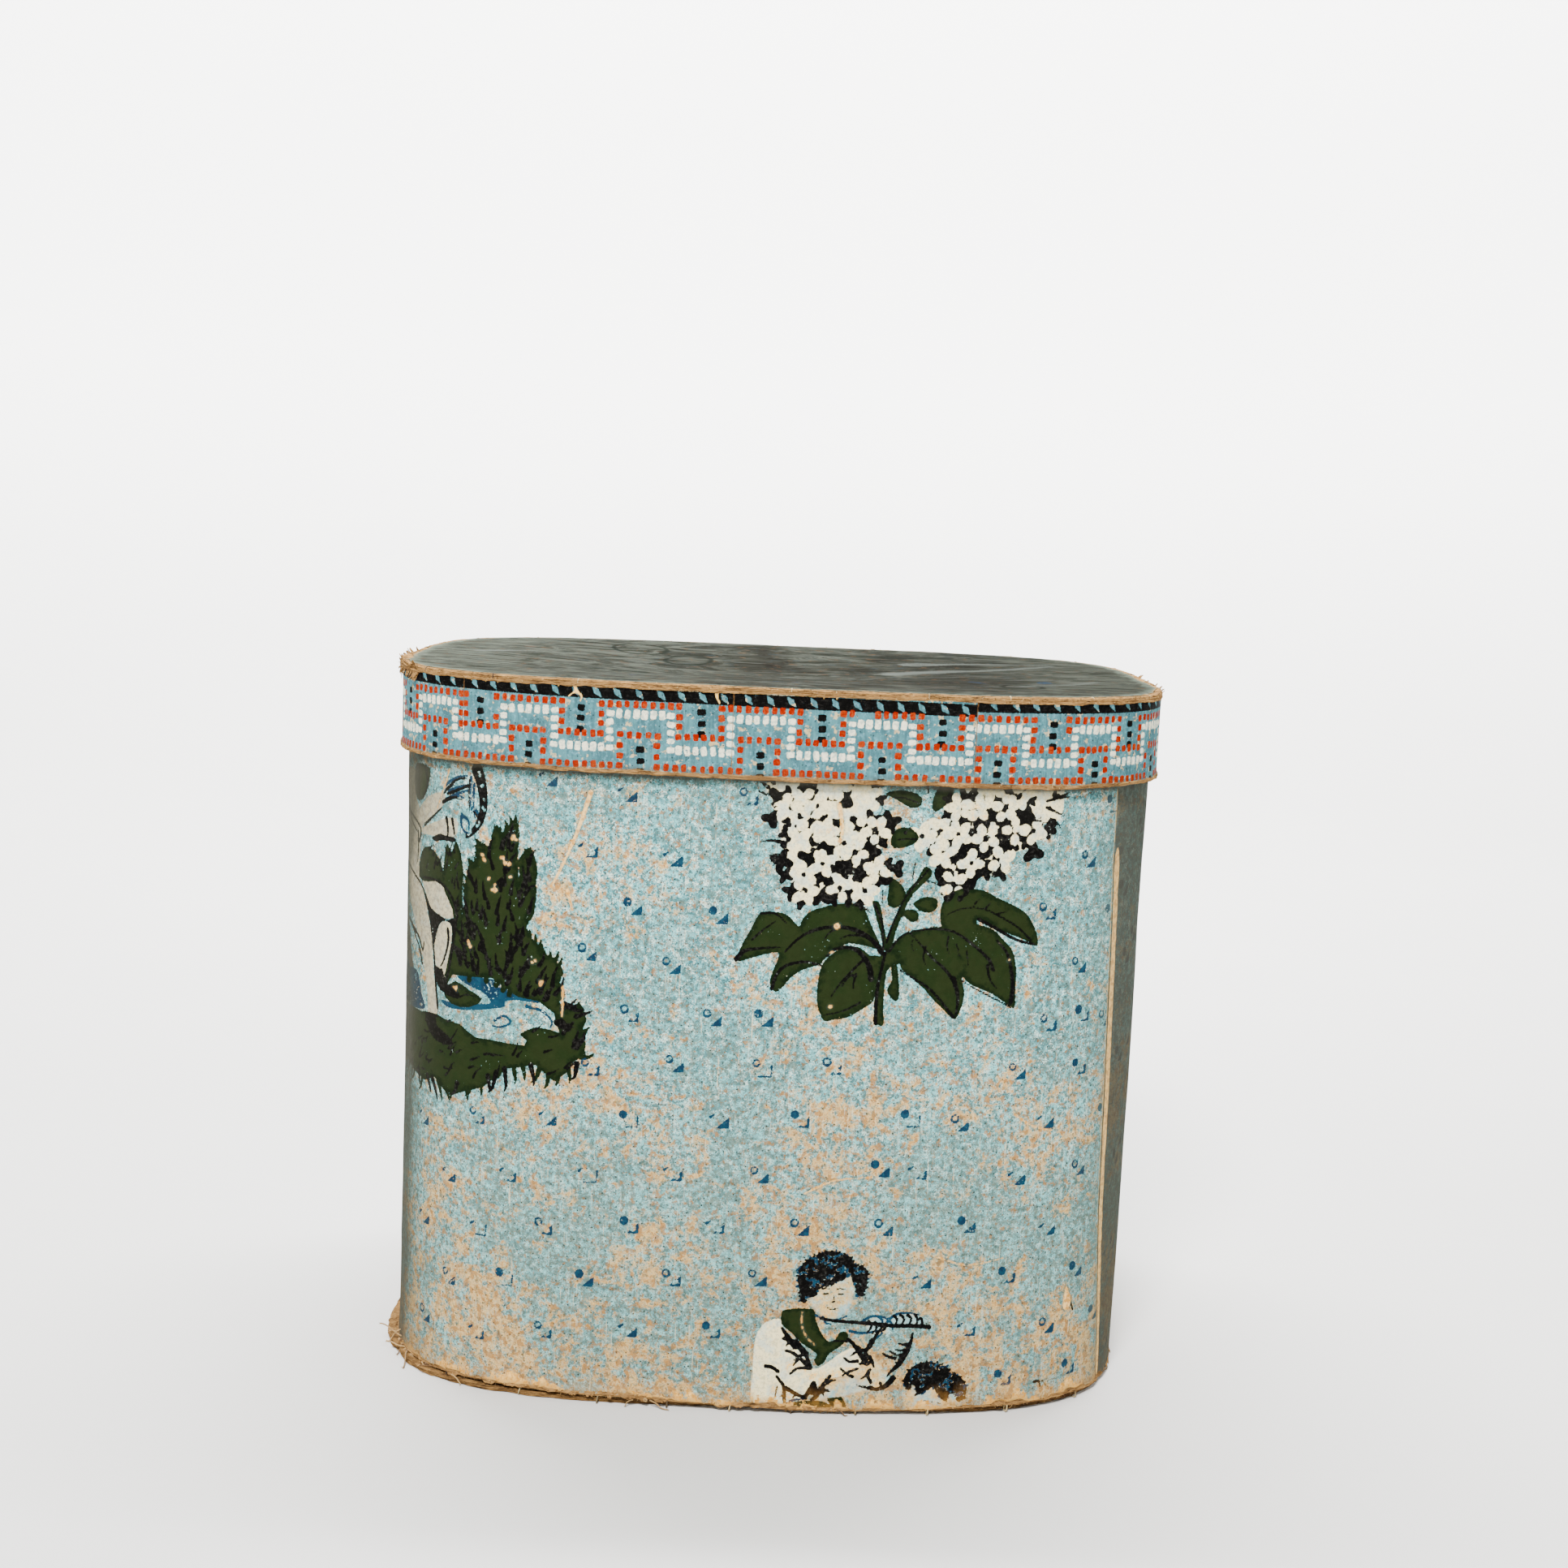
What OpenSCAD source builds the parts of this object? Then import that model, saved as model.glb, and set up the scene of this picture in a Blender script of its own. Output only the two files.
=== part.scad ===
// Oval pasteboard hat box with a lift-off lid.
// The outline is a superellipse; every board, paper and lining is a layer
// set in from the lid's outline by its own depth, so the layers meet face to face.

/* [Size] */
// Length of the lid, left to right
lid_w = 380; // [300:5:460]
// Depth of the lid, front to back
lid_d = 280; // [220:5:340]
// Height of the closed box
box_h = 349; // [200:1:450]
// Squareness of the oval: 2 is an ellipse, higher is boxier
squareness = 3.6; // [2.4:0.1:4.4]

/* [Lid] */
// Height of the lid, rim and top board together
rim_h = 42; // [30:1:60]
// Thickness of the lid's pasteboard
lid_t = 2; // [1.6:0.1:2.6]
// How far the middle of the lid has sunk
dish = 6; // [0:0.5:8]
// Width of bare board left round the paper on the lid
bare_edge = 2.5; // [1:0.5:5]
// Gap between the lid's lining and the box
lid_gap = 0.95; // [0.8:0.05:1.5]

/* [Box] */
// Thickness of the wall's pasteboard
wall_t = 2.2; // [1.6:0.1:3]
// Thickness of the bottom board
bottom_t = 2.4; // [2:0.1:4]
// How far the bottom board has slipped to the left
bottom_slip = 2.5; // [0:0.5:2.5]
// How far the bottom board has slipped to the back
bottom_slip_back = 1.5; // [0:0.5:2.5]
// Height of bare board left under the wall's paper
bare_foot = 4; // [2:0.5:8]

/* [Paper and thread] */
// Thickness of the printed papers with their paste
paper_t = 0.3; // [0.2:0.05:0.4]
// Thickness of the lining papers
lining_t = 0.25; // [0.2:0.05:0.35]
// Thickness of the linen thread
thread_t = 0.7; // [0.5:0.1:0.9]

/* [Hidden] */

N = 120;                    // sides of the oval
half_x = lid_w / 2;
half_y = lid_d / 2;

// heights, from the floor up
wall_z0 = bottom_t;
top_z = box_h - paper_t;            // top of the lid's board
board_z0 = top_z - lid_t;           // underside of the lid's board
wall_z1 = board_z0 - lining_t;      // the lid's lining rests on the wall
rim_z0 = box_h - rim_h;

// depths in from the lid's outline
rim_in = paper_t + lid_t;           // inner face of the rim
rim_lining_in = rim_in + lining_t;
cover_out = rim_lining_in + lid_gap;
wall_out = cover_out + paper_t;
wall_in = wall_out + wall_t;
wall_lining_in = wall_in + lining_t;
flat_zone = wall_lining_in + 4;     // the lid's board stays flat this far in

// where the hoops' pared ends overlap, as corner numbers of the oval
wall_lap = 109;
rim_lap = 29;
lap_wall_t = 1.6;                   // extra thickness at the wall's lap
lap_rim_t = 0.6;                    // extra thickness at the rim's lap

// joins in the printed papers, as corner numbers of the oval
front_join = 110;                   // vertical seam at the right front corner
back_join = 47;                     // vertical seam at the left back corner

// one corner of the lid's outline, by number
function corner_r(a) = pow(pow(abs(cos(a)) / half_x, squareness)
    + pow(abs(sin(a)) / half_y, squareness), -1 / squareness);
function corner(i) = let (a = 360 * i / N) corner_r(a) * [cos(a), sin(a)];

// outward direction at a corner
function grad(p) = [
    sign(p[0]) * pow(abs(p[0]) / half_x, squareness - 1) / half_x,
    sign(p[1]) * pow(abs(p[1]) / half_y, squareness - 1) / half_y];
function out_dir(i) = let (g = grad(corner(i))) g / norm(g);

// a corner set in by d, and all of them
function at(i, d) = corner(i) - d * out_dir(i);
function oval(d) = [for (i = [0 : N - 1]) at(i, d)];

// 1 where a hoop's ends overlap, 0 elsewhere
function lapped(i, lap) = (i >= lap && i <= lap + 3) ? 1 : 0;
function oval_lap(d, lap, extra) = [for (i = [0 : N - 1]) at(i, d + extra * lapped(i, lap))];

// how far a thread lies under a board's face
sunk_in = 0.12;

// a closed hoop between two outlines
module hoop(outer, inner, z0, z1) {
    translate([0, 0, z0]) difference() {
        linear_extrude(z1 - z0) polygon(outer);
        translate([0, 0, -1]) linear_extrude(z1 - z0 + 2) polygon(inner);
    }
}

// an open strip from corner i0 round to corner i1
module strip(d0, d1, z0, z1, i0, i1) {
    translate([0, 0, z0]) linear_extrude(z1 - z0)
        polygon(concat([for (i = [i0 : i1]) at(i, d0)], [for (i = [i1 : -1 : i0]) at(i, d1)]));
}

// how far the lid has sunk at a share s of the way from its middle to its flat edge
function sunk(s) = dish * pow(1 - s * s, 2);
SHARES = [0.7, 0.36];

// one level of a dished sheet: its edge, the end of its flat zone, then rings towards the middle
function level(d, z) = concat(
    [for (p = oval(d)) [p[0], p[1], z]],
    [for (p = oval(flat_zone)) [p[0], p[1], z]],
    [for (s = SHARES) for (p = oval(flat_zone)) [p[0] * s, p[1] * s, z - sunk(s)]],
    [[0, 0, z - sunk(0)]]);

// a dished sheet from z up to z + t, its edge set in by d
module dished(d, z, t) {
    rings = len(SHARES) + 2;
    m = rings * N + 1;                     // points in one level
    up = [for (r = [0 : rings - 2]) for (i = [0 : N - 1])
        let (a = r * N + i, b = r * N + (i + 1) % N) [a, a + N, b + N, b]];
    fan = [for (i = [0 : N - 1]) [(rings - 1) * N + i, m - 1, (rings - 1) * N + (i + 1) % N]];
    tri = concat([for (q = up) [q[0], q[1], q[2]]], [for (q = up) [q[0], q[2], q[3]]], fan);
    side = [for (i = [0 : N - 1]) let (j = (i + 1) % N) [[i, j, m + j], [i, m + j, m + i]]];
    polyhedron(
        points = concat(level(d, z + t), level(d, z)),
        faces = concat(
            tri,
            [for (f = tri) [m + f[2], m + f[1], m + f[0]]],
            [for (s = side) s[0]], [for (s = side) s[1]]));
}

// a stitch: a loop of thread let into the outer and inner faces of a board.
// It sits at the middle of side i of the outline at depth d, and is h tall.
module stitch(i, d, z, board, h) {
    w = board - 2 * sunk_in;
    p = at(i, d + sunk_in);
    q = at((i + 1) % N, d + sunk_in);
    mid = (p + q) / 2;
    translate([mid[0], mid[1], z])
        rotate([0, 0, atan2(q[1] - p[1], q[0] - p[0]) + 90])
            translate([0, -thread_t / 2, 0])
                difference() {
                    cube([w, thread_t, h]);
                    translate([thread_t, -1, thread_t]) cube([w - 2 * thread_t, thread_t + 2, h - 2 * thread_t]);
                }
}

module body_wall() {
    color([0.74, 0.62, 0.44]) difference() {
        hoop(oval(wall_out), oval_lap(wall_in, wall_lap, lap_wall_t), wall_z0, wall_z1);
        bottom_loops();
        wall_seam_loops();
    }
}

module bottom_board() {
    color([0.7, 0.58, 0.4]) difference() {
        translate([-bottom_slip, bottom_slip_back, 0]) linear_extrude(bottom_t) polygon(oval(2.5));
        bottom_loops();
    }
}

// loops that tie the wall's foot to the bottom board
module bottom_loops() {
    for (k = [0 : 4 : N - 1]) stitch(k, wall_out, 0.5, wall_t, bottom_t + 6);
}

module bottom_stitches() {
    color([0.86, 0.8, 0.66]) bottom_loops();
}

// loops down the wall's lap
module wall_seam_loops() {
    for (z = [24 : 24 : wall_z1 - 20]) stitch(wall_lap + 1, wall_out, z, wall_t + lap_wall_t, 9);
}

module wall_seam_stitches() {
    color([0.86, 0.8, 0.66]) wall_seam_loops();
}

module cover_paper_front() {
    color([0.55, 0.68, 0.72])
        strip(cover_out, wall_out, wall_z0 + bare_foot, wall_z1 - 1.5, back_join, front_join);
}

module cover_paper_back() {
    color([0.5, 0.6, 0.6])
        strip(cover_out, wall_out, wall_z0 + bare_foot, wall_z1 - 1.5, front_join, back_join + N);
}

module wall_lining() {
    color([0.85, 0.8, 0.68])
        hoop(oval_lap(wall_in, wall_lap, lap_wall_t), oval_lap(wall_lining_in, wall_lap, lap_wall_t),
            wall_z0 + lining_t, wall_z1 - 3);
}

module bottom_lining() {
    color([0.85, 0.8, 0.68])
        translate([0, 0, wall_z0]) linear_extrude(lining_t) polygon(oval_lap(wall_in, wall_lap, lap_wall_t));
}

module lid_top_board() {
    color([0.76, 0.62, 0.42]) difference() {
        dished(0, board_z0, lid_t);
        lid_loops();
    }
}

module lid_rim() {
    color([0.74, 0.62, 0.44]) difference() {
        hoop(oval(paper_t), oval_lap(rim_in, rim_lap, lap_rim_t), rim_z0, board_z0);
        lid_loops();
        rim_seam_loops();
    }
}

// loops that tie the rim to the lid's top board
module lid_loops() {
    for (k = [2 : 4 : N - 1]) stitch(k, paper_t, board_z0 - 6, lid_t, lid_t + 5.5);
}

module lid_edge_stitches() {
    color([0.86, 0.8, 0.66]) lid_loops();
}

// loops down the rim's lap
module rim_seam_loops() {
    for (z = [rim_z0 + 3 : 10 : board_z0 - 14]) stitch(rim_lap + 2, paper_t, z, lid_t + lap_rim_t, 6);
}

module lid_rim_seam_stitches() {
    color([0.86, 0.8, 0.66]) rim_seam_loops();
}

module lid_top_paper() {
    color([0.45, 0.5, 0.48]) dished(bare_edge, top_z, paper_t);
}

// one length of the printed border round the rim
module border_strip(i0, i1) {
    color([0.42, 0.57, 0.66]) strip(0, paper_t, rim_z0, board_z0, i0, i1);
}

module border_strip_a() { border_strip(73, 87); }
module border_strip_b() { border_strip(87, 101); }
module border_strip_c() { border_strip(101, 131); }
module border_strip_d() { border_strip(52, 73); }
module border_strip_e() { border_strip(31, 52); }
module border_strip_f() { border_strip(11, 31); }

module lid_top_lining() {
    color([0.85, 0.8, 0.68]) dished(rim_lining_in + lap_rim_t, board_z0 - lining_t, lining_t);
}

module lid_rim_lining() {
    color([0.85, 0.8, 0.68])
        hoop(oval_lap(rim_in, rim_lap, lap_rim_t), oval_lap(rim_lining_in, rim_lap, lap_rim_t),
            rim_z0 + 1, board_z0);
}

body_wall();
bottom_board();
bottom_stitches();
wall_seam_stitches();
cover_paper_front();
cover_paper_back();
wall_lining();
bottom_lining();
lid_top_board();
lid_rim();
lid_edge_stitches();
lid_rim_seam_stitches();
lid_top_paper();
border_strip_a();
border_strip_b();
border_strip_c();
border_strip_d();
border_strip_e();
border_strip_f();
lid_top_lining();
lid_rim_lining();
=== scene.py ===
import math

import bpy
import numpy as np
from mathutils import Matrix, Vector


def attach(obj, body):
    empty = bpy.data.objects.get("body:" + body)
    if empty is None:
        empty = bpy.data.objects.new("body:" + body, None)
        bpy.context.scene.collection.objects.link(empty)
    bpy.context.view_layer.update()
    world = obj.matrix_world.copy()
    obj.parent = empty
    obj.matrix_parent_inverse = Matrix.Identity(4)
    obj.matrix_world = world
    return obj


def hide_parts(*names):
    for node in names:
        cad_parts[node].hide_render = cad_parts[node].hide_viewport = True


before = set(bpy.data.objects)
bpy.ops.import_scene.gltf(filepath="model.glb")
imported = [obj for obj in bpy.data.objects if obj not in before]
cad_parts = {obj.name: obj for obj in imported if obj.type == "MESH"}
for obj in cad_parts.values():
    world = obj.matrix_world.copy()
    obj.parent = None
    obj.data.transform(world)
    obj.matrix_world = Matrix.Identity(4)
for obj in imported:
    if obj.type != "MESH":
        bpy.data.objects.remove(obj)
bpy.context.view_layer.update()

MM = 0.001

# ---------------------------------------------------------------- outline
# The same rounded oval as the CAD. u runs along it from the middle of the front, to the right.
HALF_X, HALF_Y, SQ = 190.0, 140.0, 3.6
TH = np.linspace(-math.pi / 2, 1.5 * math.pi, 14401)


def polar(th):
    c, s = np.cos(th), np.sin(th)
    r = ((np.abs(c) / HALF_X) ** SQ + (np.abs(s) / HALF_Y) ** SQ) ** (-1 / SQ)
    p = np.stack([r * c, r * s], -1)
    g = np.stack(
        [
            np.sign(p[..., 0]) * (np.abs(p[..., 0]) / HALF_X) ** (SQ - 1) / HALF_X,
            np.sign(p[..., 1]) * (np.abs(p[..., 1]) / HALF_Y) ** (SQ - 1) / HALF_Y,
        ],
        -1,
    )
    return p, g / np.linalg.norm(g, axis=-1, keepdims=True)


_P = polar(TH)[0]
ARC = np.concatenate([[0.0], np.cumsum(np.hypot(*np.diff(_P, axis=0).T))])
LEN = float(ARC[-1])


def outline(u):
    return polar(np.interp(np.mod(u, LEN), ARC, TH))


def u_of(i):
    """Where corner i of the CAD outline lies along u."""
    k = i - 90
    turns = math.floor(k / 120)
    a = math.radians((k - 120 * turns) * 3 - 90)
    return turns * LEN + float(np.interp(a, TH, ARC))


# ---------------------------------------------------------------- noise
def _lattice(ix, iy, seed):
    h = (ix * 374761393 + iy * 668265263 + seed * 982451653) & 0x7FFFFFFF
    h = ((h ^ (h >> 13)) * 1274126177) & 0x7FFFFFFF
    return ((h ^ (h >> 16)) & 0xFFFFFF) / float(0xFFFFFF) * 2 - 1


def noise2(x, y, seed=0, wrap=0):
    x, y = np.broadcast_arrays(np.asarray(x, float), np.asarray(y, float))
    fx, fy = np.floor(x), np.floor(y)
    ix, iy = fx.astype(np.int64), fy.astype(np.int64)
    tx, ty = x - fx, y - fy
    tx, ty = tx * tx * (3 - 2 * tx), ty * ty * (3 - 2 * ty)
    jx = ix + 1
    if wrap:
        ix, jx = ix % wrap, jx % wrap
    a, b = _lattice(ix, iy, seed), _lattice(jx, iy, seed)
    c, d = _lattice(ix, iy + 1, seed), _lattice(jx, iy + 1, seed)
    return (a + (b - a) * tx) * (1 - ty) + (c + (d - c) * tx) * ty


def along(u, size, seed, octaves=3, gain=0.5, v=0.0, vsize=None):
    """Layered noise round the outline, about -1 to 1, with no jump where u closes."""
    total, amp, norm = 0.0, 1.0, 0.0
    for o in range(octaves):
        n = max(3, round(LEN / (size / 2**o)))
        vs = (vsize or size) / 2**o
        total = total + amp * noise2(np.mod(u, LEN) / LEN * n, np.asarray(v) / vs + 0.37 * o, seed + 17 * o, n)
        norm += amp
        amp *= gain
    return total / norm


def step(a, b, x):
    t = np.clip((np.asarray(x, float) - a) / (b - a), 0, 1)
    return t * t * (3 - 2 * t)


def rand(*key):
    """One number from 0 to 1 for a set of whole numbers."""
    h = 2166136261
    for k in key:
        h = ((h ^ (int(k) & 0xFFFFFFFF)) * 16777619) & 0xFFFFFFFF
        h ^= h >> 15
    h = (h * 2246822519) & 0xFFFFFFFF
    h ^= h >> 13
    return (h & 0xFFFFFF) / float(0xFFFFFF)


# ---------------------------------------------------------------- warp
def plan(u):
    """How far the hand-bent outline bows out, shared by the lid and the box."""
    a = 2 * math.pi * np.mod(u, LEN) / LEN
    return 0.7 * np.sin(3 * a + 0.6) + 0.45 * np.sin(5 * a + 2.1) + 0.2 * np.sin(11 * a + 1.0)


def near(u, c, w):
    """A soft bump of width w round u = c, on the closed outline."""
    d = np.mod(np.asarray(u, float) - c + LEN / 2, LEN) - LEN / 2
    return np.exp(-((d / w) ** 2))


def crease_u(z):
    """The pasted join down the front's right corner leans a little."""
    return np.interp(z, [0, 15, 95, 299, 349], [187.5, 186, 177, 169.5, 168.5])


def belly(u, z):
    """Bulges and dents of the box's wall alone; none of them reaches the lid."""
    f = 1 - step(262, 300, z)
    b = 0.75 * along(u, 95, 5, 2, v=z, vsize=130) + 0.3 * along(u, 34, 9, 2, v=z, vsize=70)
    b = b - 0.55 * near(u, 0, 4.5) * 0
    d = np.mod(np.asarray(u, float) - crease_u(z) - 4 + LEN / 2, LEN) - LEN / 2
    b = b - 0.8 * np.exp(-((d / 4.0) ** 2)) + 0.35 * np.exp(-(((d + 8) / 5.0) ** 2))
    foot = np.exp(-np.clip(z, 0, None) / 13.0)
    b = b + foot * (1.5 * near(u, -40, 120) + 1.2 * near(u, -205, 35) - 0.5 * near(u, 120, 50))
    return f * b


def place(u, z, d, box=True):
    """Millimetre points at arc u, height z and depth d in from the lid's outline."""
    u, z, d = np.broadcast_arrays(np.asarray(u, float), np.asarray(z, float), np.asarray(d, float))
    p, n = outline(u)
    out = plan(u) - d
    if box:
        out = out + belly(u, z)
    return np.concatenate([p + n * out[..., None], z[..., None]], -1)


# ---------------------------------------------------------------- meshes
def build(name, verts, groups, body, stands_for=(), material=None, attrs=None, smooth_angle=50):
    """groups: lists of (loop vertex indices, loops per face, loop uvs)."""
    me = bpy.data.meshes.new(name)
    verts = np.asarray(verts, np.float32) * MM
    me.vertices.add(len(verts))
    me.vertices.foreach_set("co", verts.ravel())
    loops = np.concatenate([np.asarray(g[0], np.int32).ravel() for g in groups])
    sizes = np.concatenate([np.asarray(g[1], np.int32) for g in groups])
    uvs = np.concatenate([np.asarray(g[2], np.float32).reshape(-1, 2) for g in groups])
    me.loops.add(len(loops))
    me.loops.foreach_set("vertex_index", loops)
    me.polygons.add(len(sizes))
    starts = np.concatenate([[0], np.cumsum(sizes)[:-1]]).astype(np.int32)
    me.polygons.foreach_set("loop_start", starts)
    me.update(calc_edges=True)
    layer = me.uv_layers.new(name="OFBake")
    layer.data.foreach_set("uv", uvs.ravel())
    me.polygons.foreach_set("use_smooth", np.ones(len(sizes), bool))
    for key, value in (attrs or {}).items():
        value = np.asarray(value, np.float32)
        kind = "FLOAT_VECTOR" if value.ndim == 2 else "FLOAT"
        a = me.attributes.new(key, kind, "POINT")
        a.data.foreach_set("vector" if value.ndim == 2 else "value", value.ravel())
    me.set_sharp_from_angle(angle=math.radians(smooth_angle))
    me.validate()
    o = bpy.data.objects.new(name, me)
    bpy.context.scene.collection.objects.link(o)
    if material is not None:
        me.materials.append(material)
    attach(o, body)
    if stands_for:
        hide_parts(*stands_for)
    return o


def quads(idx, u0, u1, v0, v1, closed=False, flip=False):
    """Faces of a grid of vertex indices (rows, columns), with uvs over one rectangle."""
    R, C = idx.shape
    nxt = np.roll(idx, -1, 1) if closed else idx[:, 1:]
    cur = idx if closed else idx[:, :-1]
    a, b, c, d = cur[:-1], nxt[:-1], nxt[1:], cur[1:]
    n = cur.shape[1]
    su = u0 + (u1 - u0) * np.arange(n + 1) / n
    sv = v0 + (v1 - v0) * np.arange(R) / (R - 1)
    ua, ub = np.meshgrid(su[:-1], sv[:-1])[0], np.meshgrid(su[1:], sv[:-1])[0]
    va, vd = np.meshgrid(su[:-1], sv[:-1])[1], np.meshgrid(su[:-1], sv[1:])[1]
    loops = np.stack([a, b, c, d], -1).reshape(-1, 4)
    uv = np.stack([np.stack([ua, va], -1), np.stack([ub, va], -1), np.stack([ub, vd], -1), np.stack([ua, vd], -1)], 2).reshape(-1, 4, 2)
    if flip:
        loops, uv = loops[:, ::-1], uv[:, ::-1]
    return loops.ravel(), np.full(len(loops), 4), uv.reshape(-1, 2)


def fans(outer, inner, k, u0, u1, v0, v1, flip=False):
    """Joins a fine edge (n*k+1 points) to a coarse one (n+1 points), one many-sided face each."""
    n = len(inner) - 1
    loops, uv = [], []
    for j in range(n):
        o = outer[j * k : (j + 1) * k + 1][::-1]
        row = list(o) + [inner[j], inner[j + 1]]
        f = u0 + (u1 - u0) * (j + np.linspace(0, 1, k + 1)[::-1]) / n
        pts = [(x, v1) for x in f] + [(u0 + (u1 - u0) * j / n, v0), (u0 + (u1 - u0) * (j + 1) / n, v0)]
        if flip:
            row, pts = row[::-1], pts[::-1]
        loops += row
        uv += pts
    return np.array(loops), np.full(n, k + 3), np.array(uv)


def leaf_sheet(name, outer, inner_fn, ku, kz, body, stands_for, material, attrs):
    """An open sheet of paper: a fine printed face, a coarse pasted one, and its cut edges."""
    R, C = outer.shape[:2]
    inner = inner_fn(slice(None, None, kz), slice(None, None, ku))
    r2, c2 = inner.shape[:2]
    oi = np.arange(R * C).reshape(R, C)
    ii = R * C + np.arange(r2 * c2).reshape(r2, c2)
    groups = [
        quads(oi, 0.002, 0.998, 0.07, 0.998),
        quads(ii, 0.002, 0.998, 0.002, 0.03, flip=True),
        fans(oi[0], ii[0], ku, 0.002, 0.998, 0.034, 0.042),
        fans(oi[-1], ii[-1], ku, 0.002, 0.998, 0.045, 0.053, flip=True),
        fans(oi[:, 0], ii[:, 0], kz, 0.002, 0.49, 0.056, 0.064, flip=True),
        fans(oi[:, -1], ii[:, -1], kz, 0.51, 0.998, 0.056, 0.064),
    ]
    n2 = r2 * c2
    full = {}
    for key, v in attrs.items():
        v = np.asarray(v, np.float32)
        if v.ndim == 3:
            w = v[::kz, ::ku].reshape(n2, 3)
            full[key] = np.concatenate([v.reshape(-1, 3), w])
        else:
            w = np.full(n2, -6.0, np.float32)
            full[key] = np.concatenate([v.ravel(), w])
    verts = np.concatenate([outer.reshape(-1, 3), inner.reshape(-1, 3)])
    return build(name, verts, groups, body, stands_for, material, full)


def lathe(name, rows, body, stands_for, material, attrs=None, poles=(None, None), flip=False, uv_kind="wrap", smooth_angle=50):
    """A closed ring of rows (rows, columns, 3). With poles it is a filled disc, else the last row joins the first."""
    R, C = rows.shape[:2]
    idx = np.arange(R * C).reshape(R, C)
    verts = [rows.reshape(-1, 3)]
    groups = []
    n = R * C
    if poles[0] is None:
        ring = np.concatenate([idx, idx[:1]], 0)
        groups.append(quads(ring, 0.002, 0.998, 0.002, 0.998, closed=True, flip=flip))
    else:
        groups.append(quads(idx, 0.002, 0.998, 0.002, 0.998, closed=True, flip=flip))
        for k, (pole, row) in enumerate(zip(poles, (idx[0], idx[-1]))):
            verts.append(np.array([pole], float))
            nxt = np.roll(row, -1)
            tri = np.stack([nxt, row, np.full(C, n)], -1) if k == 0 else np.stack([row, nxt, np.full(C, n)], -1)
            if flip:
                tri = tri[:, ::-1]
            groups.append((tri.ravel(), np.full(C, 3), np.zeros((C * 3, 2))))
            n += 1
    verts = np.concatenate(verts)
    if uv_kind == "disc":
        # both faces seen flat: the first pole's side in the upper half, the other below, the edge with them
        g2 = []
        mid = R // 2
        for loops, sizes, uv in groups:
            v = verts[loops]
            per = np.repeat(np.arange(len(sizes)), sizes)
            # a face belongs to the side its mean row is on
            rowno = np.where(loops < R * C, loops // C, np.where(loops == R * C, 0, R - 1)).astype(float)
            mean = np.bincount(per, rowno) / np.bincount(per)
            up = (mean < mid)[per]
            x = np.clip((v[:, 0] / 200.0 + 1) / 2, 0.003, 0.997)
            y = np.clip((v[:, 1] / 150.0 + 1) / 2, 0.003, 0.997)
            g2.append((loops, sizes, np.stack([x, np.where(up, 0.505 + 0.49 * y, 0.005 + 0.49 * y)], -1)))
        groups = g2
    full = {}
    for key, v in (attrs or {}).items():
        v = np.asarray(v, np.float32)
        flat = v.reshape(R * C, -1)
        extra = len(verts) - R * C
        if extra:
            flat = np.concatenate([flat, np.array([v[0].reshape(C, -1).mean(0), v[-1].reshape(C, -1).mean(0)])])
        full[key] = flat if flat.shape[1] == 3 else flat[:, 0]
    return build(name, verts, groups, body, stands_for, material, full, smooth_angle)


def tubes(name, paths, radii, body, stands_for, material, sides=6, closed=False, attrs_seed=0):
    """Round threads or fibres along paths, all in one piece."""
    verts, groups, tone, n = [], [], [], 0
    m = math.ceil(math.sqrt(len(paths)))
    for k, (path, rad) in enumerate(zip(paths, radii)):
        p = np.asarray(path, float)
        K = len(p)
        if closed:
            t = np.roll(p, -1, 0) - np.roll(p, 1, 0)
        else:
            t = np.gradient(p, axis=0)
        t /= np.maximum(np.linalg.norm(t, axis=1, keepdims=True), 1e-9)
        ref = np.array([0.31, 0.52, 0.79])
        a = np.cross(t, ref)
        a /= np.maximum(np.linalg.norm(a, axis=1, keepdims=True), 1e-6)
        b = np.cross(t, a)
        r = np.broadcast_to(np.asarray(rad, float), (K,))
        ang = 2 * math.pi * np.arange(sides) / sides
        ring = p[:, None] + r[:, None, None] * (np.cos(ang)[None, :, None] * a[:, None] + np.sin(ang)[None, :, None] * b[:, None])
        idx = n + np.arange(K * sides).reshape(K, sides)
        cu, cv, w = (k % m) / m, (k // m) / m, 1.0 / m
        pad = w * 0.06
        if closed:
            loop = np.concatenate([idx, idx[:1]], 0)
            groups.append(quads(loop, cu + pad, cu + w - pad, cv + pad, cv + w - pad, closed=True, flip=False))
            verts.append(ring.reshape(-1, 3))
            n += K * sides
        else:
            groups.append(quads(idx, cu + pad, cu + w - pad, cv + 2 * pad, cv + w - 2 * pad, closed=True, flip=False))
            for end in (0, 1):
                row = idx[-1] if end else idx[0][::-1]
                s = np.linspace(0, 1, sides)
                groups.append((row, np.array([sides]), np.stack([cu + pad + (w - 2 * pad) * s, np.full(sides, cv + (w - pad if end else pad))], -1)))
            verts.append(ring.reshape(-1, 3))
            n += K * sides
        tone.append(np.full(K * sides, rand(k, attrs_seed)))
    verts = np.concatenate(verts)
    return build(name, verts, groups, body, stands_for, material, {"tone": np.concatenate(tone)}, 80)


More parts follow.
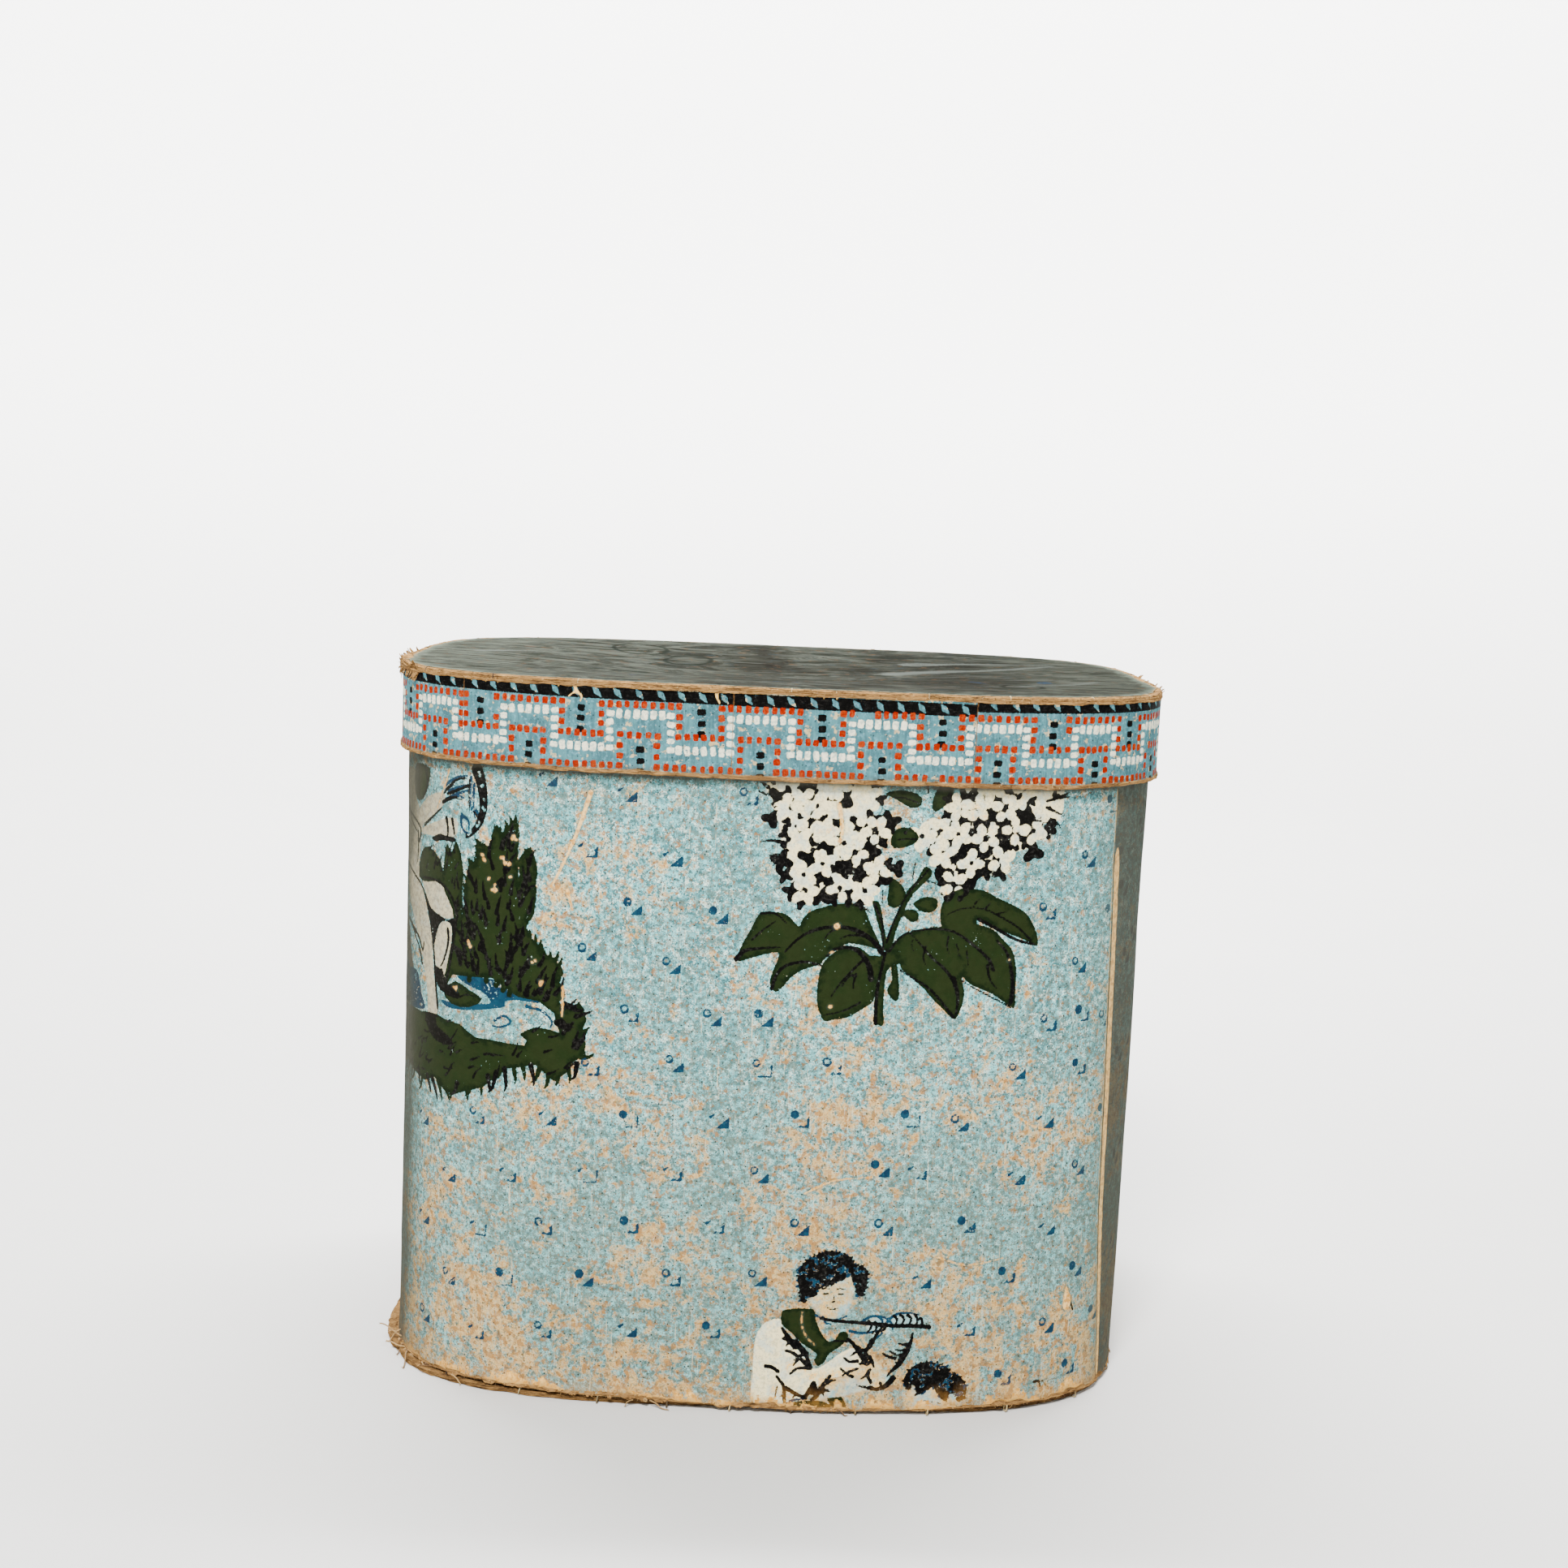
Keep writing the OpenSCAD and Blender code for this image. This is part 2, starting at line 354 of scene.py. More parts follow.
# ---------------------------------------------------------------- printed shapes
def sd_poly(x, y, pts):
    p = np.asarray(pts, float)
    best = np.full(x.shape, 1e9)
    inside = np.zeros(x.shape, bool)
    for (ax, ay), (bx, by) in zip(p, np.roll(p, -1, 0)):
        ex, ey = bx - ax, by - ay
        wx, wy = x - ax, y - ay
        t = np.clip((wx * ex + wy * ey) / max(ex * ex + ey * ey, 1e-9), 0, 1)
        best = np.minimum(best, (wx - t * ex) ** 2 + (wy - t * ey) ** 2)
        if ay != by:
            cross = ((ay <= y) & (by > y)) | ((by <= y) & (ay > y))
            inside ^= cross & (x < ax + (y - ay) / (by - ay) * ex)
    d = np.sqrt(best)
    return np.where(inside, d, -d)


def sd_stroke(x, y, pts, w0, w1=None):
    """A brush line whose half-width runs from w0 through to w1."""
    w1 = w0 if w1 is None else w1
    p = np.asarray(pts, float)
    best = np.full(x.shape, -1e9)
    n = len(p) - 1
    for i in range(n):
        (ax, ay), (bx, by) = p[i], p[i + 1]
        ex, ey = bx - ax, by - ay
        wx, wy = x - ax, y - ay
        t = np.clip((wx * ex + wy * ey) / max(ex * ex + ey * ey, 1e-9), 0, 1)
        w = w0 + (w1 - w0) * (i + t) / n
        best = np.maximum(best, w - np.hypot(wx - t * ex, wy - t * ey))
    return best


def sd_disc(x, y, cx, cy, rx, ry=None, turn=0.0):
    ry = rx if ry is None else ry
    c, s = math.cos(turn), math.sin(turn)
    px, py = (x - cx) * c + (y - cy) * s, -(x - cx) * s + (y - cy) * c
    return (1 - np.sqrt((px / rx) ** 2 + (py / ry) ** 2)) * min(rx, ry)


def sd_pad(x, y, cx, cy, hx, hy, r=0.8, turn=0.0):
    """A printed block with rounded corners."""
    c, s = math.cos(turn), math.sin(turn)
    px, py = (x - cx) * c + (y - cy) * s, -(x - cx) * s + (y - cy) * c
    qx, qy = np.abs(px) - hx + r, np.abs(py) - hy + r
    return -(np.hypot(np.maximum(qx, 0), np.maximum(qy, 0)) + np.minimum(np.maximum(qx, qy), 0) - r)


def rounded(pts, n=3, closed=True):
    """A smooth curve through given points."""
    p = np.asarray(pts, float)
    out = []
    m = len(p)
    for i in range(m if closed else m - 1):
        a, b, c, d = (p[(i + k) % m] if closed else p[min(max(i + k, 0), m - 1)] for k in (-1, 0, 1, 2))
        for t in np.arange(n) / n:
            out.append(0.5 * ((2 * b) + (c - a) * t + (2 * a - 5 * b + 4 * c - d) * t * t + (3 * b - a - 3 * c + d) * t**3))
    if not closed:
        out.append(p[-1])
    return np.array(out)


class Print:
    """Signed distances, in mm, to each ink's shapes over one sheet of paper."""

    REACH = 17.0

    def __init__(self, us, zs, U, Z, inks):
        self.us, self.zs, self.U, self.Z = us, zs, U, Z
        self.ink = {k: np.full(U.shape, -6.0, np.float32) for k in inks}
        self.at(0, 0)

    def at(self, ox, oz, flip=1, tilt=0.0):
        self.ox, self.oz, self.flip, self.tilt = ox, oz, flip, tilt
        return self

    def _window(self, pts, grow):
        p = np.asarray(pts, float)
        xs, ys = p[:, 0] * self.flip + self.ox, p[:, 1] + self.oz
        g = grow + self.REACH
        j0, j1 = np.searchsorted(self.us, [xs.min() - g, xs.max() + g])
        i0, i1 = np.searchsorted(self.zs, [ys.min() - g, ys.max() + g])
        if i1 - i0 < 2 or j1 - j0 < 2:
            return None
        return slice(i0, i1), slice(j0, j1)

    def put(self, ink, pts, fn, grow=4.0, cut=False):
        w = self._window(pts, grow)
        if w is None:
            return
        x, y = (self.U[w] - self.ox) * self.flip, self.Z[w] - self.oz
        d = np.clip(fn(x, y), -6, 6)
        f = self.ink[ink]
        f[w] = np.minimum(f[w], -d) if cut else np.maximum(f[w], d)

    def poly(self, ink, pts, soft=True, cut=False):
        p = rounded(pts, 2) if soft else np.asarray(pts, float)
        self.put(ink, p, lambda x, y: sd_poly(x, y, p), cut=cut)

    def line(self, ink, pts, w0, w1=None, cut=False):
        p = rounded(pts, 3, closed=False) if len(pts) > 2 else np.asarray(pts, float)
        self.put(ink, p, lambda x, y: sd_stroke(x, y, p, w0, w1), cut=cut)

    def disc(self, ink, cx, cy, rx, ry=None, turn=0.0, cut=False):
        self.put(ink, [(cx, cy)], lambda x, y: sd_disc(x, y, cx, cy, rx, ry, turn), max(rx, ry or 0) + 3, cut)

    def pad(self, ink, cx, cy, hx, hy, r=0.8, turn=0.0, cut=False):
        self.put(ink, [(cx, cy)], lambda x, y: sd_pad(x, y, cx, cy, hx, hy, r, turn), max(hx, hy) + 3, cut)


# outlines of the printed motifs, in mm along and up the paper
LEAVES = [
    [(51.0, 229.5), (48.0, 235.5), (44.5, 242.5), (42.0, 248.0), (39.0, 250.0), (34.0, 250.5), (27.0, 249.5), (22.0, 248.0), (17.0, 246.0), (13.5, 242.5), (12.0, 238.5), (9.0, 241.5), (5.0, 244.5), (1.0, 245.0), (-4.5, 245.0), (-7.0, 243.5), (-9.0, 239.5), (-11.5, 234.0), (-14.0, 229.5), (-16.5, 221.5), (-13.0, 221.5), (-7.5, 223.5), (-2.5, 225.0), (2.5, 226.0), (3.0, 223.5), (1.5, 219.5), (0.0, 215.0), (-0.5, 210.5), (2.0, 207.0), (5.0, 209.0), (8.5, 213.5), (12.5, 217.0), (18.0, 219.5), (23.0, 221.5), (27.0, 227.5), (31.5, 229.5), (35.5, 231.5), (43.0, 230.5), (48.5, 229.0), (51.5, 226.0)],
    [(51.0, 226.0), (45.5, 226.0), (40.0, 230.0), (31.5, 229.0), (26.0, 224.5), (23.0, 220.0), (22.0, 214.5), (21.5, 208.0), (22.0, 201.5), (23.5, 197.5), (25.5, 194.0), (30.5, 195.0), (36.0, 196.0), (41.0, 199.0), (45.5, 202.0), (48.0, 204.5), (49.5, 209.5), (50.0, 214.5), (51.0, 220.0)],
    [(50.0, 225.5), (49.5, 214.5), (49.0, 204.0), (48.5, 194.0), (51.0, 193.0), (53.5, 193.0), (53.0, 200.5), (53.0, 209.5), (53.5, 217.0), (55.0, 220.5), (59.5, 222.5), (59.0, 226.0), (54.5, 229.0)],
    [(55.5, 221.0), (56.5, 215.0), (54.5, 211.0), (54.5, 208.5), (56.5, 206.0), (58.5, 204.5), (60.0, 206.0), (60.0, 209.5), (59.5, 215.0), (58.5, 221.5)],
    [(54.5, 229.5), (58.5, 234.5), (65.0, 238.5), (72.5, 240.0), (78.5, 240.5), (84.0, 237.5), (89.0, 230.0), (91.5, 221.5), (89.5, 216.0), (91.0, 210.5), (90.5, 204.0), (88.5, 198.5), (87.0, 196.5), (84.5, 198.0), (81.0, 201.5), (76.5, 205.5), (71.5, 211.0), (66.0, 215.5), (60.5, 220.0), (58.5, 225.0)],
    [(78.5, 240.0), (77.5, 245.0), (77.5, 249.0), (79.5, 254.5), (84.5, 258.0), (91.0, 259.0), (95.5, 249.5), (95.0, 244.0), (96.0, 242.0), (103.0, 240.0), (107.5, 236.0), (112.5, 231.0), (115.0, 225.5), (116.0, 218.0), (116.0, 210.5), (116.0, 202.0), (110.5, 205.0), (104.5, 209.0), (98.0, 211.5), (91.0, 215.5), (86.0, 226.5), (81.5, 234.0)],
    [(79.5, 254.5), (84.5, 258.0), (91.0, 259.0), (98.5, 258.0), (104.0, 255.0), (111.0, 252.0), (118.0, 248.5), (122.0, 244.0), (125.5, 237.5), (126.0, 231.5), (121.5, 233.5), (114.5, 236.5), (107.5, 239.0), (100.5, 243.0), (95.5, 244.5), (89.5, 246.0), (83.0, 247.0)],
    [(51.5, 229.0), (54.0, 229.0), (52.0, 237.5), (50.0, 247.0), (48.5, 251.5), (45.5, 252.0), (45.5, 250.5), (47.5, 244.0), (50.0, 236.5)],
    [(53.5, 229.5), (55.5, 229.5), (57.0, 237.5), (60.5, 247.5), (64.5, 256.0), (72.5, 264.5), (71.5, 268.0), (68.5, 268.5), (65.5, 262.0), (61.5, 257.5), (58.0, 248.5), (54.0, 237.5)],
    [(53.0, 262.5), (55.5, 262.5), (59.0, 259.5), (61.0, 255.0), (59.5, 251.0), (56.0, 249.0), (52.5, 250.5), (52.5, 256.0)],
    [(66.5, 253.0), (69.5, 254.5), (73.5, 254.5), (76.0, 253.0), (75.5, 249.0), (72.0, 247.0), (67.5, 248.0), (64.5, 251.0)],
    [(59.5, 247.5), (64.5, 248.5), (67.5, 246.5), (67.0, 243.5), (64.5, 242.5), (61.0, 244.5)],
    [(52.5, 280.5), (54.0, 285.0), (58.0, 287.0), (62.5, 286.0), (65.5, 283.0), (64.5, 280.0), (59.5, 277.5), (54.0, 277.0)],
    [(49.0, 302.5), (55.0, 304.0), (61.5, 303.5), (66.0, 301.0), (65.5, 297.0), (61.0, 296.0), (55.5, 299.0), (51.0, 301.0)],
    [(75.0, 307.5), (81.0, 306.5), (79.0, 299.5), (73.0, 294.5), (71.0, 296.5), (71.5, 301.5)],
]
VEINS = [
    ([(-6.0, 244.0), (0.5, 244.5), (6.0, 240.0)], 0.7, 0.4),
    ([(1.0, 240.5), (-4.5, 236.5), (-9.5, 231.5)], 0.3, 0.6),
    ([(-16.5, 222.0), (-13.0, 226.0), (-6.0, 227.5), (4.5, 228.5)], 1.3, 0.3),
    ([(6.0, 226.5), (12.0, 233.0), (20.0, 237.5), (29.5, 239.0), (38.0, 238.0), (46.0, 233.5), (51.0, 227.5)], 0.5, 1.3),
    ([(23.5, 232.5), (26.5, 236.5), (30.0, 238.5)], 0.25, 0.6),
    ([(31.0, 233.5), (36.0, 235.5), (42.5, 235.0)], 0.3, 0.7),
    ([(0.5, 208.5), (2.5, 215.5), (7.0, 220.0), (15.5, 222.0), (23.0, 220.5)], 0.9, 0.6),
    ([(25.5, 225.0), (29.0, 228.5), (36.5, 229.5), (42.0, 226.0), (45.5, 220.5), (46.5, 215.0)], 0.6, 1.5),
    ([(28.0, 205.5), (32.0, 212.0), (37.0, 218.0), (42.0, 223.5)], 0.35, 0.7),
    ([(33.0, 211.0), (36.0, 215.5), (38.0, 216.5)], 0.3, 0.6),
    ([(38.5, 210.0), (38.5, 213.5), (39.5, 217.0)], 0.3, 0.7),
    ([(25.0, 197.0), (33.5, 199.0), (42.0, 203.5)], 0.35, 0.5),
    ([(49.5, 194.0), (49.5, 208.5), (51.5, 221.5), (53.0, 229.0)], 1.0, 0.6),
    ([(51.5, 229.0), (50.5, 241.0), (46.5, 250.5)], 0.5, 0.6),
    ([(53.0, 232.5), (55.0, 240.0), (61.0, 254.5), (71.0, 267.5)], 0.6, 0.4),
    ([(63.0, 238.0), (68.5, 232.5), (75.0, 225.5), (81.0, 220.5), (85.5, 215.0)], 0.3, 0.9),
    ([(71.5, 231.0), (70.5, 225.5), (72.5, 221.5)], 0.6, 0.25),
    ([(65.0, 234.0), (65.0, 230.5), (66.5, 228.5)], 0.4, 0.25),
    ([(63.5, 238.0), (74.5, 239.5), (84.0, 238.5), (93.0, 233.0), (101.5, 226.0), (104.5, 220.5)], 0.4, 0.9),
    ([(82.0, 236.0), (81.5, 231.0), (83.0, 227.5)], 0.55, 0.25),
    ([(86.0, 232.5), (88.0, 226.0)], 0.5, 0.25),
    ([(91.0, 229.5), (92.5, 220.5)], 0.5, 0.2),
    ([(101.5, 222.5), (103.0, 216.0), (106.5, 211.5)], 0.8, 0.3),
    ([(105.5, 234.5), (111.0, 228.0), (113.5, 219.5), (114.5, 212.0), (114.0, 205.0)], 0.6, 1.2),
    ([(60.0, 219.5), (67.0, 215.5), (76.0, 209.5), (86.5, 197.5)], 0.5, 0.7),
    ([(85.5, 216.0), (88.0, 207.5), (87.5, 199.0)], 1.3, 0.5),
    ([(81.0, 246.5), (88.0, 249.5), (98.0, 249.5), (107.0, 245.5), (115.0, 241.0), (122.5, 234.5)], 0.3, 0.6),
    ([(93.5, 251.5), (96.0, 254.5)], 0.5, 0.25),
    ([(99.0, 250.0), (101.5, 252.5)], 0.5, 0.25),
    ([(104.5, 247.0), (110.0, 248.5)], 0.5, 0.25),
    ([(96.0, 244.5), (105.0, 240.0), (114.5, 235.0), (124.0, 232.5)], 0.9, 0.7),
    ([(54.5, 228.5), (58.5, 234.5), (63.5, 238.0)], 0.7, 0.4),
    ([(89.5, 215.0), (100.0, 209.5), (114.0, 202.5)], 0.4, 0.5),
    ([(56.0, 281.0), (60.0, 281.5), (64.5, 281.5)], 0.4, 0.5),
    ([(53.0, 300.5), (58.0, 300.5), (64.5, 298.5)], 0.3, 0.5),
]
SPIKES = [
    ([(-1.0, 287.5), (-4.5, 288.5), (-6.0, 287.0)], 1.1, 0.2),
    ([(3.0, 277.5), (-2.5, 278.5), (-7.5, 277.5)], 1.2, 0.2),
    ([(7.0, 268.5), (1.5, 272.0), (-3.5, 271.5)], 0.9, 0.2),
    ([(7.0, 268.5), (1.0, 268.5), (-1.5, 266.5)], 0.8, 0.2),
    ([(2.5, 283.0), (5.5, 280.0)], 0.9, 0.5),
    ([(1.0, 298.0), (-3.0, 295.5), (-0.5, 294.0)], 0.7, 0.3),
    ([(-9.0, 301.0), (-5.0, 299.5)], 0.6, 0.5),
    ([(50.0, 257.0), (50.0, 250.5)], 0.4, 0.2),
    ([(39.5, 250.5), (45.0, 246.0)], 0.6, 0.4),
    ([(64.5, 270.5), (63.5, 262.0)], 0.4, 0.3),
    ([(70.0, 262.5), (76.0, 260.5)], 0.4, 0.4),
    ([(126.5, 297.5), (136.0, 293.5)], 0.8, 0.4),
    ([(126.5, 300.5), (131.0, 301.5), (138.5, 302.5)], 0.7, 0.4),
    ([(126.5, 288.5), (130.0, 285.5)], 1.0, 0.3),
    ([(118.0, 292.0), (124.5, 291.0)], 0.9, 0.3),
    ([(131.0, 291.5), (135.5, 287.0)], 0.8, 0.2),
    ([(128.0, 307.0), (139.0, 309.5)], 0.8, 0.2),
]
WHITES = [
    [(-10.0, 302.5), (-4.0, 293.0), (-2.5, 282.5), (0.0, 272.0), (1.5, 264.5), (5.5, 255.0), (11.5, 249.0), (15.5, 246.0), (22.0, 249.5), (32.5, 252.0), (39.0, 250.5), (43.0, 252.5), (49.0, 257.0), (52.0, 265.5), (57.5, 265.0), (57.5, 271.0), (51.5, 274.0), (52.0, 280.5), (54.0, 288.0), (50.5, 292.0), (46.0, 296.0), (49.0, 306.0), (49.0, 318.0), (40.0, 328.0), (24.0, 332.0), (8.0, 327.0), (-5.0, 316.0)],
    [(65.5, 289.5), (68.0, 286.5), (62.0, 275.5), (69.5, 274.5), (75.0, 269.5), (76.0, 261.0), (81.0, 257.5), (86.5, 258.0), (91.5, 261.5), (99.5, 263.0), (106.0, 264.5), (110.0, 272.5), (121.0, 275.0), (122.5, 283.0), (128.5, 287.5), (138.0, 292.5), (139.0, 302.5), (137.0, 314.0), (126.0, 325.0), (110.0, 331.0), (93.0, 326.0), (82.0, 314.0), (83.0, 306.0), (79.0, 296.5), (73.0, 292.0)],
]
FLOWERS = [(11.5, 297.5), (4.5, 294.0), (21.5, 268.5), (13.0, 263.0), (14.0, 255.5), (30.0, 257.5), (45.5, 285.0), (15.0, 288.5), (10.0, 279.0), (36.0, 274.5), (46.5, 266.5), (37.0, 285.5), (23.0, 297.5), (22.5, 283.5), (31.0, 278.5), (41.5, 256.5), (40.5, 300.5), (27.0, 305.0),
           (93.0, 297.0), (67.0, 283.0), (84.0, 284.5), (83.0, 261.0), (91.0, 271.0), (97.0, 283.0), (105.5, 272.5), (106.0, 297.0), (112.5, 302.5), (120.5, 286.5), (75.5, 285.5), (83.5, 296.5), (77.0, 275.0), (128.0, 297.0), (111.5, 286.5), (99.0, 306.5)]
DOTTED = {2, 3, 5, 6, 7, 9, 14, 19, 20, 21, 22, 25, 27, 31}
GAPS = [(0.0, 298.5), (5.0, 300.0), (13.5, 302.5), (8.5, 292.0), (18.5, 291.0), (14.5, 285.5), (4.5, 282.0), (30.0, 300.0), (-3.0, 288.5), (2.5, 269.0), (25.0, 276.0), (14.5, 270.5), (4.5, 262.5), (8.0, 255.0), (23.5, 262.5), (31.5, 267.0), (36.0, 271.5), (37.0, 287.5), (43.5, 289.5), (51.5, 289.0), (47.0, 280.5), (44.0, 276.0), (38.0, 265.0), (42.5, 260.0), (21.5, 253.5), (27.0, 253.0), (34.5, 254.0), (48.0, 262.0), (56.0, 267.5),
        (73.5, 286.5), (82.5, 291.0), (73.5, 278.0), (89.0, 292.5), (93.5, 287.0), (97.5, 292.5), (104.0, 294.5), (114.0, 296.0), (116.5, 292.5), (120.0, 290.5), (108.0, 302.5), (92.5, 303.0), (128.5, 287.5), (107.0, 286.0), (99.5, 281.0), (105.0, 278.5), (110.5, 282.0), (117.0, 282.0), (121.0, 276.5), (95.0, 276.5), (89.5, 277.5), (103.0, 275.5), (91.5, 264.5), (98.0, 267.0), (105.5, 267.0), (78.5, 267.5), (83.5, 273.0), (82.0, 258.0), (87.5, 260.0)]


def spray(pr, seed=1):
    """A spray of two flower heads over a fan of leaves."""
    for w in WHITES:
        w = rounded(w, 2)
        pr.put("cream", w, lambda x, y, w=w: sd_poly(x, y, w) - 3.6)
    flowers = list(FLOWERS)
    for cx, cz, r in ((22, 305, 26), (110, 305, 25)):  # the heads go on above the rim's edge
        for i in range(-4, 5):
            for j in range(0, 4):
                x, z = cx + 10.5 * i + 5.2 * (j % 2), 311 + 8.5 * j
                if (x - cx) ** 2 + (z - cz) ** 2 < r * r:
                    flowers.append((x + 2 * rand(i, j, seed), z + 2 * rand(j, i, seed)))
    petals = []
    for k, (x, z) in enumerate(flowers):
        a0 = 6.28 * rand(k, seed, 3)
        n = 5 if rand(k, 5) > 0.3 else 4
        for q in range(n):
            a = a0 + 2 * math.pi * q / n + 0.25 * (rand(k, q, 7) - 0.5)
            r = 3.9 + 0.6 * rand(k, q, 9)
            petals.append((x + r * math.cos(a), z + r * math.sin(a), 2.7 + 0.5 * rand(k, q, 11), a))
    for x, z, r, a in petals:
        pr.disc("cream", x, z, r * 1.15, r * 0.95, a)
    gaps = list(GAPS)
    for cx, cz, rr in ((22, 305, 27), (110, 305, 26)):
        for i in range(-5, 6):
            for j in range(0, 5):
                x, z = cx + 7.3 * i + 3.6 * (j % 2) + 2 * rand(i, j, 21), 309 + 6.2 * j + 2 * rand(i, j, 22)
                if (x - cx) ** 2 + (z - cz) ** 2 < rr * rr and rand(i, j, 23) > 0.25:
                    gaps.append((x, z))

    for k, (x, z) in enumerate(flowers):  # small notches between the petals
        a0 = 6.28 * rand(k, seed, 3)
        for q in range(5):
            if rand(k, q, 25) > 0.45:
                a = a0 + 2 * math.pi * (q + 0.5) / 5
                gaps.append((x + 6.3 * math.cos(a), z + 6.3 * math.sin(a)))

    def near_petals(x, y, gx, gz):
        d = np.full(x.shape, -9.0)
        for px, pz, r, a in petals:
            if abs(px - gx) < 11 and abs(pz - gz) < 11:
                d = np.maximum(d, sd_disc(x, y, px, pz, r * 1.15, r * 0.95, a))
        return d

    for k, (gx, gz) in enumerate(gaps):
        s = (3.2 + 1.4 * rand(k, seed, 31)) * (1.0 if k < len(GAPS) else 0.62)
        a0 = 6.28 * rand(k, 33)
        arms = 3 + (rand(k, 35) > 0.5)

        def blob(x, y, gx=gx, gz=gz, s=s, a0=a0, arms=arms):
            dx, dy = x - gx, y - gz
            r = np.hypot(dx, dy)
            a = np.arctan2(dy, dx)
            return s * (1 + 0.35 * np.cos(arms * (a - a0))) - r

        pr.put("ink", [(gx, gz)], lambda x, y, gx=gx, gz=gz, b=blob: np.minimum(b(x, y), -near_petals(x, y, gx, gz) * 0.9 + 0.55), 7)
    for k, (x, z) in enumerate(flowers):
        if k in DOTTED or (k > 33 and rand(k, 41) > 0.6):
            pr.disc("ink", x, z, 1.05 + 0.25 * rand(k, 43))
    for pts, a, b in SPIKES:
        pr.line("ink", pts, a, b)
    for k in range(16):  # black ticks round the edge of the heads
        cx, cz, r = (24, 292, 31) if k < 8 else (105, 294, 30)
        a = math.radians(150 + 9 * (k % 8)) if k < 8 else math.radians(-8 + 8 * (k % 8))
        x, z = cx + r * math.cos(a), cz + r * math.sin(a)
        if z > 300:
            pr.line("ink", [(x, z), (x + 4.5 * math.cos(a), z + 4.5 * math.sin(a) + 1)], 1.1, 0.2)
    for l in LEAVES:
        pr.poly("leaf", l)
    for pts, a, b in VEINS:
        pr.line("ink", pts, a, b)
    pr.line("ink", [(69, 303), (68, 310), (66, 322)], 0.5, 0.4)


BUSH = [(-154.5, 231.5), (-150.5, 238.5), (-152.0, 245.0), (-150.0, 252.0), (-149.0, 256.5), (-147.0, 257.0), (-144.5, 261.0), (-145.0, 267.5), (-141.5, 266.0), (-138.5, 265.5), (-136.0, 269.5), (-135.0, 276.0), (-132.5, 276.5), (-130.5, 270.0), (-129.5, 272.5), (-129.0, 277.0), (-124.5, 281.5), (-122.5, 276.0), (-123.0, 267.5), (-123.0, 259.0), (-122.5, 251.5), (-120.0, 255.0), (-121.0, 261.5), (-118.5, 266.0), (-116.0, 267.5), (-114.0, 263.0), (-113.0, 258.5), (-114.0, 252.0), (-113.0, 245.5), (-114.0, 238.0), (-119.0, 230.5), (-116.0, 227.0), (-110.5, 223.0), (-108.5, 219.0), (-102.5, 217.5), (-99.0, 212.5), (-101.0, 207.5), (-98.0, 201.0), (-99.5, 196.5), (-95.5, 193.0), (-90.0, 197.5), (-87.5, 194.5), (-86.0, 189.0), (-88.5, 182.0), (-86.0, 178.0), (-86.5, 172.5), (-92.5, 167.5), (-99.0, 181.5), (-102.0, 191.0), (-110.0, 196.0), (-120.5, 197.0), (-127.5, 200.5), (-135.0, 204.5), (-155.5, 203.0), (-159.0, 203.0), (-165.0, 194.0), (-167.5, 193.5), (-163.5, 205.5), (-159.5, 222.0)]
WATER = [(-156.0, 202.5), (-149.5, 204.5), (-140.0, 204.0), (-131.5, 203.5), (-125.0, 199.0), (-118.0, 197.5), (-111.0, 198.0), (-109.0, 195.0), (-120.5, 195.5), (-127.5, 194.0), (-127.5, 191.5), (-135.0, 189.5), (-142.5, 188.0), (-153.5, 186.5), (-163.0, 186.5), (-167.0, 189.5), (-156.5, 189.0), (-142.5, 191.0), (-135.0, 192.5), (-140.0, 197.0), (-148.0, 199.0)]
GROUND = [(-170.0, 181.5), (-162.5, 180.0), (-153.5, 179.5), (-149.0, 177.0), (-143.5, 174.5), (-134.5, 174.5), (-124.5, 174.0), (-116.5, 174.0), (-115.5, 176.5), (-119.5, 179.0), (-116.5, 181.0), (-111.0, 183.5), (-104.0, 183.0), (-99.0, 181.5), (-87.5, 181.0), (-86.0, 172.5), (-92.5, 167.5), (-93.5, 164.0), (-101.0, 158.0), (-110.5, 165.0), (-119.5, 163.0), (-126.5, 161.5), (-130.0, 156.0), (-134.0, 154.5), (-139.0, 150.5), (-147.0, 148.0), (-155.5, 144.5), (-163.5, 145.0), (-171.0, 150.0), (-179.5, 146.5), (-194.0, 149.0), (-209.0, 152.5), (-200.0, 163.5), (-195.5, 176.5), (-180.5, 181.0)]
ROCK = [(-165.5, 194.0), (-157.0, 200.0), (-148.0, 197.0), (-140.0, 193.5), (-148.0, 188.5), (-159.5, 188.5)]
LEG = [(-210.5, 270.5), (-213.0, 253.0), (-216.0, 238.5), (-199.0, 224.5), (-190.0, 209.0), (-184.0, 191.0), (-180.0, 179.0), (-172.0, 180.5), (-173.5, 198.5), (-178.0, 217.0), (-184.0, 231.5), (-188.0, 244.0), (-190.5, 257.0), (-195.5, 272.5)]
LEG2 = [(-168.0, 243.0), (-163.0, 240.0), (-161.5, 228.0), (-163.0, 214.0), (-168.0, 203.0), (-172.5, 206.0), (-173.5, 222.0), (-172.0, 236.0)]
HEDGES = [
    [(-190.0, 246.0), (-187.0, 258.5), (-178.5, 262.5), (-169.0, 256.5), (-166.0, 248.0), (-164.5, 243.0), (-171.5, 246.5), (-180.0, 245.0)],
    [(-167.0, 246.0), (-166.5, 257.0), (-164.5, 266.0), (-161.0, 262.0), (-158.5, 268.0), (-155.0, 262.5), (-153.0, 253.5), (-153.5, 245.0), (-153.5, 231.0), (-158.0, 226.5), (-160.0, 234.5), (-165.5, 242.0)],
]


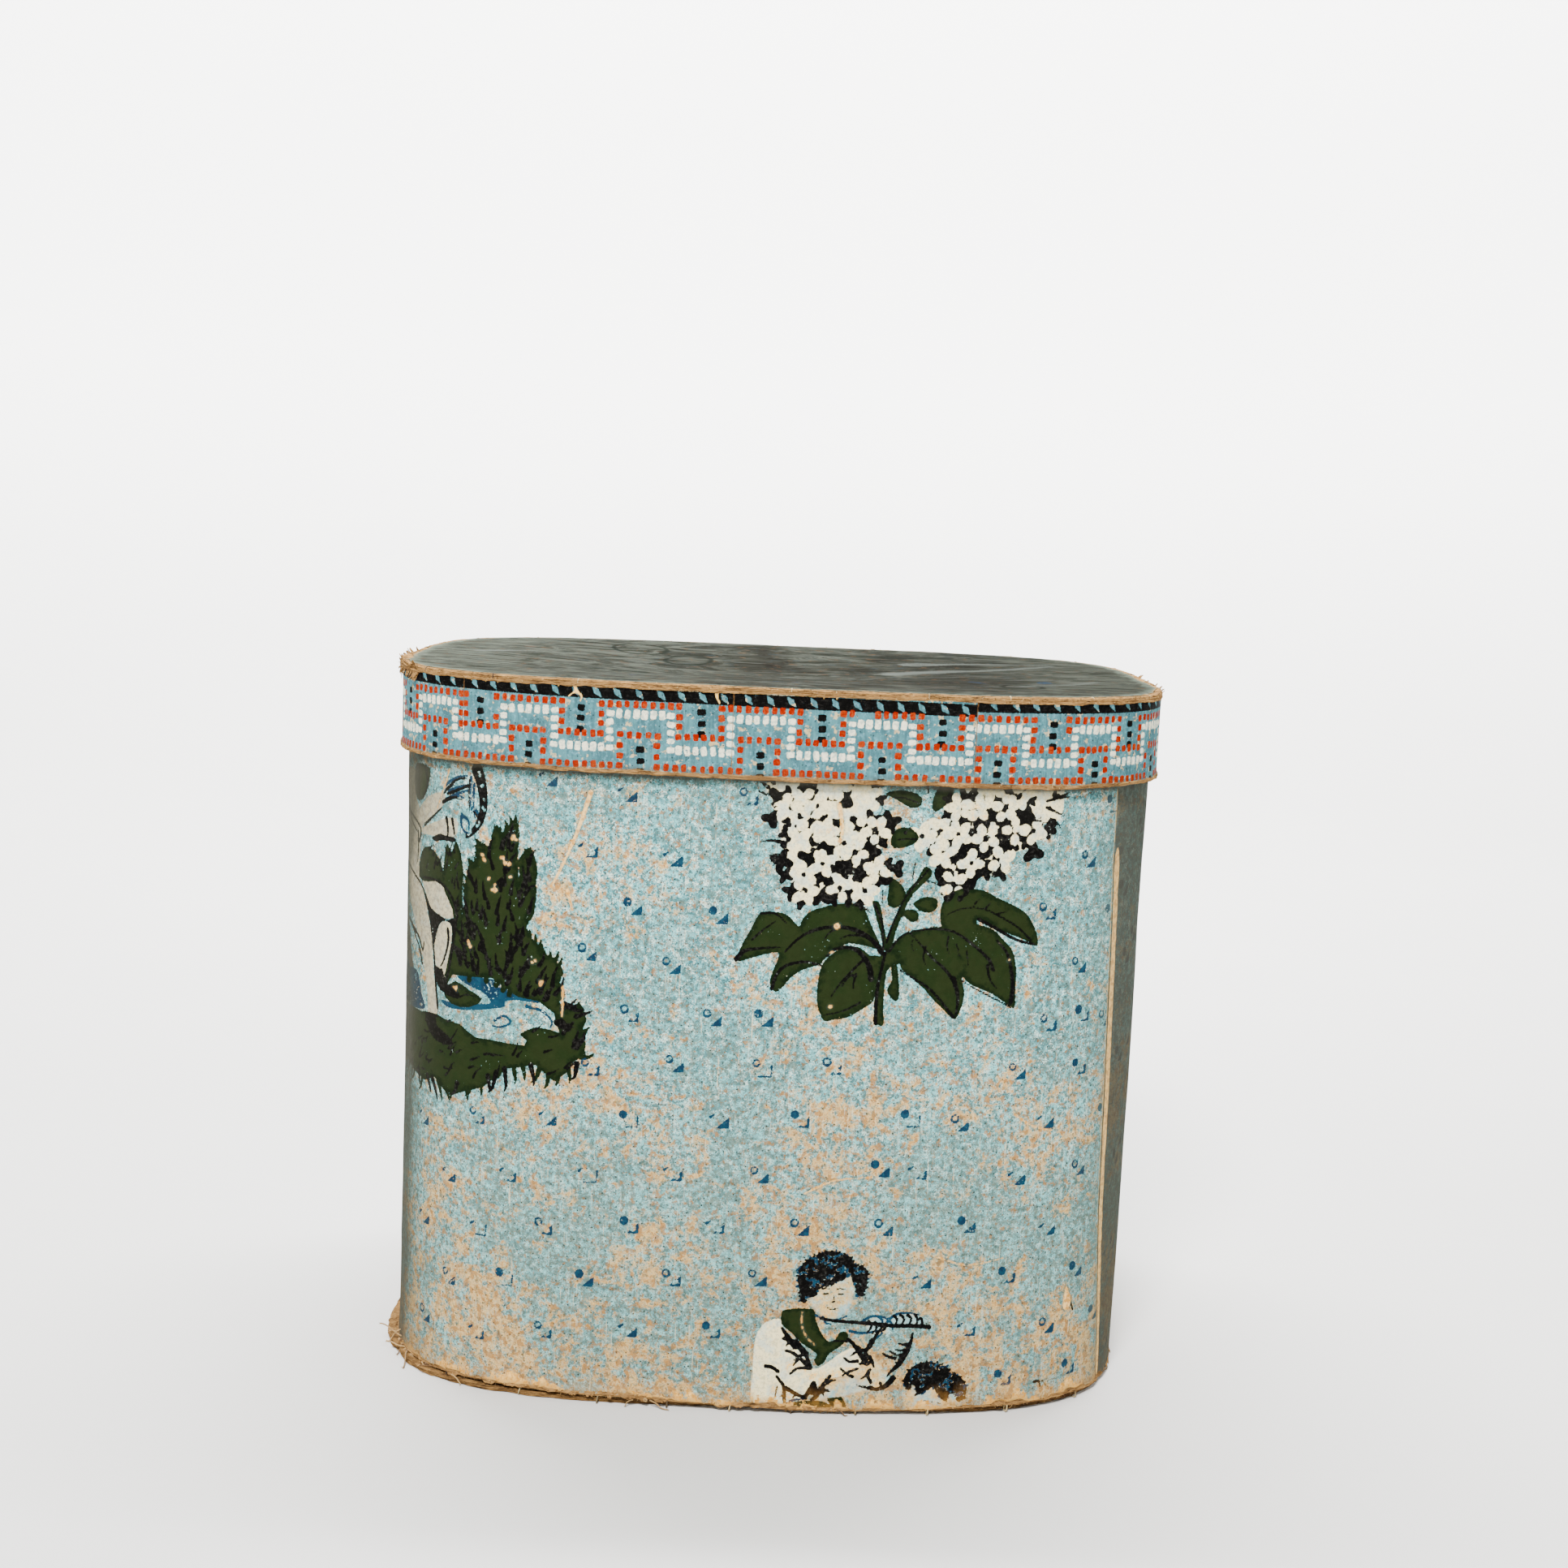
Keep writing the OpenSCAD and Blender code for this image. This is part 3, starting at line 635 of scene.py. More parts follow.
def grass(pr, pts, n, seed, inks=("ink", "leaf"), size=(4, 8), up=1.2):
    """Short brush strokes scattered over an area."""
    p = np.asarray(pts, float)
    lo, hi = p.min(0), p.max(0)
    k = made = 0
    while made < n and k < n * 12:
        x, z = lo[0] + (hi[0] - lo[0]) * rand(k, seed, 1), lo[1] + (hi[1] - lo[1]) * rand(k, seed, 2)
        k += 1
        if sd_poly(np.array([x]), np.array([z]), p)[0] < 0.6:
            continue
        a = up + 1.3 * (rand(k, seed, 4) - 0.5)
        s = size[0] + (size[1] - size[0]) * rand(k, seed, 5)
        bend = 0.5 * (rand(k, seed, 6) - 0.5)
        q = [(x, z), (x + 0.5 * s * math.cos(a), z + 0.5 * s * math.sin(a)), (x + s * math.cos(a + bend), z + s * math.sin(a + bend))]
        pr.line(inks[made % len(inks)], q, 0.75, 0.15)
        made += 1


def island(pr, seed=1):
    """A bank with a bush, a pool and a walker standing on it."""
    pr.poly("stone", [(-250, 240), (-222, 236), (-208, 222), (-200, 206), (-196, 196), (-214, 196), (-250, 200)])
    pr.poly("leaf", [(-250, 178), (-214, 178), (-184, 180), (-182, 164), (-196, 156), (-214, 150), (-250, 152)])
    pr.poly("water", [(-246, 212), (-222, 207), (-206, 200), (-199, 190), (-214, 188), (-246, 190)])
    pr.poly("leaf", BUSH, soft=False)
    for h in HEDGES:
        pr.poly("leaf", h)
    pr.poly("water", WATER)
    pr.line("water", [(-116, 193), (-108, 191.5), (-103, 187), (-104, 183.5)], 0.9, 0.4)
    pr.line("water", [(-133, 184), (-128, 187), (-124, 184.5), (-129, 181.5), (-134, 181.5)], 0.7, 0.5)
    pr.poly("leaf", GROUND, soft=False)
    pr.poly("leaf", ROCK)
    pr.line("ink", [(-164, 193), (-156, 192), (-150, 194.5), (-144, 194)], 0.6, 0.3)
    pr.line("ink", [(-160, 197), (-154, 197.5), (-149, 195.5)], 0.5, 0.3)
    for k in range(26):  # tufts along the ragged lower edge
        x = -205 + 4.6 * k
        z = float(np.interp(x, [-209, -194, -179, -163, -147, -134, -119, -101, -93], [152, 149, 147, 146, 149, 155, 163, 160, 165]))
        a = -2.3 + 1.6 * rand(k, seed, 51)
        s = 5 + 5 * rand(k, seed, 52)
        pr.line("leaf" if rand(k, 53) > 0.35 else "ink", [(x, z + 2.5), (x + s * 0.6 * math.cos(a), z + s * 0.6 * math.sin(a)), (x + s * math.cos(a - 0.2), z + s * math.sin(a - 0.2))], 1.5, 0.2)
    for k in range(14):  # leaves hanging over the right of the bank
        x, z = -101 + 14 * rand(k, 61), 166 + 30 * rand(k, 62)
        a = -0.9 + 1.9 * rand(k, 63)
        pr.line("leaf" if k % 3 else "ink", [(x, z), (x + 3.5 * math.cos(a), z + 3.5 * math.sin(a)), (x + 6.5 * math.cos(a + 0.3), z + 6.5 * math.sin(a + 0.3))], 1.6, 0.3)
    for k in range(len(BUSH)):
        (x0, z0), (x1, z1) = BUSH[k], BUSH[(k + 1) % len(BUSH)]
        for q in (0.15, 0.65):
            x, z = x0 + q * (x1 - x0), z0 + q * (z1 - z0)
            if z > 199 and -152 < x < -84:
                a = 1.45 + 0.012 * (-x - 126) + 0.9 * (rand(k, q, seed) - 0.5)
                m = 3.4 + 2.6 * rand(k, q, seed, 1)
                bx, bz = x - 1.6 * math.cos(a), z - 1.6 * math.sin(a)
                pr.line("leaf", [(bx, bz), (bx + 0.5 * m * math.cos(a), bz + 0.5 * m * math.sin(a)), (bx + m * math.cos(a + 0.2), bz + m * math.sin(a + 0.2))], 1.5, 0.25)
    for k in range(230):  # each tuft: a dark stroke, sometimes forked
        x, z = -154 + 68 * rand(k, seed, 31), 172 + 106 * rand(k, seed, 32)
        if sd_poly(np.array([x]), np.array([z]), np.array(BUSH, float))[0] < 1.6:
            continue
        a = 1.5 + 0.02 * (-x - 126) + 0.9 * (rand(k, seed, 33) - 0.5)
        m = 4.5 + 5.5 * rand(k, seed, 34)
        b = a + 0.5 * (rand(k, seed, 35) - 0.5)
        pr.line("ink", [(x, z), (x + 0.55 * m * math.cos(a), z + 0.55 * m * math.sin(a)), (x + m * math.cos(b), z + m * math.sin(b))], 1.25, 0.3)
        if k % 3 == 0:
            pr.line("ink", [(x, z), (x + 0.5 * m * math.cos(a + 0.7), z + 0.5 * m * math.sin(a + 0.7))], 1.0, 0.3)
    grass(pr, HEDGES[1], 14, seed + 2, ("ink",), (4, 7), 1.5)
    grass(pr, HEDGES[0], 9, seed + 3, ("ink",), (3, 6), 1.2)
    grass(pr, GROUND, 46, seed + 4, ("ink",), (4, 8), 0.5)
    for k, (x, z) in enumerate([(-140.5, 262.0), (-130.0, 262.0), (-128.0, 259.5), (-135.0, 248.0), (-124.5, 272.5), (-148.0, 219.0), (-113.0, 215.5), (-109.5, 204.5), (-156.5, 197.5), (-113.0, 194.5)]):
        for q in range(2 + k % 3):
            pr.disc("scuff", x + 2.6 * (rand(k, q, 36) - 0.5), z + 2.6 * (rand(k, q, 37) - 0.5), 0.6 + 0.5 * rand(k, q, 38), 0.5 + 0.3 * rand(k, q, 39), 3 * rand(k, q, 40))
    # the walker, a plain figure in a pale coat and trousers, holding a hoop
    pr.poly("water", [(-221.5, 192.0), (-199.5, 199.0), (-189.5, 198.0), (-185.0, 189.0), (-180.5, 182.5), (-189.0, 180.5), (-203.5, 179.5), (-221.5, 181.5)])
    pr.poly("cream", [(-221.5, 295.0), (-220.5, 282.5), (-213.0, 271.0), (-219.0, 258.5), (-210.5, 248.5), (-190.5, 252.0), (-188.0, 265.0), (-187.0, 272.5), (-190.5, 280.5), (-195.5, 286.0), (-194.5, 297.5)])
    pr.poly("leaf", [(-194.5, 301.0), (-179.0, 300.5), (-180.0, 293.0), (-183.5, 286.5), (-190.5, 283.0), (-195.5, 286.0), (-197.5, 293.5)])
    pr.line("ink", [(-183, 300), (-181, 292), (-186, 285)], 1.6, 0.6)
    pr.line("ink", [(-192, 298), (-190, 290), (-191, 284)], 0.9, 0.4)
    for p in ([(-184.0, 284.0), (-174.0, 289.0), (-166.5, 289.5), (-166.5, 285.0), (-173.5, 279.0), (-183.5, 273.0), (-188.5, 270.0), (-193.0, 275.5)], [(-188.5, 269.5), (-175.5, 274.5), (-165.0, 278.0), (-158.0, 278.5), (-157.0, 274.0), (-159.0, 270.0), (-169.0, 268.5), (-178.0, 268.0), (-185.5, 268.0)], [(-210.5, 248.5), (-210.5, 237.0), (-198.5, 226.5), (-190.5, 217.5), (-184.5, 208.0), (-180.5, 197.5), (-178.5, 188.0), (-177.5, 179.0), (-170.0, 180.5), (-170.5, 189.5), (-173.0, 199.0), (-174.5, 210.0), (-176.0, 221.0), (-180.0, 230.0), (-184.5, 239.5), (-189.0, 246.0), (-190.5, 252.0)], [(-185.5, 245.5), (-174.5, 247.0), (-167.0, 245.5), (-161.5, 242.0), (-158.0, 237.5), (-158.0, 231.5), (-163.0, 229.5), (-170.0, 230.5), (-177.0, 233.0), (-181.5, 238.5)], [(-176.5, 178.0), (-169.5, 179.5), (-168.5, 173.5), (-166.0, 166.0), (-170.0, 168.0), (-174.5, 171.0)]):
        pr.poly("cream", p)
    pr.poly("ink", [(-188.5, 243.5), (-181.5, 238.5), (-177.0, 233.0), (-170.0, 230.5), (-163.0, 229.0), (-157.5, 230.5), (-159.0, 219.0), (-162.5, 203.5), (-166.5, 193.5), (-169.5, 196.5), (-171.5, 205.5), (-173.5, 214.0), (-176.5, 223.5), (-180.5, 232.5), (-184.5, 239.5)])
    pr.poly("ink", [(-173.5, 212.0), (-172.0, 219.5), (-169.5, 225.5), (-166.0, 228.0), (-161.5, 227.5), (-160.0, 223.5), (-161.0, 212.5), (-163.0, 202.0), (-166.0, 195.5), (-167.5, 200.0), (-168.5, 203.5), (-171.0, 204.0)], cut=True)
    pr.poly("cream", [(-173.5, 212.0), (-172.0, 219.5), (-169.5, 225.5), (-166.0, 228.0), (-161.5, 227.5), (-160.0, 223.5), (-161.0, 212.5), (-163.0, 202.0), (-166.0, 195.5), (-167.5, 200.0), (-168.5, 203.5), (-171.0, 204.0)])
    pr.poly("ink", [(-177.5, 267.0), (-170.0, 270.0), (-166.0, 269.5), (-162.5, 269.5), (-158.0, 269.0), (-159.0, 267.0), (-167.0, 267.0), (-174.0, 265.5)], soft=False)
    for k, pts in enumerate([[(-183.5, 272.5), (-177.0, 276.5), (-168.5, 282.5)], [(-220.0, 277.5), (-199.5, 274.5), (-188.0, 270.0), (-189.5, 263.5)], [(-209.0, 278.0), (-203.5, 272.5), (-193.0, 268.0)], [(-191.5, 268.0), (-191.0, 260.5), (-192.0, 253.0)], [(-166.5, 290.0), (-164.5, 292.5), (-161.0, 294.5)], [(-167.5, 285.5), (-162.5, 288.0), (-157.5, 289.0)], [(-164.5, 292.0), (-158.5, 297.0), (-152.0, 298.5)], [(-162.5, 290.0), (-156.5, 292.5), (-151.0, 295.0)], [(-165.0, 278.0), (-164.0, 274.0), (-164.0, 270.0)], [(-161.0, 278.0), (-160.0, 274.0), (-159.5, 270.5)], [(-213.0, 250.0), (-188.5, 243.5), (-180.5, 234.0), (-176.0, 222.0), (-173.5, 210.0), (-172.0, 199.0), (-169.5, 184.5)], [(-206.5, 222.5), (-190.5, 217.0), (-184.5, 210.5), (-183.5, 214.5)], [(-163.0, 224.5), (-162.5, 218.0), (-165.5, 209.0), (-168.0, 205.5)], [(-157.5, 236.5), (-157.0, 230.0), (-159.0, 219.0), (-162.0, 203.5), (-166.0, 194.0)], [(-177.5, 179.0), (-169.5, 180.5)], [(-169.5, 201.0), (-167.0, 204.0), (-167.5, 200.0), (-166.0, 203.0)], [(-184.5, 246.5), (-175.0, 247.0), (-166.0, 245.0), (-159.5, 239.0), (-157.0, 231.5)]]):
        pr.line("ink", pts, (0.9, 0.6, 1.0)[k % 3], (0.45, 0.8, 0.5)[k % 3])
    for k, pts in enumerate([[(-165.5, 294.0), (-157.5, 298.5), (-151.5, 299.5)], [(-163.5, 291.0), (-156.0, 294.0), (-149.5, 295.5)], [(-161.0, 289.0), (-155.0, 291.5), (-150.5, 293.0)], [(-165.5, 287.0), (-158.5, 289.5), (-153.5, 289.0)], [(-154.5, 281.0), (-155.0, 277.0), (-153.0, 273.0), (-149.0, 272.5)], [(-149.0, 299.0), (-149.5, 290.5), (-148.5, 282.5)], [(-147.0, 296.0), (-147.5, 287.5), (-146.5, 280.0)], [(-146.0, 284.0), (-144.0, 281.5), (-145.0, 279.0)], [(-154.5, 280.5), (-150.5, 278.5), (-150.0, 274.0)]]):
        pr.line("blue", pts, 0.9, 0.5)
        if k % 2:
            pr.line("ink", [(x - 0.8, z - 1.2) for x, z in pts], 0.7, 0.3)
    pr.line("ink", [(-204.5, 223.0), (-195.5, 217.0), (-188.5, 211.0), (-185.0, 204.0)], 0.5, 0.9)
    pr.poly("ink", [(-181, 180), (-171.5, 181), (-170, 176), (-161, 172.5), (-158, 168.5), (-168, 168), (-176, 171.5)])
    pr.poly("ink", [(-173, 205), (-166, 203), (-163, 198), (-155, 195.5), (-155, 192.5), (-165, 193), (-171, 197)])
    hoop = [(-145.5, 303.0), (-143.5, 298.5), (-142.0, 292.5), (-141.5, 286.5), (-142.5, 281.0), (-145.5, 275.5), (-151.0, 271.0)]
    pr.line("ink", hoop, 3.4, 1.3)
    for k in range(12):
        i = k % (len(hoop) - 1)
        q = rand(k, 72)
        x, z = hoop[i][0] + q * (hoop[i + 1][0] - hoop[i][0]), hoop[i][1] + q * (hoop[i + 1][1] - hoop[i][1])
        pr.disc("ink", x + 1.8 * (rand(k, 71) - 0.5), z, 0.55 + 0.4 * rand(k, 73), 0.9, cut=True)
    # head and hat, calm and plain
    pr.poly("cream", [(-203, 313), (-190, 313), (-187, 322), (-189, 331), (-196, 335), (-203, 331), (-206, 322)])
    pr.poly("ink", [(-211, 330), (-205, 332), (-204, 341), (-189, 341), (-188, 332), (-182, 330), (-196, 327.5)])
    pr.line("ink", [(-200.2, 324.8), (-198.2, 325.1)], 0.35)
    pr.line("ink", [(-194.4, 325.1), (-192.4, 324.8)], 0.35)
    pr.line("ink", [(-196.3, 324), (-195.6, 320.6), (-196.9, 320.2)], 0.22)
    pr.line("ink", [(-198, 317.6), (-196.2, 317.2), (-194.4, 317.6)], 0.28)
    pr.line("ink", [(-205.5, 327), (-206.5, 320), (-204, 315)], 1.3, 0.6)


def curls(pr, outline_, n, seed, fringe=1.6):
    """A head of short curls: a dark mass with a tufted edge and blue lights among the locks."""
    pr.poly("ink", outline_)
    P = np.array(outline_, float)
    c, m = P.mean(0), len(P)
    for k in range(m * 2):
        p = P[k // 2] + (P[(k // 2 + 1) % m] - P[k // 2]) * (0.5 * (k % 2))
        o = p - c
        o = o / (np.linalg.norm(o) + 1e-6)
        q = p + o * fringe * (0.15 + 0.7 * rand(k, seed, 6)) + np.array([-o[1], o[0]]) * 1.2 * (rand(k, seed, 7) - 0.5)
        pr.line("blue" if k % 3 == 0 else "ink", [tuple(p - 0.8 * o), tuple(q)], 1.0, 0.45)
    lo, hi = P.min(0), P.max(0)
    made = k = 0
    while made < n and k < n * 14:
        x, z = lo[0] + (hi[0] - lo[0]) * rand(k, seed, 1), lo[1] + (hi[1] - lo[1]) * rand(k, seed, 2)
        k += 1
        if sd_poly(np.array([x]), np.array([z]), P)[0] < 0.9:
            continue
        b, r = 6.28 * rand(k, seed, 3), 1.0 + 0.9 * rand(k, seed, 4)
        q = [(x + r * math.cos(b + t), z + 0.85 * r * math.sin(b + t)) for t in (0.0, 0.8, 1.6, 2.3)]
        pr.line("ink", q, 0.55, 0.35, cut=True)
        pr.line("blue", q, 0.75, 0.40)
        made += 1


def piper(pr, seed=1):
    """A flute player, head and shoulders, with another curly head below: calm, plain faces."""
    pr.poly("cream", [(-1.5, 6.5), (-1.0, 17.0), (-1.0, 31.0), (0.5, 40.0), (4.5, 45.5), (11.0, 47.5), (12.0, 44.5), (17.0, 36.0), (23.0, 29.0), (27.5, 23.0), (33.0, 25.0), (39.0, 30.0), (46.0, 34.0), (50.0, 31.5), (51.5, 27.0), (48.5, 23.5), (44.0, 20.0), (36.5, 18.5), (30.0, 14.0), (25.0, 8.0), (15.5, 6.0), (5.5, 3.5)])
    pr.poly("pale", [(30.0, 14.0), (37.5, 18.5), (45.0, 20.0), (51.5, 27.0), (55.5, 28.5), (61.0, 24.0), (65.0, 19.5), (60.5, 13.5), (50.0, 12.0), (40.0, 8.5), (35.0, 7.0), (28.5, 8.0)])
    pr.poly("pale", [(26, 68), (25, 60), (26.5, 54), (31, 49.5), (37, 48.5), (42.5, 52), (45, 58), (45.5, 66), (40, 72), (31, 72)])
    curls(pr, [(18.5, 67.0), (19.0, 72.0), (21.0, 75.5), (24.0, 78.5), (28.0, 80.5), (31.5, 82.0), (36.5, 82.0), (40.5, 81.0), (43.5, 79.0), (45.5, 76.0), (49.0, 75.0), (51.5, 73.0), (52.0, 69.0), (51.5, 64.5), (50.0, 61.0), (48.0, 60.0), (47.5, 64.5), (46.0, 67.5), (43.0, 70.0), (39.0, 68.0), (35.5, 65.5), (30.5, 64.5), (28.0, 63.0), (27.0, 60.0), (25.0, 59.5), (23.0, 60.0), (22.0, 56.5), (20.5, 57.0), (20.0, 61.5)], 30, 3)
    pr.disc("ink", 43.0, 68.5, 1.2, 3.2, 0.3, cut=True)
    pr.disc("ink", 40.5, 73.5, 0.9, 1.6, 0.5, cut=True)
    # a calm, plain face
    pr.line("ink", [(31.0, 60.6), (33.4, 60.9)], 0.5, 0.4)
    pr.line("ink", [(38.4, 60.9), (40.8, 60.6)], 0.5, 0.4)
    pr.line("ink", [(30.2, 63.0), (32.2, 63.6), (34.0, 63.3)], 0.45, 0.35)
    pr.line("ink", [(37.8, 63.3), (39.6, 63.6), (41.6, 63.0)], 0.45, 0.35)
    pr.line("ink", [(35.9, 60.6), (36.7, 57.2), (35.3, 56.8)], 0.35, 0.35)
    pr.line("ink", [(33.4, 53.6), (35.8, 53.1), (38.2, 53.6)], 0.5, 0.35)
    pr.line("blue", [(28, 50), (32, 48.2), (38, 48.0), (43, 50)], 0.6, 0.4)
    # collar, waistcoat and the folds of the sleeves
    pr.poly("leaf", [(11.5, 50.5), (14.5, 52.5), (26.5, 53.0), (28.0, 48.0), (31.0, 41.0), (34.5, 37.0), (38.0, 38.0), (39.5, 41.5), (43.0, 42.0), (44.0, 38.5), (39.0, 33.5), (35.0, 30.5), (33.0, 26.5), (30.0, 24.5), (28.0, 27.5), (29.5, 30.5), (22.5, 35.0), (17.0, 40.5), (12.0, 44.5)])
    for pts in [[(4.5, 1.0), (9.0, 3.5), (17.5, 6.0), (25.0, 7.0), (33.0, 7.0), (37.0, 5.0), (37.0, 1.0), (28.5, 0.5), (17.5, 1.0), (8.0, 0.5)], [(34.5, 8.5), (42.0, 9.5), (44.0, 6.5), (46.0, 0.5), (40.5, 0.0), (38.0, 4.0)]]:
        pr.poly("leaf", pts, soft=False)
    pr.line("scuff", [(21.5, 51), (21.5, 45), (24, 39), (28, 35)], 0.3, 0.25)
    for pts, a, b in [([(12.0, 43.0), (14.5, 39.5), (17.5, 35.5)], 0.6, 1.5), ([(17.5, 36.0), (21.0, 33.0), (24.5, 29.0), (27.0, 23.5)], 1.6, 0.5), ([(14.5, 31.5), (18.0, 30.5), (22.5, 27.0), (26.5, 23.5)], 0.7, 1.3), ([(12.5, 37.5), (15.5, 36.5), (18.5, 33.5)], 0.4, 1.3), ([(19.0, 38.5), (21.0, 35.0), (25.0, 30.5)], 0.4, 0.8), ([(17.0, 20.0), (20.5, 23.0), (25.5, 23.0)], 0.5, 0.8), ([(5.0, 23.5), (8.0, 23.0), (11.0, 21.0)], 1.0, 1.0), ([(10.5, 18.5), (13.0, 15.5), (14.0, 14.0)], 0.6, 1.0), ([(14.5, 13.0), (14.5, 8.5), (15.0, 5.0)], 1.1, 0.7), ([(15.0, 13.0), (19.5, 10.5), (25.0, 8.0)], 1.2, 0.8), ([(25.0, 9.5), (27.0, 13.0), (28.5, 16.0), (29.5, 12.5)], 1.2, 1.0), ([(28.5, 14.0), (30.5, 10.5), (28.0, 7.5)], 1.7, 1.0), ([(30.0, 10.5), (33.5, 12.5), (36.0, 12.0)], 1.3, 0.5), ([(32.0, 13.0), (34.0, 16.5), (36.0, 19.5)], 1.3, 0.9), ([(35.0, 16.5), (37.5, 17.5), (39.5, 17.5)], 0.8, 0.3), ([(44.0, 38.5), (47.0, 35.5), (50.5, 30.5), (53.5, 26.5)], 0.8, 1.6), ([(53.0, 30.5), (52.5, 27.0), (50.0, 26.0)], 1.2, 0.6), ([(49.0, 35.0), (51.0, 33.0), (54.0, 34.0)], 0.5, 0.8), ([(55.0, 38.5), (53.5, 34.0), (52.0, 30.5)], 0.5, 1.0), ([(58.0, 42.0), (56.5, 38.5), (55.0, 34.5)], 0.9, 0.6), ([(54.5, 29.5), (56.0, 27.5), (57.0, 24.5)], 1.3, 0.4), ([(55.0, 23.0), (54.5, 19.5), (56.0, 17.0)], 0.7, 0.9), ([(51.0, 18.5), (53.5, 20.5), (55.0, 23.0)], 0.4, 0.9), ([(42.5, 29.0), (45.0, 27.0), (49.0, 27.5)], 0.5, 0.9), ([(41.0, 23.5), (44.0, 21.0), (47.0, 19.5)], 0.5, 0.8), ([(42.0, 20.0), (45.0, 22.0), (49.0, 23.5)], 0.4, 0.7), ([(49.0, 15.5), (52.0, 14.5), (56.5, 14.5)], 0.3, 0.8), ([(54.5, 14.0), (59.5, 13.5), (63.5, 15.5), (66.5, 19.0)], 0.7, 1.7), ([(61.0, 31.5), (63.5, 30.0), (67.0, 29.0)], 0.5, 0.9), ([(64.5, 32.5), (67.5, 31.0), (71.5, 31.0)], 0.4, 0.8), ([(75.0, 42.0), (74.5, 38.0), (73.0, 33.0), (70.5, 29.0)], 0.4, 1.6), ([(70.5, 29.0), (69.0, 26.0), (66.5, 23.5)], 1.8, 0.9), ([(67.0, 24.0), (65.5, 22.5), (63.5, 20.0)], 0.9, 0.4), ([(68.5, 36.5), (71.0, 36.0), (73.5, 36.5)], 0.4, 0.8), ([(67.0, 33.5), (70.0, 33.0), (73.0, 34.0)], 0.3, 0.8), ([(36.5, 37.0), (40.0, 37.5), (43.5, 37.0)], 0.4, 0.5), ([(11.0, 13.5), (10.5, 10.5), (10.0, 7.5)], 0.35, 0.25)]:
        pr.line("ink", pts, 0.85 * a + 0.15, 0.85 * b + 0.15)
        if a > 1.0 or b > 1.2:
            (x0, z0), (x1, z1) = pts[0], pts[-1]
            pr.line("ink", [((x0 + x1) / 2, (z0 + z1) / 2), ((x0 + x1) / 2 + 0.3 * (z1 - z0), (z0 + z1) / 2 - 0.3 * (x1 - x0))], 0.9, 0.25)
    # hands and flute
    pr.poly("pale", [(53, 42), (53, 47.5), (58, 50), (64, 48.5), (64, 43), (59, 41)])
    pr.poly("pale", [(65, 45), (66, 50.5), (72, 52), (79, 50), (80, 46)])
    pr.line("ink", [(30.5, 48.5), (36.0, 47.5), (44.0, 47.0), (52.5, 46.5), (65.5, 45.5), (74.5, 45.5), (83.0, 45.0)], 0.75, 1.15)
    for pts in [[(53.5, 47.5), (55.0, 45.0), (53.0, 42.0)], [(56.5, 47.0), (57.5, 44.5), (55.5, 41.5)], [(59.0, 46.5), (60.0, 44.5), (58.0, 42.0)], [(61.5, 46.5), (61.5, 44.0), (59.5, 42.5)], [(65.5, 50.5), (67.0, 48.5), (66.5, 45.5)], [(68.5, 51.0), (70.5, 49.0), (69.5, 45.5)], [(72.0, 51.0), (74.0, 49.0), (73.0, 45.5)], [(76.0, 51.0), (77.0, 48.5), (76.5, 45.5)], [(78.5, 49.5), (79.5, 47.5), (79.0, 45.5)]]:
        pr.line("ink", pts, 0.85, 0.45)
    for pts in [[(50.5, 47.5), (54.5, 50.0), (60.0, 50.0), (63.0, 48.5)], [(63.5, 49.0), (67.5, 51.5), (73.0, 52.0), (77.5, 51.0)], [(44.5, 42.5), (50.5, 41.5), (57.0, 42.5), (60.5, 43.5)], [(58.0, 50.0), (60.0, 48.0), (60.5, 45.5)], [(62.5, 47.5), (64.5, 47.0), (65.5, 43.5)], [(55.0, 37.5), (58.5, 40.0), (60.5, 42.0)], [(31.5, 49.0), (32.5, 46.5), (35.5, 45.5)], [(17.5, 6.5), (20.5, 7.5), (24.0, 7.5)]]:
        pr.line("blue", pts, 0.8, 0.45)
    # the second head
    pr.poly("pale", [(74, 2.5), (74, 12), (80, 16), (92, 16), (98, 10), (99, 2.5)])
    curls(pr, [(72.0, 16.0), (72.5, 19.5), (74.0, 23.0), (77.5, 26.0), (82.5, 27.5), (87.5, 27.0), (92.5, 25.0), (96.5, 21.5), (100.0, 19.5), (103.0, 15.0), (102.5, 9.0), (99.5, 8.0), (97.5, 12.5), (95.0, 11.5), (93.0, 8.0), (90.0, 9.5), (88.0, 14.0), (85.0, 15.0), (81.5, 12.0), (78.5, 11.5), (77.0, 16.0), (74.5, 17.5), (74.0, 14.0)], 20, 9, 1.3)
    pr.line("ink", [(81.5, 7.4), (83.7, 7.7)], 0.45, 0.35)
    pr.line("ink", [(88.6, 6.7), (90.8, 6.4)], 0.45, 0.35)
    pr.line("ink", [(86.2, 7.4), (86.9, 4.4)], 0.35, 0.3)


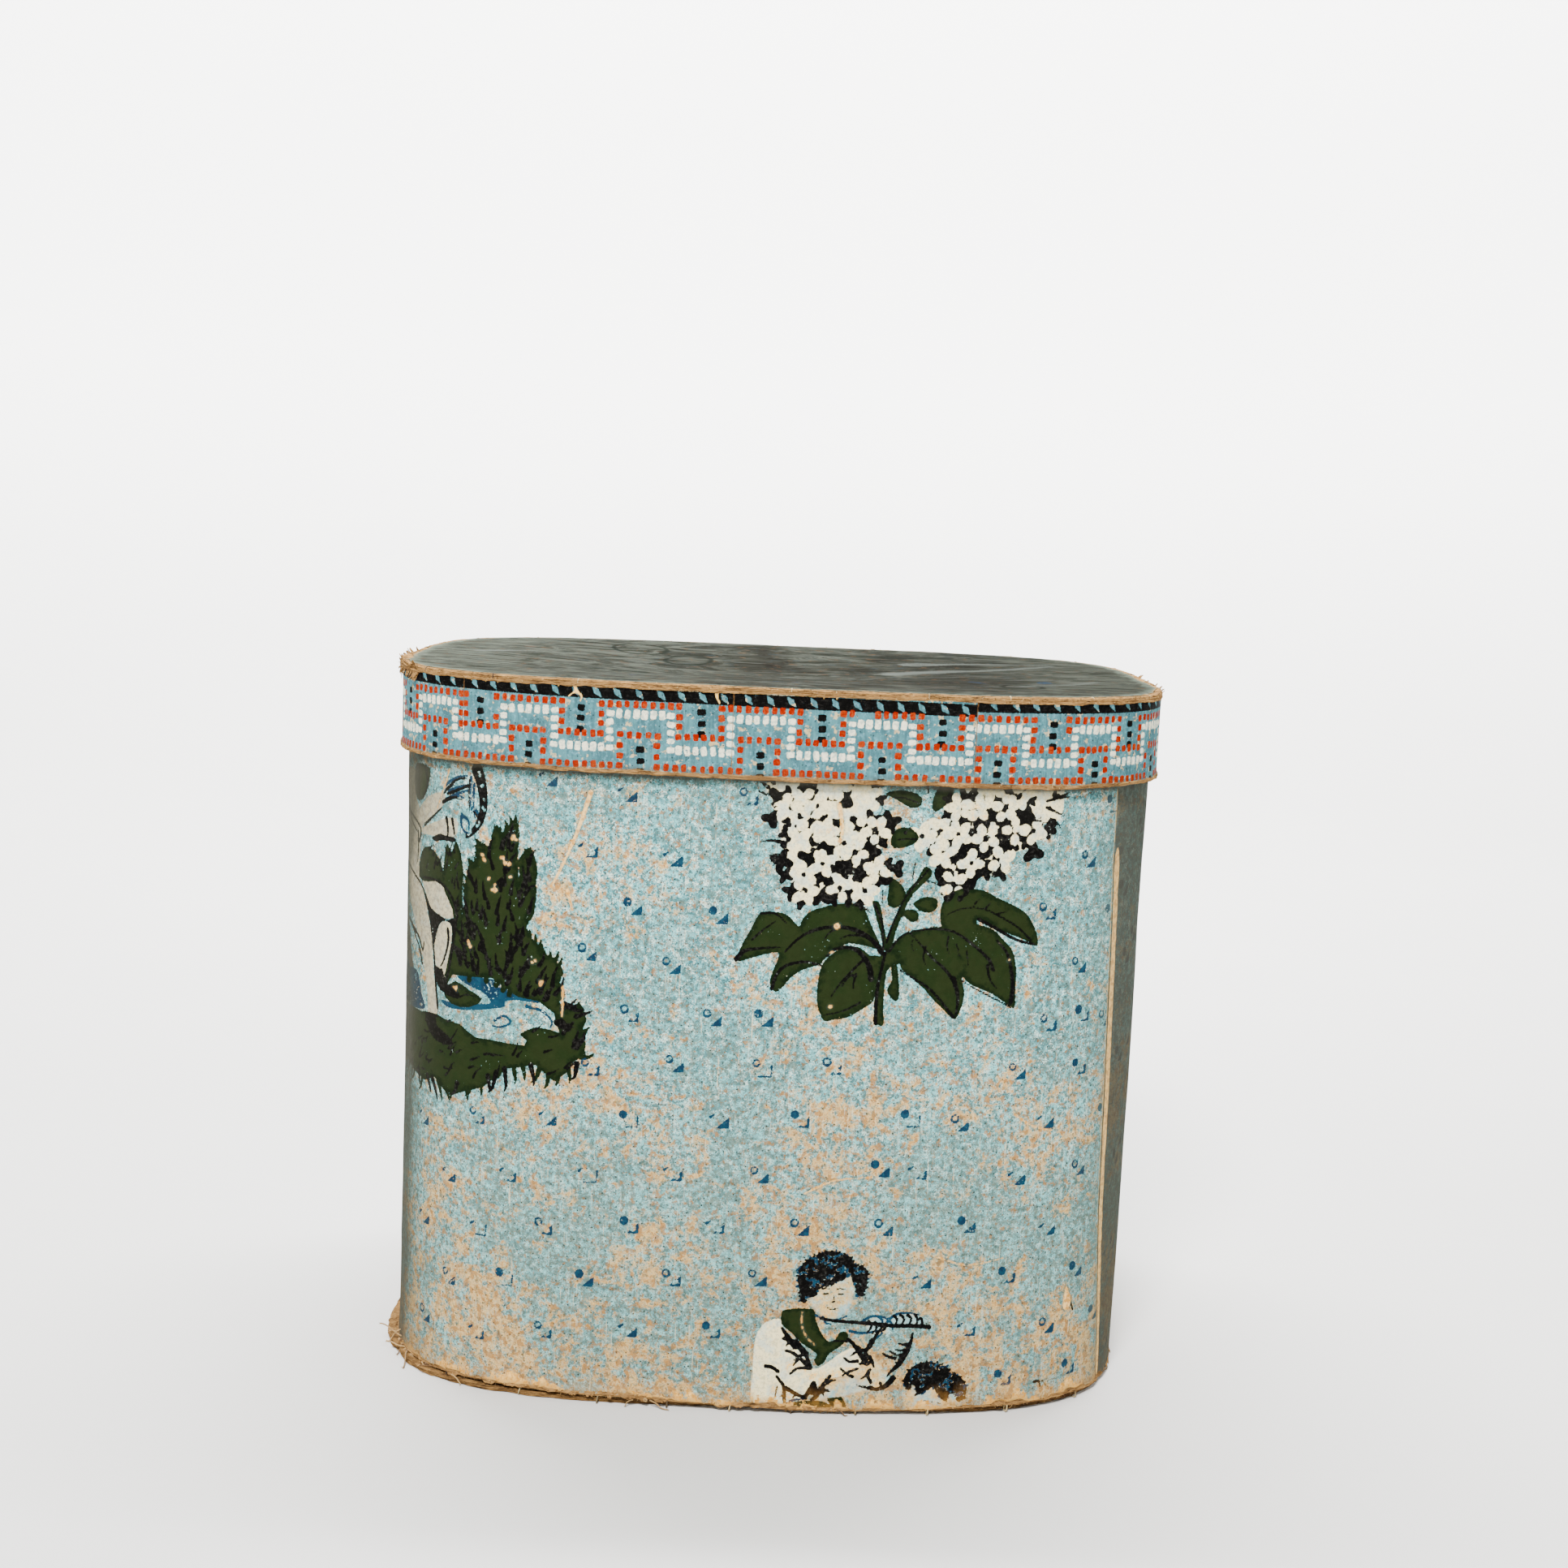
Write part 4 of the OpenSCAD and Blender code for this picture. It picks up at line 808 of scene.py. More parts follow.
SPRIGS_FRONT = [(-142, 136), (-104, 140), (-65, 142), (-22, 144), (16, 146), (-159, 104), (-124, 110), (-84, 114), (-43, 117), (-2, 118), (-140, 81), (-105, 86), (-63, 90), (-22, 92), (18, 93), (-158, 52), (-125, 58), (-84, 62), (-42, 65), (-1, 67), (-140, 28), (-104, 34), (-62, 38), (-22, 40), (-88, 270), (-48, 268), (-26, 242), (-87, 221), (-47, 217), (-27, 193), (-70, 297), (-14, 298), (-108, 302), (-66, 193), (-66, 244), (-44, 170), (-3, 170), (-84, 166),
                (130, 248), (154, 197), (134, 194), (150, 221), (179, 272), (166, 298), (152, 272), (119, 171), (154, 171), (170, 193), (188, 172), (136, 146), (122, 119), (174, 146), (194, 118), (158, 120), (141, 92), (161, 68), (144, 42), (192, 68), (58, 94), (98, 96), (78, 68), (120, 70), (101, 44), (121, 18), (30, 172), (-3, 194), (68, 148), (92, 146), (55, 123), (73, 122), (190, 221), (170, 245), (178, 42), (160, 18), (-178, 78), (-176, 28), (-180, 128)]


def sprig(pr, x, z, k):
    """A dot with a small wedge at its lower right, often half worn away."""
    x, z = x - 2.2, z + 2.4
    r = 1.95 + 0.35 * rand(k, 91)
    w = rand(k, 92)
    if w < 0.72:
        pr.disc("blue", x, z, r, r * 1.05)
        if w < 0.3:
            pr.disc("blue", x + 0.3 * (rand(k, 93) - 0.5), z + 0.2, r * 0.55, r * 0.5, cut=True)
    else:
        pr.line("blue", [(x - 1.6, z - 1), (x + 0.4, z + 0.4)], 0.8, 0.3)
    tx, tz = x + 4.4, z - 3.8
    v = rand(k, 94)
    s = 1.12 + 0.15 * (rand(k, 95) - 0.5)
    pts = [(tx + 2.5 * s, tz + 2.7 * s), (tx + 2.4 * s, tz - 2.1 * s), (tx - 2.9 * s, tz - 2.2 * s)]
    if v < 0.6:
        pr.poly("blue", pts, soft=False)
    elif v < 0.85:
        pr.poly("blue", pts, soft=False)
        pr.disc("blue", tx + 0.2, tz - 0.3, 1.5, 1.0, 0.7, cut=True)
    else:
        pr.line("blue", [pts[0], pts[1]], 0.6, 0.3)
        pr.line("blue", [pts[1], pts[2]], 0.35, 0.5)


def sprig_field(pr, x0, x1, keep_out, seed=0):
    """The small repeat over the rest of the paper, alternate rows set over by half."""
    for row in range(-1, 14):
        z = 14 + 26.3 * row
        col = math.floor((x0 - 20) / 40)
        while col * 40 < x1 + 20:
            x = col * 40 + (20 if row % 2 else 0) + 3 * (rand(row, col, seed) - 0.5)
            zz = z + 0.03 * (x - x0) % 6 + 3 * (rand(col, row, seed, 1) - 0.5)
            if not any(a < x < b and c < zz < d for a, b, c, d in keep_out) and zz < 338:
                sprig(pr, x, zz, row * 100 + col)
            col += 1


# ---------------------------------------------------------------- materials
class Tree:
    def __init__(self, name, dims="3D"):
        self.dims = dims
        self.mat = bpy.data.materials.new(name)
        self.mat.use_nodes = True
        self.nt = self.mat.node_tree
        self.nt.nodes.clear()
        out = self.nt.nodes.new("ShaderNodeOutputMaterial")
        self.bsdf = self.nt.nodes.new("ShaderNodeBsdfPrincipled")
        self.nt.links.new(self.bsdf.outputs[0], out.inputs[0])

    def put(self, value, socket):
        if isinstance(value, bpy.types.NodeSocket):
            self.nt.links.new(value, socket)
        elif isinstance(value, (tuple, list)):
            socket.default_value = (*value, 1.0) if len(socket.default_value) == 4 and len(value) == 3 else value
        else:
            socket.default_value = value

    def math(self, op, a, b=0.0, c=0.0, clamp=False):
        n = self.nt.nodes.new("ShaderNodeMath")
        n.operation, n.use_clamp = op, clamp
        for v, s in zip((a, b, c), n.inputs):
            self.put(v, s)
        return n.outputs[0]

    def add(self, *v):
        r = v[0]
        for x in v[1:]:
            r = self.math("ADD", r, x)
        return r

    def mul(self, *v):
        r = v[0]
        for x in v[1:]:
            r = self.math("MULTIPLY", r, x)
        return r

    def sub(self, a, b):
        return self.math("SUBTRACT", a, b)

    def inv(self, a):
        return self.math("SUBTRACT", 1.0, a)

    def smooth(self, x, lo, hi, a=0.0, b=1.0):
        n = self.nt.nodes.new("ShaderNodeMapRange")
        n.interpolation_type = "SMOOTHSTEP"
        for v, s in zip((x, lo, hi, a, b), n.inputs):
            self.put(v, s)
        return n.outputs[0]

    def linear(self, x, lo, hi, a=0.0, b=1.0):
        n = self.nt.nodes.new("ShaderNodeMapRange")
        n.clamp = True
        for v, s in zip((x, lo, hi, a, b), n.inputs):
            self.put(v, s)
        return n.outputs[0]

    def mix(self, fac, a, b, blend="MIX"):
        n = self.nt.nodes.new("ShaderNodeMix")
        n.data_type, n.blend_type = "RGBA", blend
        n.clamp_factor = True
        self.put(fac, n.inputs[0])
        self.put(a, n.inputs[6])
        self.put(b, n.inputs[7])
        return n.outputs[2]

    def attr(self, name, kind="Fac"):
        n = self.nt.nodes.new("ShaderNodeAttribute")
        n.attribute_name = name
        return n.outputs[kind]

    def place(self, vec, scale, turn=(0, 0, 0), shift=(0, 0, 0)):
        n = self.nt.nodes.new("ShaderNodeMapping")
        self.put(vec, n.inputs["Vector"])
        n.inputs["Location"].default_value = shift
        n.inputs["Rotation"].default_value = turn
        n.inputs["Scale"].default_value = scale
        return n.outputs[0]

    def noise(self, vec, size, detail=2.0, rough=0.5, bend=0.0, out=0):
        n = self.nt.nodes.new("ShaderNodeTexNoise")
        n.noise_dimensions = self.dims
        self.put(vec, n.inputs["Vector"])
        n.inputs["Scale"].default_value = 1.0 / size
        n.inputs["Detail"].default_value = detail
        n.inputs["Roughness"].default_value = rough
        n.inputs["Distortion"].default_value = bend
        return n.outputs[out]

    def cells(self, vec, size, feature="F1", rand_=1.0, out="Distance"):
        n = self.nt.nodes.new("ShaderNodeTexVoronoi")
        n.voronoi_dimensions = self.dims
        n.feature = feature
        self.put(vec, n.inputs["Vector"])
        n.inputs["Scale"].default_value = 1.0 / size
        n.inputs["Randomness"].default_value = rand_
        return n.outputs[out]

    def split(self, vec):
        n = self.nt.nodes.new("ShaderNodeSeparateXYZ")
        self.put(vec, n.inputs[0])
        return n.outputs[0], n.outputs[1], n.outputs[2]

    def shifted(self, vec, other, amount):
        """vec moved about by a noise colour."""
        a = self.nt.nodes.new("ShaderNodeVectorMath")
        a.operation = "SUBTRACT"
        self.put(other, a.inputs[0])
        a.inputs[1].default_value = (0.5, 0.5, 0.5)
        b = self.nt.nodes.new("ShaderNodeVectorMath")
        b.operation = "SCALE"
        self.put(a.outputs[0], b.inputs[0])
        b.inputs["Scale"].default_value = amount
        c = self.nt.nodes.new("ShaderNodeVectorMath")
        c.operation = "ADD"
        self.put(vec, c.inputs[0])
        self.put(b.outputs[0], c.inputs[1])
        return c.outputs[0]

    def object_mm(self):
        n = self.nt.nodes.new("ShaderNodeTexCoord")
        s = self.nt.nodes.new("ShaderNodeVectorMath")
        s.operation = "SCALE"
        self.nt.links.new(n.outputs["Object"], s.inputs[0])
        s.inputs["Scale"].default_value = 1000.0
        return s.outputs[0]

    def finish(self, color, rough, height=None, strength=0.4, distance=0.0003, specular=0.35, sheen=0.0):
        self.put(color, self.bsdf.inputs["Base Color"])
        self.put(rough, self.bsdf.inputs["Roughness"])
        self.bsdf.inputs["Specular IOR Level"].default_value = specular
        if sheen:
            self.bsdf.inputs["Sheen Weight"].default_value = sheen
        if height is not None:
            n = self.nt.nodes.new("ShaderNodeBump")
            n.inputs["Strength"].default_value = strength
            n.inputs["Distance"].default_value = distance
            self.put(height, n.inputs["Height"])
            self.nt.links.new(n.outputs[0], self.bsdf.inputs["Normal"])
        return self.mat


# albedos, linear
BLUE_MID = (0.052, 0.200, 0.225)
BLUE_PALE = (0.195, 0.545, 0.565)
BLUE_DEEP = (0.045, 0.190, 0.270)
GREYGREEN = (0.100, 0.160, 0.140)
TAN_PALE = (0.860, 0.530, 0.160)
TAN_MID = (0.450, 0.215, 0.045)
TAN_DEEP = (0.170, 0.080, 0.026)
BROWN = (0.070, 0.038, 0.016)
INK = (0.0032, 0.0031, 0.0030)
INK_WORN = (0.0130, 0.0125, 0.0115)
LEAF = (0.0050, 0.0105, 0.0040)
OLIVE = (0.0130, 0.0195, 0.0066)
PRUSSIAN = (0.0065, 0.0220, 0.0450)
POOL = (0.0090, 0.0400, 0.0680)
CREAM = (0.840, 0.740, 0.420)
CREAM_DIM = (0.450, 0.370, 0.220)
STONE = (0.050, 0.046, 0.037)
BORDER_BLUE = (0.068, 0.190, 0.212)
BORDER_DIM = (0.042, 0.110, 0.128)
ORANGE = (0.210, 0.0075, 0.0002)
ORANGE_WORN = (0.280, 0.034, 0.004)
LID_GREY = (0.0180, 0.0190, 0.0155)
LID_GREEN = (0.036, 0.040, 0.032)
LID_BROWN = (0.0070, 0.0060, 0.0045)
LID_PALE = (0.085, 0.096, 0.085)
LID_PINK = (0.130, 0.085, 0.058)
BOARD_PALE = (0.380, 0.215, 0.075)
BOARD_MID = (0.150, 0.078, 0.030)
BOARD_DEEP = (0.045, 0.025, 0.012)
THREAD = (0.560, 0.430, 0.210)
BUFF = (0.440, 0.330, 0.150)
BUFF_DEEP = (0.190, 0.130, 0.058)


def cover_material(name, grey=0.0):
    t = Tree(name, "2D")
    uz = t.attr("uz", "Vector")
    u, z, _ = t.split(uz)
    foot = t.attr("foot")
    big = t.noise(uz, 60.0, 2.0, 0.5)
    mid = t.noise(uz, 14.0, 4.0, 0.65)
    fine = t.noise(uz, 2.6, 4.0, 0.65)
    grain = t.noise(uz, 0.8, 2.0, 0.6)
    streaky = t.noise(t.place(uz, (1.0, 0.07, 1.0)), 2.2, 3.0, 0.6)
    # the painted ground: thin light-blue distemper over pale paper
    base = t.mix(t.smooth(t.add(t.mul(mid, 0.35), t.mul(fine, 0.65)), 0.41, 0.585), BLUE_MID, BLUE_PALE)
    base = t.mix(t.mul(t.smooth(grain, 0.5, 0.72), 0.5), base, (0.36, 0.66, 0.66))
    chalk = t.mul(t.smooth(t.add(t.mul(t.noise(uz, 5.0, 4.0, 0.72), 0.65), t.mul(grain, 0.35)), 0.520, 0.590), t.smooth(z, 30.0, 250.0, 0.30, 0.90))
    base = t.mix(chalk, base, (0.68, 0.86, 0.76))
    grime = t.smooth(t.add(t.mul(fine, 0.45), t.mul(t.noise(uz, 1.3, 4.0, 0.75), 0.55)), 0.498, 0.425)
    base = t.mix(t.mul(grime, 0.70), base, (0.036, 0.078, 0.076))
    # grey-green bloom in small blots, gathered into clouds
    cloud = t.add(t.smooth(big, 0.42, 0.56, 0.25, 0.95), grey)
    blot = t.smooth(t.noise(uz, 3.4, 5.0, 0.74, 0.6), 0.47, 0.60)
    base = t.mix(t.mul(blot, cloud, 0.85), base, GREYGREEN)
    base = t.mix(t.mul(t.smooth(t.noise(uz, 1.3, 3.0, 0.65), 0.52, 0.63), cloud, 0.65), base, (0.050, 0.105, 0.105))
    # tan paper showing through, more of it low down
    level = t.sub(t.sub(t.sub(0.574, t.mul(t.smooth(u, 60.0, 150.0), t.smooth(z, 250.0, 150.0), 0.014)), t.smooth(z, 250.0, 110.0, 0.0, 0.026)), t.smooth(z, 100.0, 6.0, 0.0, 0.070))
    level = t.add(level, t.mul(t.sub(big, 0.5), 0.34))
    mott = t.add(t.mul(t.noise(uz, 12.0, 5.0, 0.74, 0.3), 0.66), t.mul(fine, 0.34))
    tan = t.smooth(t.sub(mott, level), -0.035, 0.080)
    tan = t.mul(tan, t.smooth(t.add(t.mul(fine, 0.6), t.mul(grain, 0.4)), 0.40, 0.54, 0.50, 1.0))
    tan_col = t.mix(t.smooth(fine, 0.40, 0.66), TAN_PALE, TAN_MID)
    base = t.mix(t.mul(tan, 0.88), base, tan_col)
    # rusty centres and pin-head foxing
    rust = t.smooth(t.sub(t.add(t.mul(t.noise(uz, 4.0, 3.0, 0.6), 0.75), t.mul(mott, 0.25)), t.mul(t.sub(level, 0.5), 0.5)), 0.548, 0.600)
    base = t.mix(t.mul(rust, 0.72), base, (0.30, 0.125, 0.028))
    base = t.mix(t.mul(t.smooth(t.noise(uz, 2.2, 3.0, 0.6), 0.625, 0.68), 0.75), base, TAN_DEEP)
    # pale upright rubs and finer scratches
    rub = t.smooth(streaky, 0.60, 0.72)
    base = t.mix(t.mul(rub, t.smooth(mid, 0.46, 0.60), 0.40), base, (0.50, 0.66, 0.60))
    scr = t.smooth(t.noise(t.place(uz, (1.0, 0.035, 1.0), (0, 0, 0.55)), 1.1, 2.0, 0.5), 0.69, 0.73)
    base = t.mix(t.mul(scr, t.smooth(mid, 0.42, 0.56), 0.6), base, (0.66, 0.60, 0.40))
    # the whole lower half is mixed darker and yellower towards the bottom
    base = t.mix(t.smooth(z, 240.0, 70.0, 0.0, 0.20), base, (0.170, 0.135, 0.070))
    fleck = t.smooth(t.noise(uz, 4.6, 5.0, 0.78), 0.560, 0.640)
    base = t.mix(t.mul(fleck, t.smooth(z, 330.0, 120.0, 0.20, 0.52)), base, (0.058, 0.066, 0.046))
    # fine dark fissures that wander like worm tracks
    w1 = t.inv(t.smooth(t.math("ABSOLUTE", t.sub(t.noise(uz, 3.6, 2.0, 0.55, 1.0), 0.5)), 0.0, 0.018))
    w2 = t.inv(t.smooth(t.math("ABSOLUTE", t.sub(t.noise(uz, 7.0, 3.0, 0.6, 0.5), 0.54)), 0.0, 0.009))
    lines = t.math("MAXIMUM", t.mul(w1, t.smooth(mid, 0.44, 0.54)), t.mul(w2, 0.8))
    base = t.mix(t.mul(lines, 0.75), base, (0.034, 0.062, 0.058))
    # specks
    speck = t.inv(t.smooth(t.cells(uz, 6.5, "F1"), 0.045, 0.075))
    base = t.mix(t.mul(speck, 0.85), base, (0.018, 0.020, 0.020))
    # ---- printed colours, in the order the blocks were printed
    edge = t.mul(t.sub(t.noise(uz, 1.1, 3.0, 0.65), 0.5), 1.0)
    wear = t.add(t.mul(t.noise(uz, 1.6, 3.0, 0.65), 0.6), t.mul(mid, 0.4))

    def ink(key, color, base, hold=0.60, soft_=0.12, alpha=1.0):
        m = t.smooth(t.add(t.attr(key), edge), -soft_, soft_)
        m = t.mul(m, t.inv(t.smooth(wear, hold, hold + 0.04)), alpha)
        return t.mix(m, base, color), m

    base, m_pale = ink("pale", t.mix(t.smooth(mid, 0.42, 0.60), (0.34, 0.58, 0.60), TAN_PALE), base, 0.60, 0.8, 0.45)
    base, m_stone = ink("stone", t.mix(fine, STONE, (0.085, 0.078, 0.062)), base, 0.62)
    base, m_water = ink("water", t.mix(t.smooth(mid, 0.4, 0.6), POOL, PRUSSIAN), base, 0.60)
    cream = t.mix(t.smooth(t.noise(uz, 6.0, 3.0, 0.65), 0.42, 0.66), CREAM, (0.60, 0.64, 0.50))
    cream = t.mix(t.mul(tan, t.smooth(mid, 0.52, 0.66)), cream, TAN_PALE)
    cream = t.mix(t.mul(t.smooth(u, -125.0, -165.0), t.smooth(fine, 0.30, 0.62, 1.0, 0.70)), cream, (0.27, 0.235, 0.165))
    cream = t.mix(t.mul(grime, 0.35), cream, (0.22, 0.20, 0.14))
    base, m_cream = ink("cream", cream, base, 0.66, 0.2, 0.95)
    leafd = t.attr("leaf")
    body = t.smooth(t.add(leafd, t.mul(t.sub(t.noise(uz, 4.0, 4.0, 0.7), 0.5), 9.0)), 0.3, 3.0)
    leaf = t.mix(body, LEAF, t.mix(t.smooth(mid, 0.42, 0.60), OLIVE, (0.0105, 0.0185, 0.0060)))
    base, m_leaf = ink("leaf", leaf, base, 0.675)
    base, m_blue = ink("blue", t.mix(t.smooth(fine, 0.40, 0.65), PRUSSIAN, (0.0100, 0.0420, 0.0720)), base, 0.615)
    base, m_ink = ink("ink", t.mix(t.smooth(wear, 0.50, 0.62), INK, INK_WORN), base, 0.665)
    # chips down to the tan board, scuffs and stains drawn on the sheet
    tan_line = t.smooth(t.add(t.attr("scuff"), t.mul(t.sub(fine, 0.5), 2.0)), -0.35, 0.25)
    rim_line = t.mul(t.smooth(t.attr("scuff"), -1.1, -0.2), t.inv(tan_line))
    base = t.mix(t.mul(rim_line, 0.35), base, (0.030, 0.050, 0.045))
    base = t.mix(t.mul(tan_line, 0.88), base, t.mix(t.smooth(fine, 0.40, 0.62), (0.880, 0.560, 0.190), (0.500, 0.240, 0.055)))
    stain = t.attr("stain")
    ring = t.inv(t.smooth(t.math("ABSOLUTE", t.add(stain, t.mul(t.sub(mid, 0.5), 3.0))), 0.10, 0.60))
    base = t.mix(t.mul(ring, t.smooth(fine, 0.40, 0.58), 0.55), base, (0.065, 0.110, 0.100))
    # the torn foot: ground away to board
    torn = t.inv(t.smooth(t.add(foot, t.mul(t.sub(mid, 0.5), 20.0), t.mul(t.sub(fine, 0.5), 8.0)), 0.6, 2.2))
    base = t.mix(torn, base, t.mix(t.smooth(fine, 0.35, 0.65), TAN_MID, TAN_PALE))
    base = t.mix(t.mul(t.smooth(foot, 14.0, 0.0), t.smooth(mid, 0.40, 0.60), 0.32), base, TAN_MID)
    base = t.mix(t.mul(t.smooth(foot, 4.0, 0.0), t.smooth(fine, 0.40, 0.60), 0.5), base, BROWN)
    join = t.attr("join")
    side = t.smooth(t.add(join, t.mul(t.sub(fine, 0.5), 2.2)), 1.0, 0.0)
    base = t.mix(t.mul(side, 0.7), base, tan_col)
    base = t.mix(t.mul(t.smooth(join, 20.0, 0.0), 0.30), base, GREYGREEN)
    # painted shade and shadow: darkens the sheet's ends and a band just under the lid's rim
    base = t.mix(t.attr("painted_shade"), base, (0.046, 0.046, 0.036))
    height = t.add(t.mul(t.noise(uz, 5.0, 2.0, 0.6), 0.7), t.mul(t.noise(uz, 0.9, 2.0, 0.6), 0.16))
    rough = t.add(t.linear(t.math("MAXIMUM", m_ink, m_leaf), 0.0, 1.0, 0.82, 0.58), t.mul(t.sub(fine, 0.5), 0.25))
    return t.finish(base, rough, height, 1.0, 0.0009, 0.001)


def border_material(name):
    t = Tree(name, "2D")
    uz = t.attr("uz", "Vector")
    foot, top = t.attr("foot"), t.attr("top")
    mid = t.noise(uz, 10.0, 3.0, 0.6)
    fine = t.noise(uz, 2.0, 4.0, 0.65)
    tall = t.noise(t.place(uz, (1.0, 0.12, 1.0)), 1.8, 3.0, 0.6)
    base = t.mix(t.smooth(t.add(t.mul(mid, 0.5), t.mul(tall, 0.5)), 0.36, 0.62), BORDER_BLUE, BORDER_DIM)
    base = t.mix(t.mul(t.smooth(fine, 0.50, 0.70), 0.55), base, (0.13, 0.33, 0.40))
    base = t.mix(t.mul(t.smooth(t.noise(uz, 4.0, 3.0, 0.6), 0.60, 0.68), 0.45), base, TAN_PALE)
    w1 = t.inv(t.smooth(t.math("ABSOLUTE", t.sub(t.noise(t.place(uz, (1.0, 0.6, 1.0)), 3.0, 2.0, 0.55, 1.0), 0.5)), 0.0, 0.016))
    fissure = t.mul(w1, t.smooth(mid, 0.42, 0.54))
    base = t.mix(t.mul(fissure, 0.65), base, (0.016, 0.042, 0.055))
    base = t.mix(t.mul(t.inv(t.smooth(t.cells(uz, 5.0, "F1"), 0.05, 0.09)), 0.7), base, INK_WORN)
    edge = t.mul(t.sub(t.noise(uz, 0.9, 3.0, 0.65), 0.5), 0.9)
    wear = t.add(t.mul(t.noise(uz, 1.3, 3.0, 0.7), 0.6), t.mul(mid, 0.4))

    def ink(key, color, base, hold, soft_=0.10, alpha=1.0):
        m = t.smooth(t.add(t.attr(key), edge), -soft_, soft_)
        m = t.mul(m, t.inv(t.smooth(wear, hold, hold + 0.05)), alpha)
        return t.mix(m, base, color), m

    base, m_w = ink("white", t.mix(t.smooth(fine, 0.45, 0.65), (0.80, 0.76, 0.58), (0.44, 0.50, 0.41)), base, 0.635, 0.15, 0.95)
    base, m_k = ink("ink", t.mix(t.smooth(t.noise(t.place(uz, (1.0, 3.0, 1.0)), 3.0, 3.0, 0.7), 0.52, 0.72), INK, INK_WORN), base, 0.68)
    base, m_o = ink("orange", t.mix(t.smooth(wear, 0.46, 0.60), ORANGE, ORANGE_WORN), base, 0.66)
    base, m_s = ink("scrap", t.mix(t.smooth(mid, 0.48, 0.55), (0.75, 0.66, 0.42), (0.03, 0.10, 0.035)), base, 0.60)
    torn = t.inv(t.smooth(t.add(t.math("MINIMUM", foot, top), t.mul(t.sub(fine, 0.5), 3.0)), -0.25, 0.7))
    base = t.mix(torn, base, t.mix(t.smooth(fine, 0.3, 0.7), BOARD_MID, TAN_PALE))
    base = t.mix(t.mul(t.smooth(foot, 4.0, 0.0), 0.35), base, BROWN)
    side = t.smooth(t.add(t.attr("join"), t.mul(t.sub(fine, 0.5), 0.9)), 0.5, 0.0)
    base = t.mix(t.mul(side, 0.6), base, TAN_DEEP)
    crack = t.smooth(t.add(t.attr("crack"), t.mul(t.sub(fine, 0.5), 1.2)), -0.3, 0.1)
    base = t.mix(t.mul(crack, 0.9), base, TAN_PALE)
    height = t.add(t.mul(t.noise(t.place(uz, (1.0, 0.16, 1.0)), 2.0, 2.0, 0.6), 0.9), t.mul(t.noise(uz, 0.9, 2.0), 0.15))
    rough = t.add(t.linear(t.math("MAXIMUM", m_k, t.mul(m_o, 0.5)), 0.0, 1.0, 0.72, 0.40), t.mul(t.sub(fine, 0.5), 0.3))
    return t.finish(base, rough, height, 1.0, 0.0008, 0.0015)


